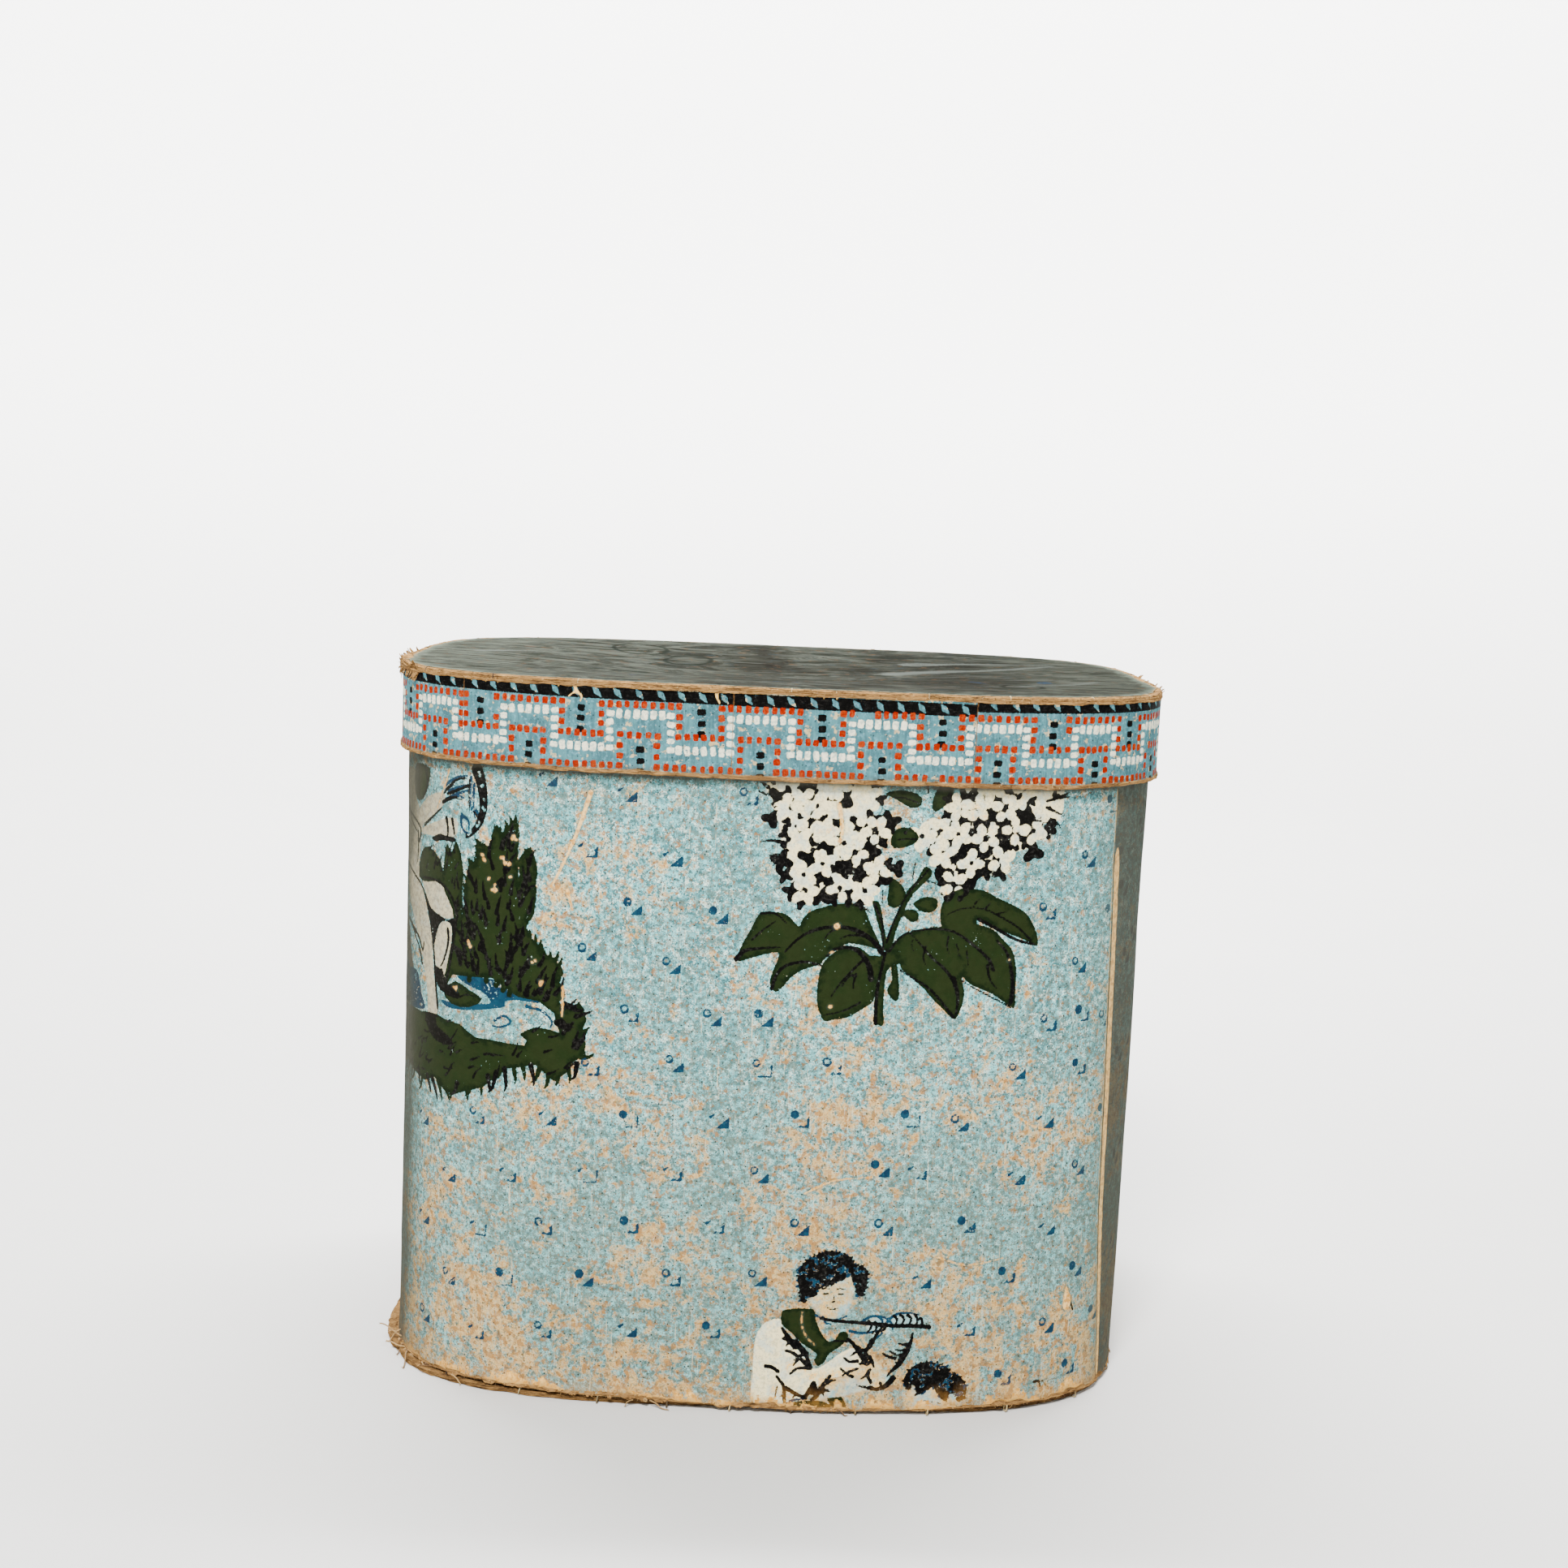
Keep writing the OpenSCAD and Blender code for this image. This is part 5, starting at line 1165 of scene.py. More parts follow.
def lid_paper_material(name):
    t = Tree(name, "2D")
    v = t.object_mm()
    long = t.place(v, (0.16, 1.0, 1.0), (0, 0, 0.03))
    big = t.noise(v, 85.0, 3.0, 0.55)
    streak = t.noise(long, 7.0, 5.0, 0.62, 0.6)
    thin = t.noise(t.place(v, (0.06, 1.0, 1.0), (0, 0, 0.05)), 2.4, 4.0, 0.6)
    fine = t.noise(v, 3.0, 5.0, 0.65)
    x, y, _ = t.split(v)
    base = t.mix(t.smooth(streak, 0.42, 0.58), LID_GREY, LID_GREEN)
    base = t.mix(t.mul(t.smooth(thin, 0.53, 0.66), 0.34), base, LID_PALE)
    base = t.mix(t.mul(t.smooth(thin, 0.47, 0.37), 0.50), base, LID_BROWN)
    blot = t.noise(t.place(v, (0.55, 1.0, 1.0), (0, 0, 0.4)), 15.0, 5.0, 0.72, 0.8)
    base = t.mix(t.mul(t.smooth(blot, 0.50, 0.62), 0.60), base, (0.062, 0.069, 0.055))
    base = t.mix(t.mul(t.smooth(blot, 0.49, 0.38), 0.60), base, (0.0075, 0.0080, 0.0060))
    ends = t.smooth(t.math("ABSOLUTE", x), 95.0, 175.0)
    base = t.mix(t.mul(ends, t.smooth(thin, 0.44, 0.60), 0.60), base, (0.085, 0.096, 0.075))
    # the browner, handled middle
    brown = t.mul(t.inv(t.smooth(t.math("ABSOLUTE", t.sub(x, 40.0)), 40.0, 120.0)), t.smooth(t.add(t.mul(streak, 0.5), t.mul(big, 0.5)), 0.40, 0.60))
    base = t.mix(t.mul(brown, 0.75), base, LID_BROWN)
    base = t.mix(t.mul(t.smooth(t.noise(v, 9.0, 4.0, 0.7), 0.60, 0.70), 0.5), base, BROWN)
    base = t.mix(t.mul(t.smooth(t.noise(t.place(v, (0.4, 1, 1)), 4.5, 3.0, 0.7), 0.64, 0.70), 0.7), base, (0.020, 0.030, 0.034))
    edge = t.mul(t.sub(t.noise(v, 2.0, 3.0, 0.7), 0.5), 2.0)
    ring = t.inv(t.smooth(t.math("ABSOLUTE", t.add(t.attr("stain"), t.mul(edge, 0.5))), 0.5, 2.0))
    base = t.mix(t.mul(ring, 0.80), base, (0.0075, 0.0095, 0.0075))
    pale = t.smooth(t.add(t.attr("pale"), t.mul(edge, 2.5), t.mul(t.sub(thin, 0.5), 14.0)), -0.5, 3.0)
    base = t.mix(t.mul(pale, 0.75), base, LID_PALE)
    pink = t.smooth(t.add(t.attr("pink"), t.mul(edge, 1.5), t.mul(t.sub(thin, 0.5), 10.0)), -0.5, 1.2)
    base = t.mix(t.mul(pink, 0.25), base, LID_PINK)
    # painted shade: the top is darkened towards its right, the side away from the light
    base = t.mix(t.smooth(x, 20.0, 130.0, 0.0, 0.42), base, (0.0045, 0.0045, 0.0034))
    sp = t.smooth(t.add(t.attr("blue"), t.mul(edge, 0.5)), -0.2, 0.3)
    base = t.mix(t.mul(sp, t.inv(t.smooth(fine, 0.5, 0.62)), 0.75), base, (0.010, 0.022, 0.042))
    fis = t.cells(t.shifted(v, t.noise(v, 3.0, 3.0, 0.6, out=1), 5.0), 14.0, "DISTANCE_TO_EDGE")
    fissure = t.mul(t.inv(t.smooth(fis, 0.0, 0.02)), t.smooth(t.noise(v, 40.0), 0.45, 0.58))
    base = t.mix(t.mul(fissure, 0.6), base, (0.018, 0.022, 0.020))
    rim = t.attr("foot")
    worn = t.inv(t.smooth(t.add(rim, t.mul(t.sub(t.noise(v, 5.0, 4.0, 0.7), 0.5), 7.0)), -0.5, 1.4))
    base = t.mix(worn, base, t.mix(t.smooth(fine, 0.35, 0.65), BOARD_MID, BOARD_PALE))
    rubbed = t.inv(t.smooth(t.add(rim, t.mul(t.sub(t.noise(v, 8.0, 4.0, 0.7), 0.5), 14.0)), 0.0, 7.0))
    base = t.mix(t.mul(rubbed, 0.45), base, (0.13, 0.16, 0.125))
    rough = t.add(0.62, t.mul(fine, 0.3), t.mul(worn, 0.1))
    return t.finish(base, rough, t.add(t.mul(t.noise(long, 7.0, 2.0), 0.6), t.mul(t.noise(v, 2.0, 2.0), 0.2)), 0.6, 0.0005, 0.0006)


def board_material(name, pale=0.5, dim=0.0):
    """Thick pasteboard: pressed grey-brown fibre, split into layers at its torn edges."""
    t = Tree(name)
    v = t.object_mm()
    flat = t.place(v, (0.35, 0.35, 3.2))
    layer = t.noise(flat, 2.4, 4.0, 0.65, 0.5)
    fibre = t.noise(t.place(v, (0.6, 0.6, 2.2), (0.2, 0.1, 0.4)), 1.1, 4.0, 0.7)
    big = t.noise(v, 18.0, 3.0, 0.6)
    col = t.mix(t.smooth(t.add(t.mul(layer, 0.55), t.mul(fibre, 0.45)), 0.36, 0.64), BOARD_MID, BOARD_PALE)
    col = t.mix(t.mul(t.smooth(big, 0.42, 0.66), 1.0 - pale), col, BOARD_MID)
    col = t.mix(t.mul(t.smooth(layer, 0.46, 0.30), 0.75), col, BOARD_DEEP)
    col = t.mix(t.mul(t.smooth(t.noise(v, 3.5, 4.0, 0.7), 0.60, 0.68), 0.7), col, BOARD_DEEP)
    col = t.mix(t.mul(t.smooth(t.noise(v, 1.4, 3.0, 0.7), 0.63, 0.70), 0.6), col, (0.66, 0.46, 0.20))
    gap = t.inv(t.smooth(t.math("ABSOLUTE", t.sub(t.noise(t.place(v, (0.16, 0.16, 1.6), (0.1, 0.2, 0.3)), 1.6, 2.0, 0.5), 0.5)), 0.0, 0.035))
    col = t.mix(t.mul(gap, t.smooth(t.noise(v, 9.0, 3.0, 0.6), 0.40, 0.56), 0.80), col, (0.022, 0.013, 0.007))
    if dim:
        col = t.mix(t.smooth(layer, 0.25, 0.60, dim, dim * 0.55), col, BOARD_DEEP)
    height = t.add(t.mul(layer, 0.9), t.mul(fibre, 0.45), t.mul(t.noise(v, 0.5, 2.0), 0.1))
    return t.finish(col, t.add(0.78, t.mul(fibre, 0.2)), height, 1.0, 0.0009, 0.004)


def lining_material(name):
    """Plain buff paper with laid lines, paste marks and foxing."""
    t = Tree(name)
    v = t.object_mm()
    big = t.noise(v, 60.0, 4.0, 0.6)
    mid = t.noise(v, 14.0, 4.0, 0.65)
    fine = t.noise(v, 2.4, 4.0, 0.65)
    laid = t.noise(t.place(v, (0.10, 0.10, 2.2)), 1.6, 2.0, 0.5)
    col = t.mix(t.smooth(t.add(t.mul(big, 0.6), t.mul(mid, 0.4)), 0.40, 0.62), BUFF, BUFF_DEEP)
    col = t.mix(t.mul(t.smooth(laid, 0.45, 0.62), 0.20), col, (0.52, 0.41, 0.21))
    fox = t.smooth(t.add(t.mul(t.noise(v, 7.0, 3.0, 0.6), 0.7), t.mul(fine, 0.3)), 0.58, 0.66)
    col = t.mix(t.mul(fox, 0.6), col, (0.16, 0.075, 0.026))
    speck = t.inv(t.smooth(t.cells(v, 9.0, "F1"), 0.04, 0.08))
    col = t.mix(t.mul(speck, 0.7), col, (0.060, 0.036, 0.018))
    paste = t.smooth(t.noise(t.place(v, (1, 1, 0.25)), 11.0, 3.0, 0.6, 0.8), 0.56, 0.64)
    col = t.mix(t.mul(paste, 0.25), col, (0.60, 0.50, 0.28))
    height = t.add(t.mul(mid, 0.8), t.mul(fine, 0.2), t.mul(laid, 0.15), t.mul(paste, 0.2))
    return t.finish(col, t.add(0.74, t.mul(fine, 0.2)), t.add(t.mul(mid, 0.8), t.mul(fine, 0.2)), 0.5, 0.0005, 0.10)


def thread_material(name, color=THREAD, dark=BOARD_DEEP):
    """Linen thread or torn fibre: twisted, dusty, each length a little different."""
    t = Tree(name)
    v = t.object_mm()
    tone = t.attr("tone")
    twist = t.nt.nodes.new("ShaderNodeTexWave")
    twist.bands_direction = "DIAGONAL"
    twist.inputs["Scale"].default_value = 3.2
    twist.inputs["Distortion"].default_value = 1.2
    t.put(v, twist.inputs["Vector"])
    n = t.noise(v, 1.5, 4.0, 0.7)
    col = t.mix(t.smooth(t.add(t.mul(n, 0.5), t.mul(tone, 0.5)), 0.30, 0.75), color, dark)
    col = t.mix(t.mul(twist.outputs["Fac"], 0.28), col, dark)
    return t.finish(col, t.add(0.75, t.mul(n, 0.2)), t.add(twist.outputs["Fac"], n), 0.6, 0.0002, 0.10, 0.1)


M_COVER = cover_material("cover_paper_printed")
M_COVER_BACK = cover_material("cover_paper_printed_back", 0.12)
M_BORDER = border_material("border_paper_printed")
M_LID = lid_paper_material("lid_paper")
M_BOARD = board_material("pasteboard", 0.55)
M_BOARD_LID = board_material("pasteboard_lid", 0.7)
M_BOARD_RIM = board_material("pasteboard_rim", 0.15)
M_BOARD_FOOT = board_material("pasteboard_foot", 0.30, 0.62)
M_LINING = lining_material("lining_paper")
M_THREAD = thread_material("thread")
M_FIBRE = thread_material("torn_fibre", (0.52, 0.33, 0.13), BOARD_MID)

# ---------------------------------------------------------------- the box's wall
NU = 960


def foot_z(u):
    """Height of the wall's torn lower edge."""
    lift = 1.9 * near(u, -40, 120) + 0.9 * near(u, 120, 50)
    rag = 0.85 * along(u, 26, 31, 4, 0.66) - 1.2 * near(u, -16.5, 2.2)
    low = near(u, 30, 62)
    return np.maximum(2.5 + lift * (1 - 0.8 * low) - 1.1 * low + rag, 2.2 - 1.0 * low)


def wall_lap_in(u):
    a, b = u_of(109), u_of(112)
    d = np.mod(u, LEN)
    return np.where((d >= a) & (d <= b), 1.0, 0.0) * 1.6 * step(a - 0.1, a + 0.6, d) * (1 - step(b - 6, b, d))


def wall_board():
    u = np.arange(NU) * LEN / NU
    z0 = foot_z(u)
    z1 = 346.3 + 0.25 * along(u, 20, 41, 3)
    D0, D1 = 3.86, 6.0
    lap = wall_lap_in(u)
    rows = []

    def row(d, z, box=True):
        rows.append(place(u, z, d, box))

    # up the inside, across the top edge, down the outside, across the torn foot
    inner = [4.0, 10, 25, 60, 110, 160, 210, 250, 275, 300, 325, 343]
    for k, z in enumerate(inner):
        row(D1 + lap, np.full(NU, float(z)))
    top = [(D1, -0.5), (D1 - 0.25, -0.1), (5.3, 0.05), (4.9, -0.05), (4.5, 0.05), (4.1, -0.12), (D0, -0.5)]
    for k, (d, dz) in enumerate(top):
        row(d + (lap if k < 2 else lap * (1 - k / 6)), z1 + dz + 0.12 * along(u, 7, 60 + k, 2))
    outer = [343, 325, 300, 275, 250, 210, 160, 110, 60, 35, 22, 15, 12, 10, 8.6, 7.4, 6.4]
    for z in outer:
        flare = 0.35 * np.exp(-max(z - 4, 0) / 3.0)
        row(D0 - flare * (0.6 + 0.4 * along(u, 9, 71, 3)), np.maximum(np.full(NU, float(z)), z0 + 1.2 + 0.1 * z / 6))
    edge = [(-0.42, 1.0), (-0.62, 0.55), (-0.40, 0.18), (0.15, 0.0), (0.7, 0.22), (1.1, 0.02), (1.6, 0.25), (2.0, 0.5)]
    for k, (dd, dz) in enumerate(edge):
        row(D0 + dd + 0.30 * along(u, 6.5, 80 + k, 3, 0.6), z0 + dz + 0.35 * along(u, 8, 95 + k // 2, 3, 0.6) * (0.4 + 0.6 * (k < 6)))
    row(D1 + lap, np.maximum(z0 + 1.0, 3.2))
    return lathe("wall_board", np.array(rows), "box", ["body_wall"], M_BOARD, flip=True)


def stretch_end(us, Z, end, fn, near_len=45.0):
    """Columns eased over, so the sheet's end follows a leaning line."""
    U = np.broadcast_to(us[None, :], Z.shape).copy()
    s = step(0, 1, 1 - np.abs(us - end) / near_len)
    return U + s[None, :] * (fn(Z) - end)


def grid_u(cuts, k):
    """Columns at set spacings between the cuts, their number a multiple of k, plus one."""
    parts = []
    for a, b, s in cuts:
        n = max(1, round((b - a) / s))
        parts.append(a + (b - a) * np.arange(n) / n)
    u = np.concatenate(parts + [[cuts[-1][1]]])
    n = ((len(u) - 1) // k) * k
    return np.interp(np.linspace(0, len(u) - 1, n + 1), np.arange(len(u)), u)


INKS = ("pale", "stone", "water", "cream", "leaf", "blue", "ink", "scuff", "stain")


def cover(name, node, ends, lines, step_u, step_z, draw, material, seed, proud):
    K = 8
    us = grid_u(step_u, K)
    n = int(338 / step_z) // K * K
    base = np.linspace(5.0, 344.6, n + 1)
    zb = foot_z(us) + 0.9 + 1.8 * np.maximum(0, along(us, 30, 131 + seed, 4, 0.64)) + 4.0 * np.maximum(0, along(us, 10, 137 + seed, 3, 0.64) - 0.15)
    zt = 344.6 + 0.35 * along(us, 14, 139 + seed, 3)
    Z = np.broadcast_to(base[:, None], (n + 1, len(us))).copy()
    Z += (zb - 5.0)[None] * (1 - step(5, 30, base))[:, None] + (zt - 344.6)[None] * step(325, 344.6, base)[:, None]
    U = np.broadcast_to(us[None], Z.shape).copy()
    for end, fn in zip(ends, lines):
        s = 1 - step(0, 45.0, np.abs(us - end))
        U += s[None] * (fn(Z) - end + 0.25 * along(Z, 6, 151 + seed, 3, 0.6))
    pr = Print(us, base, U, Z, INKS)
    draw(pr)
    # fine relief of the pasted paper: soft cockles, and a curl at the torn foot
    cockle = 0.10 * along(U, 16, 161, 3, 0.6, v=Z, vsize=34) + 0.05 * along(U, 5, 171, 2, 0.6, v=Z, vsize=9)
    height = Z - zb[None]
    curl = 0.9 * np.exp(-height / 2.2) * np.maximum(0, along(U[0], 13, 181 + seed, 3))[None]
    fade = 1 - 0.8 * step(285, 300, Z)
    d = 3.52 - proud - (cockle + curl) * fade
    outer = place(U, Z, d)

    def inner(rs, cs):
        dd = np.maximum(d[rs, cs] + 0.28, 3.72)
        return place(U[rs, cs], Z[rs, cs], dd)

    join = np.minimum(np.abs(U - lines[0](Z)), np.abs(U - lines[1](Z)))
    rag = 15.0 * along(U, 30, 197, 4, 0.66, v=Z, vsize=34)
    # painted shade: both ends of the front are darkened, with ragged edges, where the light falls off round the sides
    painted_shade = (0.85 * near(U + 0.8 * rag, -236, 48) + 0.85 * near(U, -212, 24) + 0.76 * near(U, 212, 32)) * (0.80 + 0.40 * along(U, 40, 191, 3, v=Z, vsize=60))
    if node == "cover_paper_back":
        # painted shade: the back sheet is darkened just past the pasted join, on the side away from the light
        painted_shade = painted_shade + 0.60 * near(U + 0.4 * rag, U_RIGHT + 6, 30) + 0.42 * near(U + 1.6 * rag, U_RIGHT + 26, 52)
    # painted shadow: a dark band just under the lid's rim and a wider faint one, standing for the rim's cast shadow
    painted_shade = painted_shade + 0.85 * np.exp(-(((Z - 306.3 - 0.5 * along(U, 25, 195, 3)) / 1.9) ** 2)) + 0.25 * np.exp(-np.abs(Z - 306) / 7.0)
    attrs = {"uz": np.stack([U, Z, np.zeros_like(U)], -1), "foot": np.minimum(height, (zt[None] - Z) + 0.6), "join": join, "painted_shade": np.clip(painted_shade, 0, 0.92)}
    attrs.update(pr.ink)
    return leaf_sheet(name, outer, inner, K, K, "box", [node], material, attrs)


U_RIGHT, U_LEFT = u_of(110), u_of(47)


def draw_front(pr):
    island(pr)
    spray(pr)
    piper(pr)
    pr.line("ink", [(139, 14), (142, 14), (143, 10)], 0.8, 0.4)
    pr.line("ink", [(144, 14), (147, 10.5)], 0.5, 0.3)
    for k, (x, z) in enumerate(SPRIGS_FRONT):
        sprig(pr, x, z, k)
    sprig_field(pr, U_LEFT - 10, -250, [])
    # scuffs and scratches
    S = [([(-87, 297), (-91, 284), (-97, 268), (-105, 251)], 1.1, 0.5), ([(-97, 250), (-94.5, 241)], 0.9, 0.4), ([(-163, 302), (-167, 292), (-172, 282)], 0.4, 0.3), ([(-70, 240), (-66, 228)], 0.35, 0.2),
         ([(28, 296), (30, 286), (29, 279)], 1.0, 0.5), ([(20, 110), (34, 117), (52, 119)], 0.5, 0.2), ([(85, 80), (100, 76), (118, 79)], 0.45, 0.2),
         ([(-98, 204), (-98, 190)], 0.5, 0.4), ([(64, 160), (72, 157)], 0.4, 0.2), ([(120, 150), (129, 144), (140, 141)], 0.5, 0.3)]
    for p, a, b in S:
        pr.line("scuff", p, a, b)
    pr.line("ink", [(156, 59), (157.5, 55), (160.5, 49), (161.2, 47.4)], 0.75, 0.5)
    pr.poly("scuff", [(155.5, 60.5), (157.5, 57), (159.5, 51.5), (157.5, 48.5), (154.2, 49), (154.2, 54)])
    for x, z, r in ((29.5, 239.5, 1.6), (-134, 247, 1.3), (-126, 254, 1.0), (-138, 252, 0.9), (112, 225, 0.7), (27.5, 227, 0.7), (28, 201, 1.0), (-119, 186, 0.8)):
        pr.disc("scuff", x, z, r, r * 0.8, 0.5)
    # the drip below the stem
    drip = [(50.5, 191), (50, 175), (51.5, 162), (50.5, 150), (47.5, 143), (50, 139), (55, 141.5), (62, 142), (66, 143.5), (62, 147), (56, 150), (54.5, 160), (55.5, 172), (54.5, 186), (53.5, 191)]
    pr.poly("stain", drip)
    pr.poly("stain", [(4, 190), (6, 176), (10, 172), (14, 176), (12, 186), (9, 193)])
    pr.poly("stain", [(-148, 96), (-138, 99), (-131, 94), (-138, 90)])


def draw_back(pr):
    spray(pr.at(395, -22, 1), 7)
    island(pr.at(716, -8, 1), 9)
    piper(pr.at(610, 8, 1), 5)
    pr.at(0, 0)
    for k, (x, z) in enumerate(SPRIGS_FRONT):
        if x > 150:
            sprig(pr, x, z, k)
    sprig_field(pr, 205, U_LEFT + LEN + 10, [(372, 540, 165, 345), (490, 632, 130, 345), (606, 720, 0, 92)])
    for k in range(16):
        x, z = 215 + 500 * rand(k, 201), 30 + 290 * rand(k, 202)
        a = 1.2 + 1.2 * rand(k, 203)
        s = 8 + 26 * rand(k, 204)
        pr.line("scuff", [(x, z), (x + s * 0.5 * math.cos(a) + 1, z + s * 0.5 * math.sin(a)), (x + s * math.cos(a), z + s * math.sin(a))], 0.7, 0.25)
    pr.poly("stain", [(300, 60), (318, 55), (340, 70), (352, 92), (338, 110), (312, 104), (296, 84)])
    pr.poly("stain", [(560, 40), (575, 36), (583, 48), (572, 58), (560, 52)])


f = 1.0
wall_board()
cover("cover_front", "cover_paper_front", (U_LEFT, U_RIGHT), (lambda z: U_LEFT + 0 * z, crease_u),
      [(U_LEFT, -236, 1.5 * f), (-236, U_RIGHT, 0.72 * f)], 0.78 * f, draw_front, M_COVER, 0, 0.10)
cover("cover_back", "cover_paper_back", (U_RIGHT, U_LEFT + LEN), (lambda z: crease_u(z) + 0.12, lambda z: U_LEFT + LEN + 0 * z),
      [(U_RIGHT, 270, 0.9 * f), (270, U_LEFT + LEN, 1.25 * f)], 1.15 * f, draw_back, M_COVER_BACK, 3, 0.0)


def ring_sheet(name, node, d_out, d_in, z0, z1, rows_z, body, material, box, seed, lap=None, wave=0.12):
    """A hoop of lining paper: both faces and both cut edges."""
    n = NU // 2
    u = np.arange(n) * LEN / n
    lap_in = lap(u) if lap is not None else 0.0
    rows = []
    zs = np.linspace(z0, z1, rows_z)
    top = z1 + 0.3 * along(u, 15, seed, 3)
    bulge = lambda z: wave * along(u, 22, seed + 5, 3, 0.6, v=z, vsize=50)
    for z in zs:
        zz = np.minimum(np.full(n, z), top)
        rows.append(place(u, zz, d_in + lap_in + np.abs(bulge(z)), box))
    for z in zs[::-1]:
        zz = np.minimum(np.full(n, z), top)
        rows.append(place(u, zz, d_out + lap_in + 0.02, box))
    return lathe(name, np.array(rows), body, [node], material, flip=True)


def rim_lap_in(u):
    a, b = u_of(29), u_of(32)
    d = np.mod(u, LEN)
    a, b = a % LEN, b % LEN
    return np.where((d >= a) & (d <= b), 1.0, 0.0) * 0.6 * step(a - 0.1, a + 0.6, d) * (1 - step(b - 6, b, d))


ring_sheet("wall_lining_paper", "wall_lining", 6.03, 6.28, 2.75, 343.4, 40, "box", M_LINING, True, 301, wall_lap_in, 0.25)
ring_sheet("rim_lining_paper", "lid_rim_lining", 2.33, 2.58, 308.2, 346.2, 8, "lid", M_LINING, False, 311, rim_lap_in, 0.05)


def disc_rows(u, edge_d, fracs, zfn, shift=(0, 0), bend=True):
    """Rows of a flat piece from its middle out to depth edge_d."""
    p, n = outline(u)
    e = p + n * ((plan(u) if bend else 0) - edge_d)[:, None] + np.array(shift)
    rows = []
    for q in fracs:
        xy = e * q
        rows.append(np.concatenate([xy, zfn(xy, u)[:, None]], -1))
    return rows, e


# ---------------------------------------------------------------- the box's bottom
def bottom_board():
    u = np.arange(NU) * LEN / NU
    poke = 2.4 * near(u, -222, 34) + 1.1 * near(u, -250, 60) + 0.9 * near(u, -168, 20)
    poke = poke + 0.9 * along(u, 24, 401, 4, 0.6) - 1.4 * near(u, -196, 5) - 1.2 * near(u, -118, 7)
    d0 = 2.7 - poke + 3.2 * near(u, 40, 95) + 1.0 * near(u, 160, 40)
    top = lambda xy, uu: 2.36 + 0.02 * noise2(xy[:, 0] / 20, xy[:, 1] / 20, 403)
    rows, _ = disc_rows(u, d0 + 1.2, [0.03, 0.3, 0.6, 0.85, 0.93, 0.97, 1.0], top, (-2.5, 1.5), False)
    prof = [(0.5, 2.42), (0.1, 2.3), (0.0, 2.0), (0.35, 1.78), (-0.15, 1.5), (-0.25, 1.2), (0.2, 1.0), (-0.05, 0.72), (-0.2, 0.45), (0.15, 0.2), (0.6, 0.04)]
    for k, (dd, z) in enumerate(prof):
        p, n = outline(u)
        dep = d0 + dd + (0.5 + 0.9 * near(u, -200, 45)) * along(u, 6, 411 + k, 3, 0.68)
        e = p - n * dep[:, None] + np.array([-2.5, 1.5])
        zz = np.clip(z + 0.14 * along(u, 9, 431 + k // 2, 3), 0.02, 2.6)
        rows.append(np.concatenate([e, zz[:, None]], -1))
    under = lambda xy, uu: np.zeros(len(xy)) + 0.0
    low, _ = disc_rows(u, d0 + 1.6, [1.0, 0.97, 0.9, 0.6, 0.3, 0.03], under, (-2.5, 1.5), False)
    rows += low
    return lathe("bottom_board_torn", np.array(rows), "box", ["bottom_board"], M_BOARD_FOOT,
                 poles=((-2.5, 1.5, 2.36), (-2.5, 1.5, 0.0)), flip=True, uv_kind="disc")


bottom_board()


def bottom_lining():
    n = NU // 2
    u = np.arange(n) * LEN / n
    e = 6.45 + wall_lap_in(u) - plan(u) * 0 + 0.3 * np.abs(along(u, 20, 451, 3))
    top = lambda xy, uu: 2.78 + 0.10 * noise2(xy[:, 0] / 30, xy[:, 1] / 30, 453) + 0.03 * noise2(xy[:, 0] / 9, xy[:, 1] / 9, 454)
    low = lambda xy, uu: np.full(len(xy), 2.46)
    fr = [0.03, 0.15, 0.3, 0.45, 0.6, 0.72, 0.82, 0.9, 0.95, 0.98, 1.0]
    a, _ = disc_rows(u, e, fr, top)
    b, _ = disc_rows(u, e, fr[::-2], low)
    return lathe("bottom_lining_paper", np.array(a + b), "box", ["bottom_lining"], M_LINING,
                 poles=((0, 0, 2.78), (0, 0, 2.46)), flip=True, uv_kind="disc")


bottom_lining()


# ---------------------------------------------------------------- the lid
def sunk(xy, u):
    """How far the tired top has sagged."""
    p, n = outline(u)
    flat = np.linalg.norm(p - 10.25 * n, axis=1)
    s = np.clip(np.linalg.norm(xy, axis=1) / flat, 0, 1)
    return 6.0 * (1 - s * s) ** 2 + 0.5 * (1 - s * s) * noise2(xy[:, 0] / 55, xy[:, 1] / 45, 501)


DISH = list(np.linspace(0.03, 0.93, 26)) + [0.955, 0.98, 1.0]


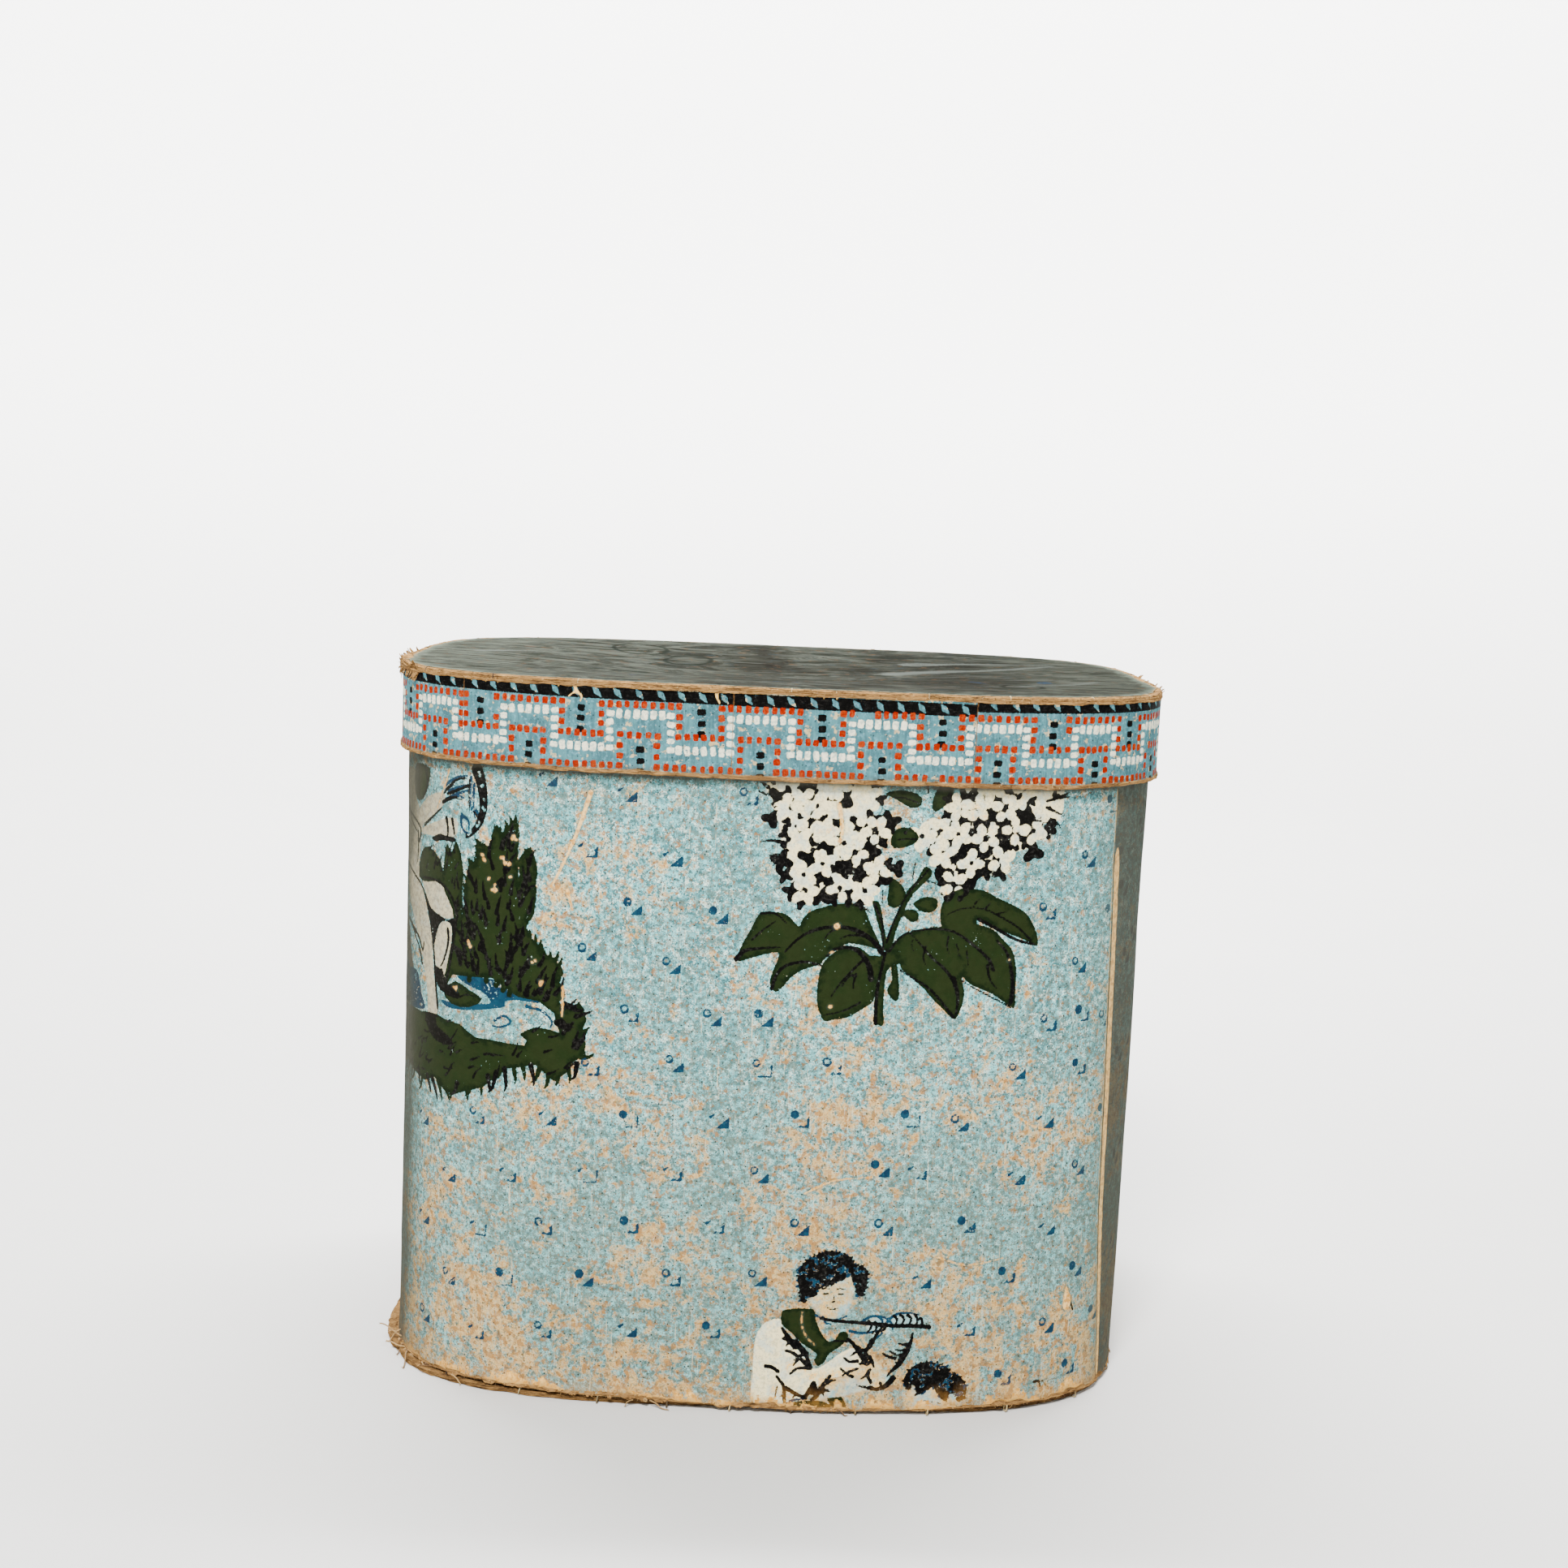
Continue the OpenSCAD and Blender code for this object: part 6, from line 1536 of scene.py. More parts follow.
def lid_rim_board():
    u = np.arange(NU) * LEN / NU
    lap = rim_lap_in(u)
    rows = []
    for z in (309.5, 316, 325, 335, 343, 346.3):
        rows.append(place(u, np.full(NU, z), 2.32 + lap, False))
    for k, (d, z) in enumerate([(1.9, 346.6), (1.3, 346.62), (0.7, 346.6), (0.42, 346.3)]):
        rows.append(place(u, np.full(NU, z), d + (lap if k < 1 else 0 * lap), False))
    for z in (343, 335, 325, 318, 314, 311.5, 310, 309):
        fl = 0.75 * math.exp(-(z - 307) / 2.6)
        rows.append(place(u, np.full(NU, float(z)), 0.44 - fl * (0.8 + 0.5 * along(u, 12, 511, 3)), False))
    z0 = 306.7 + 0.65 * along(u, 17, 513, 4, 0.6) + 0.35 * along(u, 4, 514, 3, 0.6)
    prof = [(-0.75, 1.3), (-0.95, 0.7), (-0.8, 0.25), (-0.3, 0.0), (0.4, 0.2), (1.0, 0.0), (1.6, 0.25), (2.25, 0.9)]
    for k, (d, dz) in enumerate(prof):
        rows.append(place(u, z0 + dz, d + 0.32 * along(u, 6, 521 + k, 3, 0.65) * (1 if k < 7 else 0) + (lap if k > 6 else 0 * lap), False))
    return lathe("lid_rim_board", np.array(rows), "lid", ["lid_rim"], M_BOARD_RIM, flip=True)


lid_rim_board()


def fray_at(u):
    """Where the lid's top edge is most broken: its two ends."""
    return 1.0 * near(u, -240, 34) + 0.35 * near(u, 250, 45) + 0.3 * near(u, -95, 8) + 0.3 * near(u, -30, 6)


def lid_top_board():
    u = np.arange(NU) * LEN / NU
    fr = fray_at(u)
    d0 = 0.15 - 0.75 * along(u, 22, 541, 4, 0.64) - 1.3 * fr * (0.4 + along(u, 8, 545, 3))
    z0 = 0.25 * along(u, 26, 547, 3)
    top = lambda xy, uu: 348.68 - sunk(xy, uu)
    edge, _ = disc_rows(u, d0 + 2.6, DISH, top)
    rows = edge
    prof = [(1.9, 348.80), (1.1, 348.98), (0.4, 348.95), (-0.1, 348.62), (-0.42, 348.2), (-0.22, 347.85), (-0.62, 347.5), (-0.40, 347.15), (-0.78, 346.75), (-0.84, 346.3), (-0.66, 345.9), (-0.36, 346.0), (-0.12, 346.5), (0.35, 346.78)]
    for k, (dd, z) in enumerate(prof):
        soft = 1.0 if k < 12 else 0.15
        dep = (d0 if k < 12 else np.minimum(d0, 0.1)) + dd + soft * (0.30 + 0.5 * fr) * along(u, 5, 551 + k, 3, 0.68)
        hang = 0.75 * along(u, 9, 591, 4, 0.66) - 0.5 * fr if 7 < k < 12 else 0.0
        zz = z + soft * ((0.16 + 0.30 * fr) * along(u, 7, 571 + k // 2, 3, 0.6) + z0 * 0.6 + hang) + (0.4 * fr if k < 7 else 0)
        rows.append(place(u, np.minimum(zz, 350.2), dep, False))
    low = lambda xy, uu: 346.68 - sunk(xy, uu)
    under, _ = disc_rows(u, d0 + 2.0, DISH[::-1], low)
    rows += under
    return lathe("lid_top_board_worn", np.array(rows), "lid", ["lid_top_board"], M_BOARD_LID,
                 poles=((0, 0, 342.2), (0, 0, 340.2)), flip=True, uv_kind="disc")


lid_top_board()


def lid_lining():
    n = NU // 2
    u = np.arange(n) * LEN / n
    e = 3.3 + 0.2 * along(u, 20, 581, 3)
    fr = DISH
    a, _ = disc_rows(u, e, fr, lambda xy, uu: 346.62 - sunk(xy, uu))
    b, _ = disc_rows(u, e, fr[::-1], lambda xy, uu: 346.36 - sunk(xy, uu) - 0.05 * noise2(xy[:, 0] / 14, xy[:, 1] / 14, 583))
    return lathe("lid_top_lining_paper", np.array(a + b), "lid", ["lid_top_lining"], M_LINING,
                 poles=((0, 0, 340.2), (0, 0, 339.9)), flip=True, uv_kind="disc")


lid_lining()


def field_xy(x, y, shapes):
    d = np.full(x.shape, -6.0)
    for kind, *a in shapes:
        if kind == "ring":
            s = sd_disc(x, y, *a)
        elif kind == "line":
            s = sd_stroke(x, y, rounded(a[0], 4, closed=False), *a[1:])
        else:
            s = sd_poly(x, y, rounded(a[0], 3))
        d = np.maximum(d, s)
    return np.clip(d, -6, 6)


def lid_paper():
    u = np.arange(NU) * LEN / NU
    fr = fray_at(u)
    e = 2.9 + 1.1 * along(u, 24, 601, 4, 0.62) + 0.5 * along(u, 6, 603, 3) + 2.4 * fr * np.maximum(0, along(u, 12, 605, 3))
    e = np.maximum(e, 0.9)
    M = 92
    q = np.concatenate([np.linspace(0.02, 0.90, M), np.linspace(0.90, 1.0, 16)[1:]])

    def top(xy, uu):
        w = 0.09 * noise2(xy[:, 0] / 38, xy[:, 1] / 9, 611) + 0.07 * noise2(xy[:, 0] / 13, xy[:, 1] / 6, 613) + 0.04 * noise2(xy[:, 0] / 5, xy[:, 1] / 3, 615)
        return 349.02 - sunk(xy, uu) + w

    a, edge = disc_rows(u, e, q, top)
    curl = 0.28 * np.maximum(0, along(u, 15, 617, 3))
    for k in range(1, 6):
        a[-k][:, 2] += curl * (1 - (k - 1) / 5) ** 2
    low = lambda xy, uu: 348.74 - sunk(xy, uu)
    b, _ = disc_rows(u, e + 0.05, DISH[::-1], low)
    rows = np.array(a + b)
    x, y = rows[..., 0], rows[..., 1]
    rim = np.concatenate([(1 - q)[:, None] * np.linalg.norm(edge, axis=1)[None], np.zeros((len(b), NU))])
    stain = field_xy(x, y, [("ring", -81, 85, 15, 22, 0.2), ("ring", -52, 47, 12, 20, -0.2), ("ring", 118, -66, 9, 14, 0.3), ("line", [(-120, -30), (-96, -38), (-70, -34)], 2.5, 1.0),
                            ("line", [(20, 96), (60, 92), (96, 99)], 3.0, 1.0), ("ring", -20, -84, 8, 12, 0.4)])
    pale = field_xy(x, y, [("line", [(60, 20), (95, 38), (132, 50), (150, 66)], 9, 3), ("line", [(70, 66), (110, 74), (150, 70)], 6, 2),
                           ("line", [(-160, 10), (-140, 30), (-120, 36)], 5, 1), ("line", [(120, -60), (145, -50), (160, -30)], 5, 2)])
    pink = field_xy(x, y, [("line", [(72, -82), (84, -80)], 3, 1.5), ("ring", -140, 60, 4, 6)])
    blue = field_xy(x, y, [("ring", -2, -86, 3.0, 5.0, 0.2), ("ring", 6, -80, 2.0, 4.0, 0.2), ("ring", 132, -40, 4, 7, 0.1), ("line", [(96, -30), (102, -44)], 2.0, 1.0), ("ring", -74, -66, 2.2, 3.5)])
    attrs = {"foot": np.clip(rim, 0, 200), "stain": stain, "pale": pale, "pink": pink, "blue": blue}
    return lathe("lid_top_paper_worn", rows, "lid", ["lid_top_paper"], M_LID, attrs,
                 poles=((0, 0, 342.6), (0, 0, 342.3)), flip=True, uv_kind="disc")


lid_paper()

# ---------------------------------------------------------------- the printed border
T_U = [-164, -142, -116.5, -92, -64, -36.5, -9, 18.5, 46.5, 73.5, 100, 126, 149.5, 171]
T_V = [0.32, 0.84, 1.32, 1.84, 2.32, 2.84, 3.32, 3.84, 4.32, 4.84, 5.32, 5.84, 6.32, 6.84]
PITCH = 52.0


def u_at(t):
    if t < T_V[0]:
        return T_U[0] + (t - T_V[0]) * PITCH
    if t > T_V[-1]:
        return T_U[-1] + (t - T_V[-1]) * PITCH
    return float(np.interp(t, T_V, T_U))


ORANGE_PATH = [(0.0, 338.7), (0.646, 338.7), (0.646, 324.8), (1.0, 324.8), (1.0, 338.7)]
WHITE_PATH = [(0.073, 334.2), (0.577, 334.2), (0.577, 318.7), (1.073, 318.7), (1.073, 334.2)]
LOWER_PATH = [(0.154, 324.8), (0.463, 324.8), (0.463, 310.4), (1.154, 310.4), (1.154, 324.8)]


def dots(path, at, flat, steep):
    """Evenly set points from corner to corner of a stepped path, and whether each is on an upright run."""
    out = []
    for (ta, za), (tb, zb) in zip(path[:-1], path[1:]):
        xa, xb = at(ta), at(tb)
        down = za != zb
        n = max(1, round(math.hypot(xb - xa, zb - za) / (steep if down else flat)))
        for k in range(n):
            out.append((xa + (xb - xa) * k / n, za + (zb - za) * k / n, down or k == 0))
    return out


def draw_border(pr, ua, ub, shift, rope_lo, rope_hi, seed):
    at0 = lambda t: u_at(t) + shift
    t0 = int(math.floor((ua - shift + 164) / PITCH)) - 3
    t1 = int(math.ceil((ub - shift + 164) / PITCH)) + 3
    for n in range(t0, t1):
        at = lambda t, n=n: at0(n + t)
        if at(1.2) < ua - 6 or at(0) > ub + 6:
            continue
        for k, (x, z, up) in enumerate(dots(ORANGE_PATH, at, 4.0, 4.6) + dots(LOWER_PATH, at, 4.0, 4.7)):
            j = lambda q: rand(n, k, q, seed) - 0.5
            if rand(n, k, 9) > 0.04:
                hx, hz = (1.5, 1.5) if up else (1.3, 1.65)
                pr.pad("orange", x + 0.45 * j(1), z + 0.45 * j(2), hx + 0.3 * j(3), hz + 0.3 * j(4), 0.75, 0.25 * j(5))
        for k, (x, z, up) in enumerate(dots(WHITE_PATH, at, 3.9, 4.0)):
            j = lambda q: rand(n, k, q, seed + 1) - 0.5
            hx, hz = (1.8, 1.3) if up else (1.38, 2.05)
            pr.pad("white", x + 0.4 * j(1), z + 0.4 * j(2), hx + 0.3 * j(3), hz + 0.3 * j(4), 0.8, 0.3 * j(5))
        for tt, zs in ((0.84, (336.4, 331.4, 326.4)), (0.32, (318.1, 313.1, 308.1))):
            for q, z in enumerate(zs):
                j = lambda r: rand(n, q, r, seed + 2) - 0.5
                pr.pad("ink", at(tt) + 0.5 * j(1), z + 0.4 * j(2), 1.9 + 0.3 * j(3), 1.5 + 0.3 * j(4), 0.8, 0.25 * j(5))
    xs = np.linspace(ua - 2, ub + 2, 24)
    band = [(x, rope_hi(x)) for x in xs] + [(x, rope_lo(x)) for x in xs[::-1]]
    pr.poly("ink", band, soft=False)
    x = ua - 4 + 4 * rand(seed, 7)
    k = 0
    while x < ub + 4:
        lo, hi = rope_lo(x), rope_hi(x)
        m = (lo + hi) / 2
        h = (hi - lo) * 0.36
        tilt = 2.0 + 0.8 * rand(k, seed, 8)
        pr.line("ink", [(x - 0.75 * tilt, m + 1.0 * h), (x - 0.2, m + 0.2)], 0.3, 1.35, cut=True)
        pr.line("ink", [(x - 0.2, m + 0.2), (x + 0.75 * tilt, m - 1.0 * h)], 1.35, 0.2, cut=True)
        x += 9.4 + 1.2 * rand(k, seed, 10)
        k += 1


BORDER_INKS = ("orange", "white", "ink", "scrap", "crack")


def strip(letter, c0, c1, shift, seed):
    ua, ub = u_of(c0), u_of(c1)
    fine = (0.5 if letter in "abc" else 0.75) * f
    cuts = [(ua, ub, fine)]
    if letter == "c":
        cuts = [(ua, 215, fine), (215, ub, 0.8 * f)]
    if letter == "d":
        cuts = [(ua, u_of(193) - 75, 0.9 * f), (u_of(193) - 75, ub, 0.55 * f)]
    K = 6
    us = grid_u(cuts, K)
    n = int(38.6 / (0.55 * f)) // K * K
    base = np.linspace(308.4, 346.9, n + 1)
    fr = fray_at(us)
    zb = 308.5 + 0.95 * along(us, 17, 701, 4, 0.66) + 0.9 * np.maximum(0, along(us, 5, 703, 3)) - 0.3
    zt = 346.9 - 0.5 * np.abs(along(us, 9, 705, 4, 0.62)) - 3.0 * fr * np.maximum(0, along(us, 11, 707, 3)) - 0.9 * near(us, -95, 2.5) - 1.2 * near(us, -30, 2.0)
    Z = base[:, None] + (zb - 308.4)[None] * (1 - step(308.4, 316, base))[:, None] + (zt - 346.9)[None] * step(337, 346.9, base)[:, None]
    U = np.broadcast_to(us[None], Z.shape).copy()
    for end, sgn in ((ua, 1), (ub, -1)):
        s = 1 - step(0, 14.0, np.abs(us - end))
        U += s[None] * 0.35 * along(Z, 7, 711 + seed, 3, 0.6)
    pr = Print(us, base, U, Z, BORDER_INKS)
    if letter in "ab" or letter == "d":
        hi = lambda x: 347.4 - 0.0095 * (x + 150 if x < 400 else x - LEN + 150)
        lo = lambda x: 341.2 - 0.0080 * (x + 150 if x < 400 else x - LEN + 150)
    elif letter == "c":
        hi, lo = lambda x: 348.6 + 0.004 * (x - 93), lambda x: 341.6 + 0.002 * (x - 93)
    else:
        hi, lo = lambda x: 346.2 + 0.3 * math.sin(x / 40), lambda x: 340.4 + 0.3 * math.sin(x / 40)
    draw_border(pr, ua, ub, shift, lo, hi, seed)
    for k in range(60):  # traces of the next pattern left along the trimmed top edge
        x = ua + (ub - ua) * rand(k, seed, 31)
        if hi(x) < 346.6:
            pr.disc("scrap", x, 346.6 + 0.6 * rand(k, 32), 2.5 + 3 * rand(k, 33), 0.8)
    if letter == "a":
        pr.line("crack", [(-96, 347.5), (-94.5, 344), (-92, 341.5), (-92.5, 339)], 0.8, 0.15)
        pr.line("crack", [(-94.5, 344), (-98, 341)], 0.4, 0.1)
        pr.line("crack", [(-29.5, 347.5), (-30, 344), (-28.5, 341)], 0.8, 0.15)
    for k in range(5):
        x = ua + (ub - ua) * rand(k, seed, 41)
        pr.line("crack", [(x, 347.4), (x + 2 * rand(k, 42) - 1, 345.2)], 0.7, 0.1)
    # cockles: mostly upright wrinkles in the damp-pasted paper
    w = 0.085 * along(U, 5.5, 721, 3, 0.62, v=Z, vsize=26) + 0.035 * along(U, 1.9, 731, 2, 0.6, v=Z, vsize=10) + 0.05 * along(U, 15, 741, 2, v=Z, vsize=16)
    hb, ht = Z - zb[None], zt[None] - Z
    curl = 0.5 * np.exp(-hb / 1.6) * (0.4 + np.maximum(0, along(us, 9, 751, 3)))[None] + 0.4 * np.exp(-ht / 1.2) * np.maximum(0, along(us, 6, 753, 3))[None] * (0.5 + 2 * fr)[None]
    ends = np.minimum(np.abs(U - ua), np.abs(U - ub))
    lift = {"a": 0.10, "b": 0.0, "c": 0.12, "d": 0.0, "e": 0.10, "f": 0.0}[letter]
    d = 0.06 - lift - w - curl + 0.10 * (1 - step(0, 1.2, ends))
    outer = place(U, Z, d, False)

    def inner(rs, cs):
        return place(U[rs, cs], Z[rs, cs], np.maximum(d[rs, cs] + 0.26, 0.30), False)

    attrs = {"uz": np.stack([U + 37 * seed, Z, np.zeros_like(U)], -1), "foot": hb, "top": ht + 0.35, "join": ends}
    attrs.update(pr.ink)
    return leaf_sheet("border_strip_" + letter + "_printed", outer, inner, K, K, "lid", ["border_strip_" + letter], M_BORDER, attrs)


strip("a", 73, 87, 0.0, 1)
strip("b", 87, 101, 0.0, 2)
strip("c", 101, 131, 0.0, 3)
strip("f", 131, 151, 19.0, 4)
strip("e", 151, 172, -7.0, 5)
strip("d", 172, 193, LEN % PITCH - 2.0, 6)


# ---------------------------------------------------------------- thread
def loop_path(u, pts, box, lean=0.0, n=4):
    """A stitch through the board: a closed run of (depth, height) points at arc u."""
    p = rounded(np.array(pts, float), n)
    uu = u + lean * (p[:, 1] - p[:, 1].mean())
    return place(uu, p[:, 1], p[:, 0], box)


def side_u(k):
    return (u_of(k) + u_of(k + 1)) / 2


paths = []
for k in range(0, 120, 4):
    r = 0.5 * (rand(k, 801) - 0.5)
    paths.append(loop_path(side_u(k), [(4.35, 8.3), (4.2, 5.2), (3.55 + r, 3.2), (2.9, 1.9), (3.2, 0.75), (4.2, 0.5), (5.6, 0.5), (6.1, 1.6), (6.0, 4.5), (5.9, 8.2), (5.2, 8.9)], True, 0.10 + 0.15 * rand(k, 802)))
tubes("bottom_stitches_thread", paths, [0.34] * len(paths), "box", ["bottom_stitches"], M_THREAD, closed=True)
paths = []
for z in np.arange(24, 340, 24.0):
    paths.append(loop_path(side_u(110), [(4.3, z), (4.3, z + 9), (6.2, z + 9), (7.35, z + 9), (7.35, z), (6.2, z)], True, 0.05))
tubes("wall_seam_thread", paths, [0.3] * len(paths), "box", ["wall_seam_stitches"], M_THREAD, closed=True)
paths = []
for k in range(2, 119, 4):
    r = rand(k, 811)
    paths.append(loop_path(side_u(k), [(0.80, 341.0), (0.80, 344.5), (0.25, 346.6), (-0.05, 347.7), (0.3, 348.7), (1.1, 349.0), (2.1, 348.9), (2.5, 347.6), (2.1, 344), (1.9, 341.0)], False, 0.25 * (r - 0.3)))
tubes("lid_edge_thread", paths, [0.32] * len(paths), "lid", ["lid_edge_stitches"], M_THREAD, closed=True)
paths = []
for z in (310.5, 320.5, 330.5):
    paths.append(loop_path(side_u(31), [(0.85, z), (0.85, z + 6), (1.8, z + 6), (2.75, z + 6), (2.75, z), (1.8, z)], False, 0.05))
tubes("lid_rim_seam_thread", paths, [0.28] * len(paths), "lid", ["lid_rim_seam_stitches"], M_THREAD, closed=True)


def strand(u, z, d, length, au, az, out, seed, box, n=7, droop=0.0):
    """A loose fibre from a point on the edge, wandering off at (au, az) and out."""
    pts, wid = [], []
    for i in range(n):
        s = i / (n - 1)
        w1 = 0.35 * length * s * math.sin(3.1 * s + 6.28 * rand(seed, 1)) * (rand(seed, 2) - 0.3)
        w2 = 0.35 * length * s * math.sin(4.3 * s + 6.28 * rand(seed, 3)) * (rand(seed, 4) - 0.3)
        zz = z + az * length * s + w2 - droop * s * s
        pts.append(place(u + au * length * s + w1, max(zz, 0.42) if box else zz, d - out * length * s, box))
        wid.append(1.0 - 0.65 * s)
    return np.array(pts), np.array(wid)


def strands(name, items, body, material, sides=5):
    tubes(name, [p for p, _ in items], [w for _, w in items], body, [], material, sides=sides)


def edge_frays():
    items = []
    for k in range(260):
        u = LEN * rand(k, 821)
        z = float(foot_z(np.array([u]))[0]) + 0.3
        L = 0.8 + 2.0 * rand(k, 822) ** 2
        p, w = strand(u, z, 3.7 + 1.2 * rand(k, 823) - 0.9, L, rand(k, 824) - 0.5, -0.25 - 0.4 * rand(k, 825), 0.25 * rand(k, 826), 5000 + k, True)
        items.append((p, w * (0.07 + 0.09 * rand(k, 827))))
    # loose thread ends at the lower left and under the front edge
    for k, (u, z, L, au, az, out, r) in enumerate([(-196, 3.6, 11, -0.5, 0.15, 0.5, 0.36), (-201, 2.2, 8, 0.7, -0.05, 0.5, 0.34), (-176, 3.0, 9, 0.8, -0.15, 0.3, 0.33),
                                                   (-168, 3.2, 7, -0.6, 0.2, 0.4, 0.33), (-154, 3.2, 8, 0.9, -0.1, 0.2, 0.32), (-208, 8.0, 12, -0.3, -0.6, 0.5, 0.36), (-204, 6.0, 14, -0.7, 0.35, 0.7, 0.34), (-211, 5.0, 9, 0.4, 0.5, 0.6, 0.30), (-192, 3.4, 13, 0.9, -0.08, 0.6, 0.36), (-50, 3.6, 10, 0.9, -0.22, 0.18, 0.34), (-58, 3.4, 5, -0.8, -0.2, 0.2, 0.3), (40, 3.0, 5, 0.9, -0.2, 0.15, 0.28)]):
        p, w = strand(u, z, 3.2, L, au, az, out, 6000 + k, True, 10, 1.5)
        items.append((p, np.full(len(w), r)))
        for q in range(4):  # the frayed tip
            e = p[-1]
            tip = np.array([e + np.array([rand(k, q, 1) - 0.5, rand(k, q, 2) - 0.7, 0.5 * rand(k, q, 3) - 0.2]) * 2.6 * s for s in np.linspace(0, 1, 5)])
            tip[:, 2] = np.maximum(tip[:, 2], 0.15)
            items.append((tip, 0.14 * (1 - 0.6 * np.linspace(0, 1, 5))))
    # knots of thread
    for k, (u, z) in enumerate([(-199, 3.4), (-203, 4.6), (-195, 2.6), (-172, 3.0), (-206, 3.2), (-186, 2.8), (-52, 3.8)]):
        c = place(u, z, 3.0, True)
        t = np.linspace(0, 4 * math.pi, 26)
        items.append((c + np.stack([0.75 * np.cos(t), 0.55 * np.sin(t) * np.cos(t / 2), 0.62 * np.sin(t + k)], -1), np.full(26, 0.33)))
    strands("box_frays", items, "box", M_FIBRE)
    items = []
    for k in range(700):
        near_end = k % 3
        u = (-236 + 80 * (rand(k, 841) - 0.5)) if near_end == 0 else ((262 + 100 * (rand(k, 841) - 0.5)) if near_end == 1 else LEN * rand(k, 841))
        hang = rand(k, 842)
        L = (0.8 + 3.0 * rand(k, 843) ** 2) * (1.7 if near_end == 0 else 0.9)
        if hang < 0.75:
            p, w = strand(u, 346.9 + 1.6 * rand(k, 844), 0.2 - 0.3 * rand(k, 845), L, rand(k, 846) - 0.5, -0.5 + 0.75 * rand(k, 847), 0.18 + 0.3 * rand(k, 848), 7000 + k, False)
        else:
            p, w = strand(u, 307.2, 0.2 + 1.4 * rand(k, 849), 0.6 * L, rand(k, 850) - 0.5, -0.4, 0.1, 9000 + k, False)
        items.append((p, w * (0.07 + 0.13 * rand(k, 851))))
    for k, (u, L) in enumerate([(-241, 7), (-248, 9), (-256, 6), (-262, 8), (-236, 5), (-270, 7), (-229, 6), (236, 5), (246, 6)]):
        p, w = strand(u, 346.6, -0.1, L, 0.5 - rand(k, 861), -0.8, 0.12, 9500 + k, False, 9)
        items.append((p, w * 0.26))
    strands("lid_frays", items, "lid", M_FIBRE)


edge_frays()


def flake(verts, loops, sizes, uvs, u, z, d, w, h, tilt_out, seed, box, cell, cells):
    """A lifted scale of torn board: a small bent sheet with ragged edges, closed."""
    n, m = 7, 5
    base = len(verts)
    grid = []
    for side in (0, 1):
        for i in range(m):
            for j in range(n):
                s, t = j / (n - 1) * 2 - 1, i / (m - 1)
                ww = w * (1 - 0.55 * t ** 1.5) * (1 + 0.25 * (rand(seed, i, 3) - 0.5))
                hh = h * (1 + 0.35 * (rand(seed, j, 4) - 0.5))
                out = tilt_out * t + 0.35 * tilt_out * t * t - 0.12 * side + 0.12 * (rand(seed, i, j, 5) - 0.5) * t
                p = place(u + s * ww / 2, z + t * hh * (1 if h > 0 else 1), d - out, box)
                grid.append(p)
    verts.extend(grid)
    idx = base + np.arange(2 * m * n).reshape(2, m, n)
    cx, cy, c = (cell % cells) / cells, (cell // cells) / cells, 1 / cells
    uvp = lambda i, j, s: (cx + c * (0.05 + 0.42 * j / (n - 1) + 0.48 * s), cy + c * (0.06 + 0.88 * i / (m - 1)))
    turn = h < 0
    for s in (0, 1):
        for i in range(m - 1):
            for j in range(n - 1):
                q = [(i, j), (i, j + 1), (i + 1, j + 1), (i + 1, j)]
                if (s == 1) != turn:
                    q = q[::-1]
                loops.extend(int(idx[s][a]) for a in q)
                uvs.extend(uvp(a[0], a[1], s) for a in q)
                sizes.append(4)
    ring = [(0, j) for j in range(n)] + [(i, n - 1) for i in range(1, m)] + [(m - 1, j) for j in range(n - 2, -1, -1)] + [(i, 0) for i in range(m - 2, 0, -1)]
    for a, b in zip(ring, ring[1:] + ring[:1]):
        q = [(0, b), (0, a), (1, a), (1, b)]
        if turn:
            q = q[::-1]
        loops.extend(int(idx[s][p]) for s, p in q)
        uvs.extend(uvp(p[0], p[1], 0) for s, p in q)
        sizes.append(4)


def flakes(name, items, body, material, box):
    verts, loops, sizes, uvs = [], [], [], []
    cells = math.ceil(math.sqrt(len(items)))
    for k, it in enumerate(items):
        flake(verts, loops, sizes, uvs, *it, 12000 + k, box, k, cells)
    build(name, verts, [(np.array(loops), np.array(sizes), np.array(uvs))], body, (), material)


items = []
for k in range(86):
    u = (-236 + 100 * (rand(k, 871) - 0.5)) if k < 60 else 262 + 90 * (rand(k, 871) - 0.5)
    g = 1.35 if k < 60 else 1.0
    items.append((u, 346.2 + 1.6 * rand(k, 872), 0.15, g * (2 + 4 * rand(k, 873)), g * (1.0 + 1.7 * rand(k, 874)) * (1 if rand(k, 875) > 0.4 else -1.6), g * (0.5 + 1.0 * rand(k, 876))))
for k in range(30):
    items.append((LEN * rand(k, 881), 346.7 + 1.2 * rand(k, 882), 0.15, 1.5 + 3 * rand(k, 883), 0.6 + 0.8 * rand(k, 884), 0.25 + 0.4 * rand(k, 885)))
flakes("lid_edge_flakes", items, "lid", M_BOARD_LID, False)
items = []
for k in range(60):
    u = -120 + 330 * (rand(k, 891) - 0.5) if k < 34 else LEN * rand(k, 891)
    z = float(foot_z(np.array([u]))[0])
    items.append((u, z + 2.4, 3.45, 3 + 7 * rand(k, 892), -(1.4 + 1.6 * rand(k, 893)), 0.25 + 0.5 * rand(k, 894)))
flakes("box_foot_flakes", items, "box", M_BOARD, True)

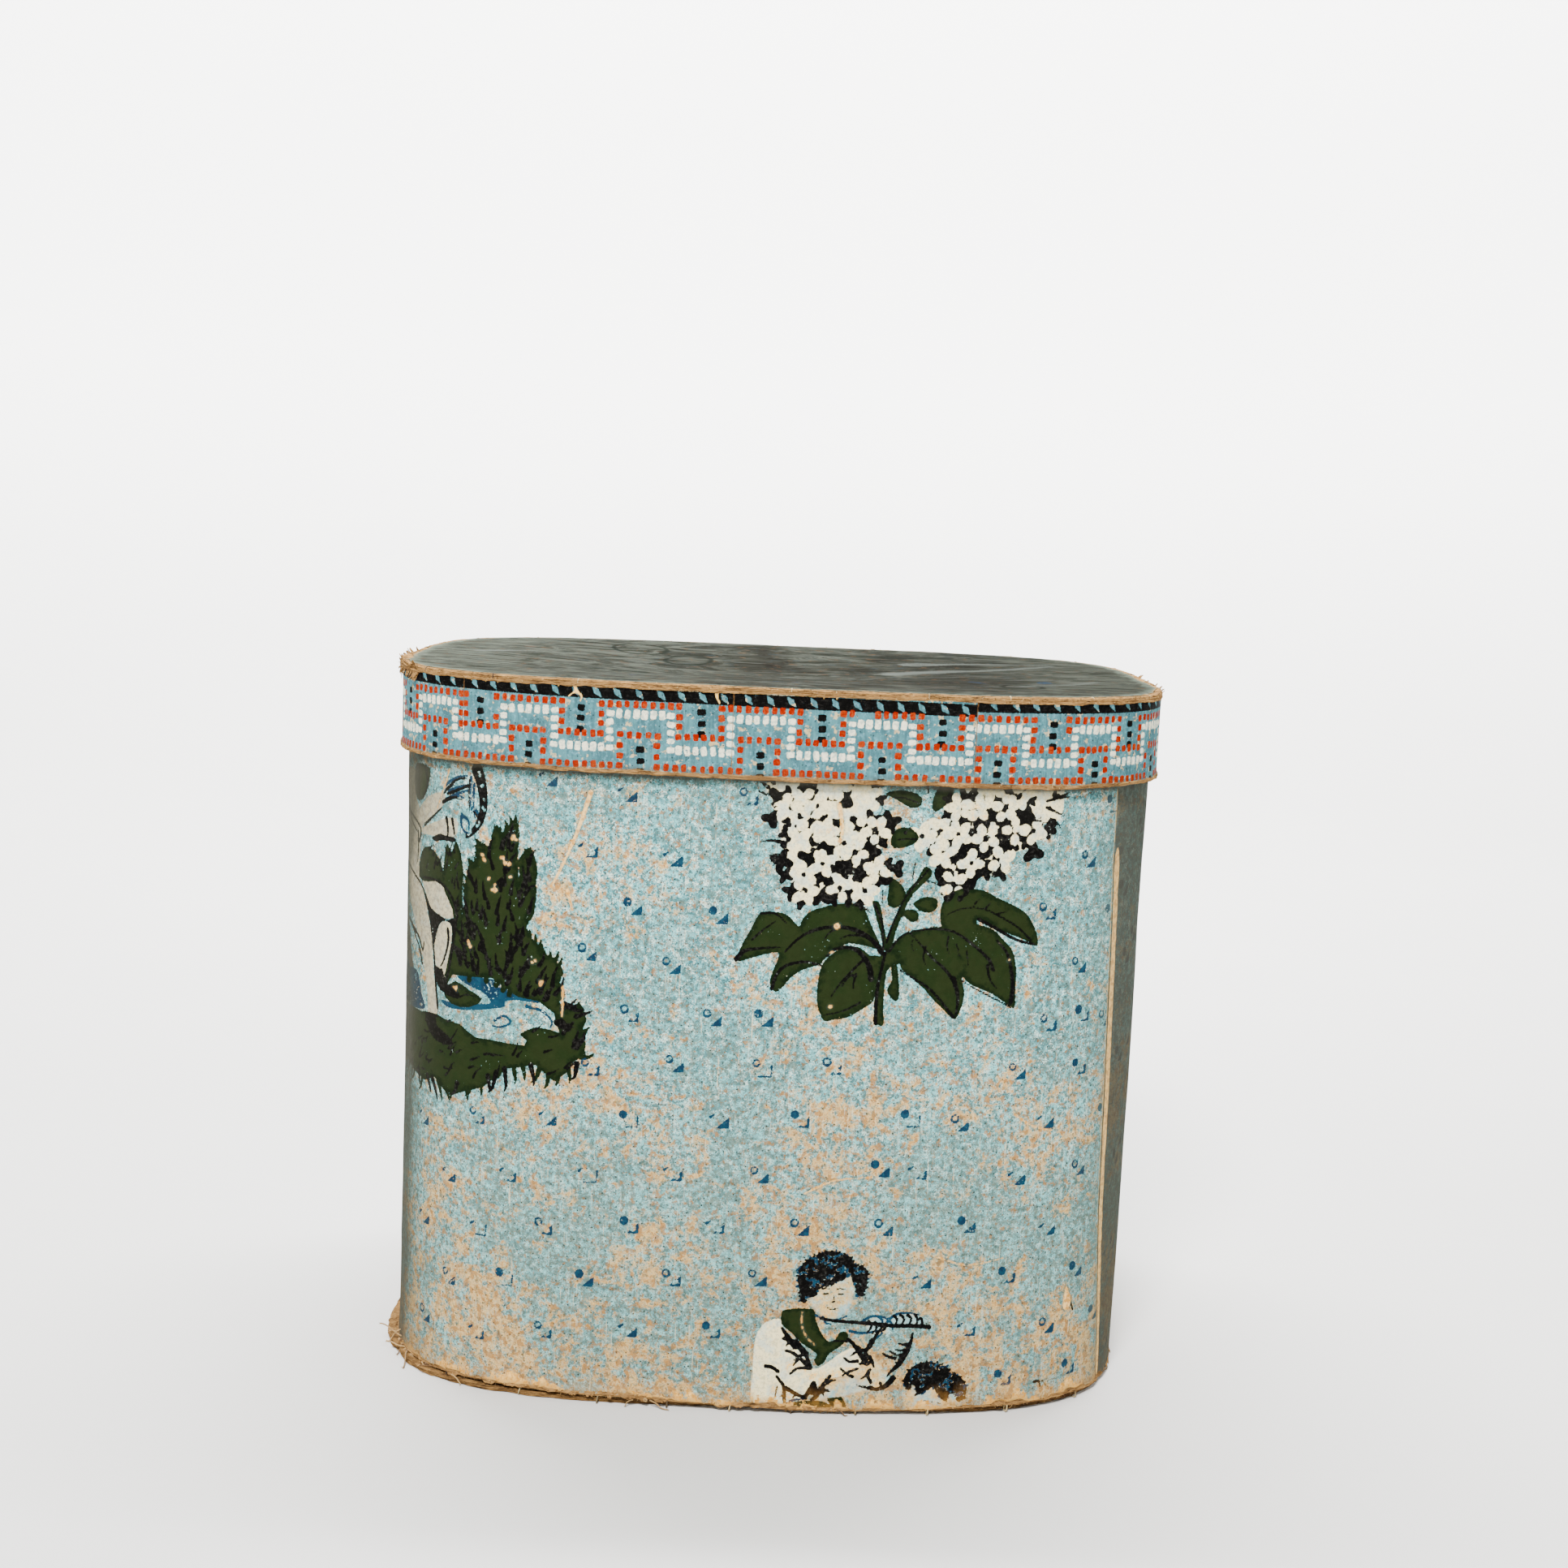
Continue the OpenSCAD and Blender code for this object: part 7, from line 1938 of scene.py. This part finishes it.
# ---------------------------------------------------------------- floor, camera, light
def studio_floor():
    prof = [(0.02, 0.0), (0.4, 0.0), (0.8, 0.0), (1.2, 0.0), (1.6, 0.0)]
    for a in np.linspace(0, 90, 13)[1:]:
        t = math.radians(a)
        prof.append((1.6 + 1.1 * math.sin(t), 1.1 * (1 - math.cos(t))))
    prof += [(2.7, 1.6), (2.7, 2.2), (2.7, 3.0)]
    C = 96
    ang = 2 * math.pi * np.arange(C) / C
    rows = np.array([[(r * math.cos(t), r * math.sin(t), z) for t in ang] for r, z in prof])
    R = len(rows)
    verts = [tuple(v) for v in rows.reshape(-1, 3)] + [(0, 0, 0)]
    faces = []
    for i in range(R - 1):
        for j in range(C):
            k = (j + 1) % C
            faces.append((i * C + j, (i + 1) * C + j, (i + 1) * C + k, i * C + k))
    for j in range(C):
        faces.append((R * C, j, (j + 1) % C))
    me = bpy.data.meshes.new("studio_floor")
    me.from_pydata(verts, [], faces)
    me.polygons.foreach_set("use_smooth", np.ones(len(faces), bool))
    me.update()
    o = bpy.data.objects.new("studio_floor", me)
    bpy.context.scene.collection.objects.link(o)
    t = Tree("studio_paper")
    v = t.object_mm()
    n = t.noise(v, 300.0, 2.0)
    col = t.mix(n, (0.60, 0.595, 0.585), (0.64, 0.635, 0.625))
    x, y, z = t.split(v)
    wall = t.mix(t.smooth(y, 1900.0, 300.0), (0.88, 0.88, 0.87), (0.42, 0.42, 0.415))
    col = t.mix(t.smooth(z, 0.0, 700.0), col, wall)
    me.materials.append(t.finish(col, 0.9, t.noise(v, 4.0, 3.0), 0.05, 0.0002, 0.1))
    return o


studio_floor()

world = bpy.data.worlds.new("studio")
bpy.context.scene.world = world
world.use_nodes = True
bg = world.node_tree.nodes["Background"]
bg.inputs[0].default_value = (0.93, 0.97, 1.0, 1.0)
bg.inputs[1].default_value = 0.11


def area(name, loc, aim, size, power, color=(1, 1, 1)):
    d = bpy.data.lights.new(name, "AREA")
    d.shape, d.size, d.size_y = "RECTANGLE", size[0], size[1]
    d.energy, d.color = power, color
    o = bpy.data.objects.new(name, d)
    o.location = loc
    o.rotation_euler = (Vector(aim) - Vector(loc)).to_track_quat("-Z", "Y").to_euler()
    o.visible_camera = False
    bpy.context.scene.collection.objects.link(o)
    return o


area("key", (-0.30, -1.45, 1.85), (0.0, -0.1, 0.18), (0.42, 0.34), 112, (1.0, 0.985, 0.96))
area("top", (0.0, 0.2, 2.75), (0, 0.2, 0), (1.4, 1.2), 6, (1.0, 1.0, 1.0))
area("rear", (0.0, 0.7, 2.5), (0.0, 2.6, 0.9), (2.2, 0.6), 430, (1.0, 1.0, 1.0))

PITCH_DOWN, ROLL, YAW = 0.140, 0.042, 0.006
turn = Matrix.Rotation(-YAW, 3, "Z")
c0 = turn @ Vector((0.003011, -1.032778, 0.431052))
r0, u0 = Vector((1, 0, 0)), Vector((0, math.sin(PITCH_DOWN), math.cos(PITCH_DOWN)))
fwd = turn @ Vector((0, math.cos(PITCH_DOWN), -math.sin(PITCH_DOWN)))
right = turn @ (r0 * math.cos(ROLL) + u0 * math.sin(ROLL))
up = turn @ (-r0 * math.sin(ROLL) + u0 * math.cos(ROLL))
cam_data = bpy.data.cameras.new("camera")
cam_data.sensor_width, cam_data.sensor_fit, cam_data.lens = 36.0, "HORIZONTAL", 45.25
cam_data.clip_start, cam_data.clip_end = 0.02, 20.0
cam = bpy.data.objects.new("camera", cam_data)
m = Matrix((right, up, -fwd)).transposed().to_4x4()
m.translation = c0
cam.matrix_world = m
bpy.context.scene.collection.objects.link(cam)
bpy.context.scene.camera = cam
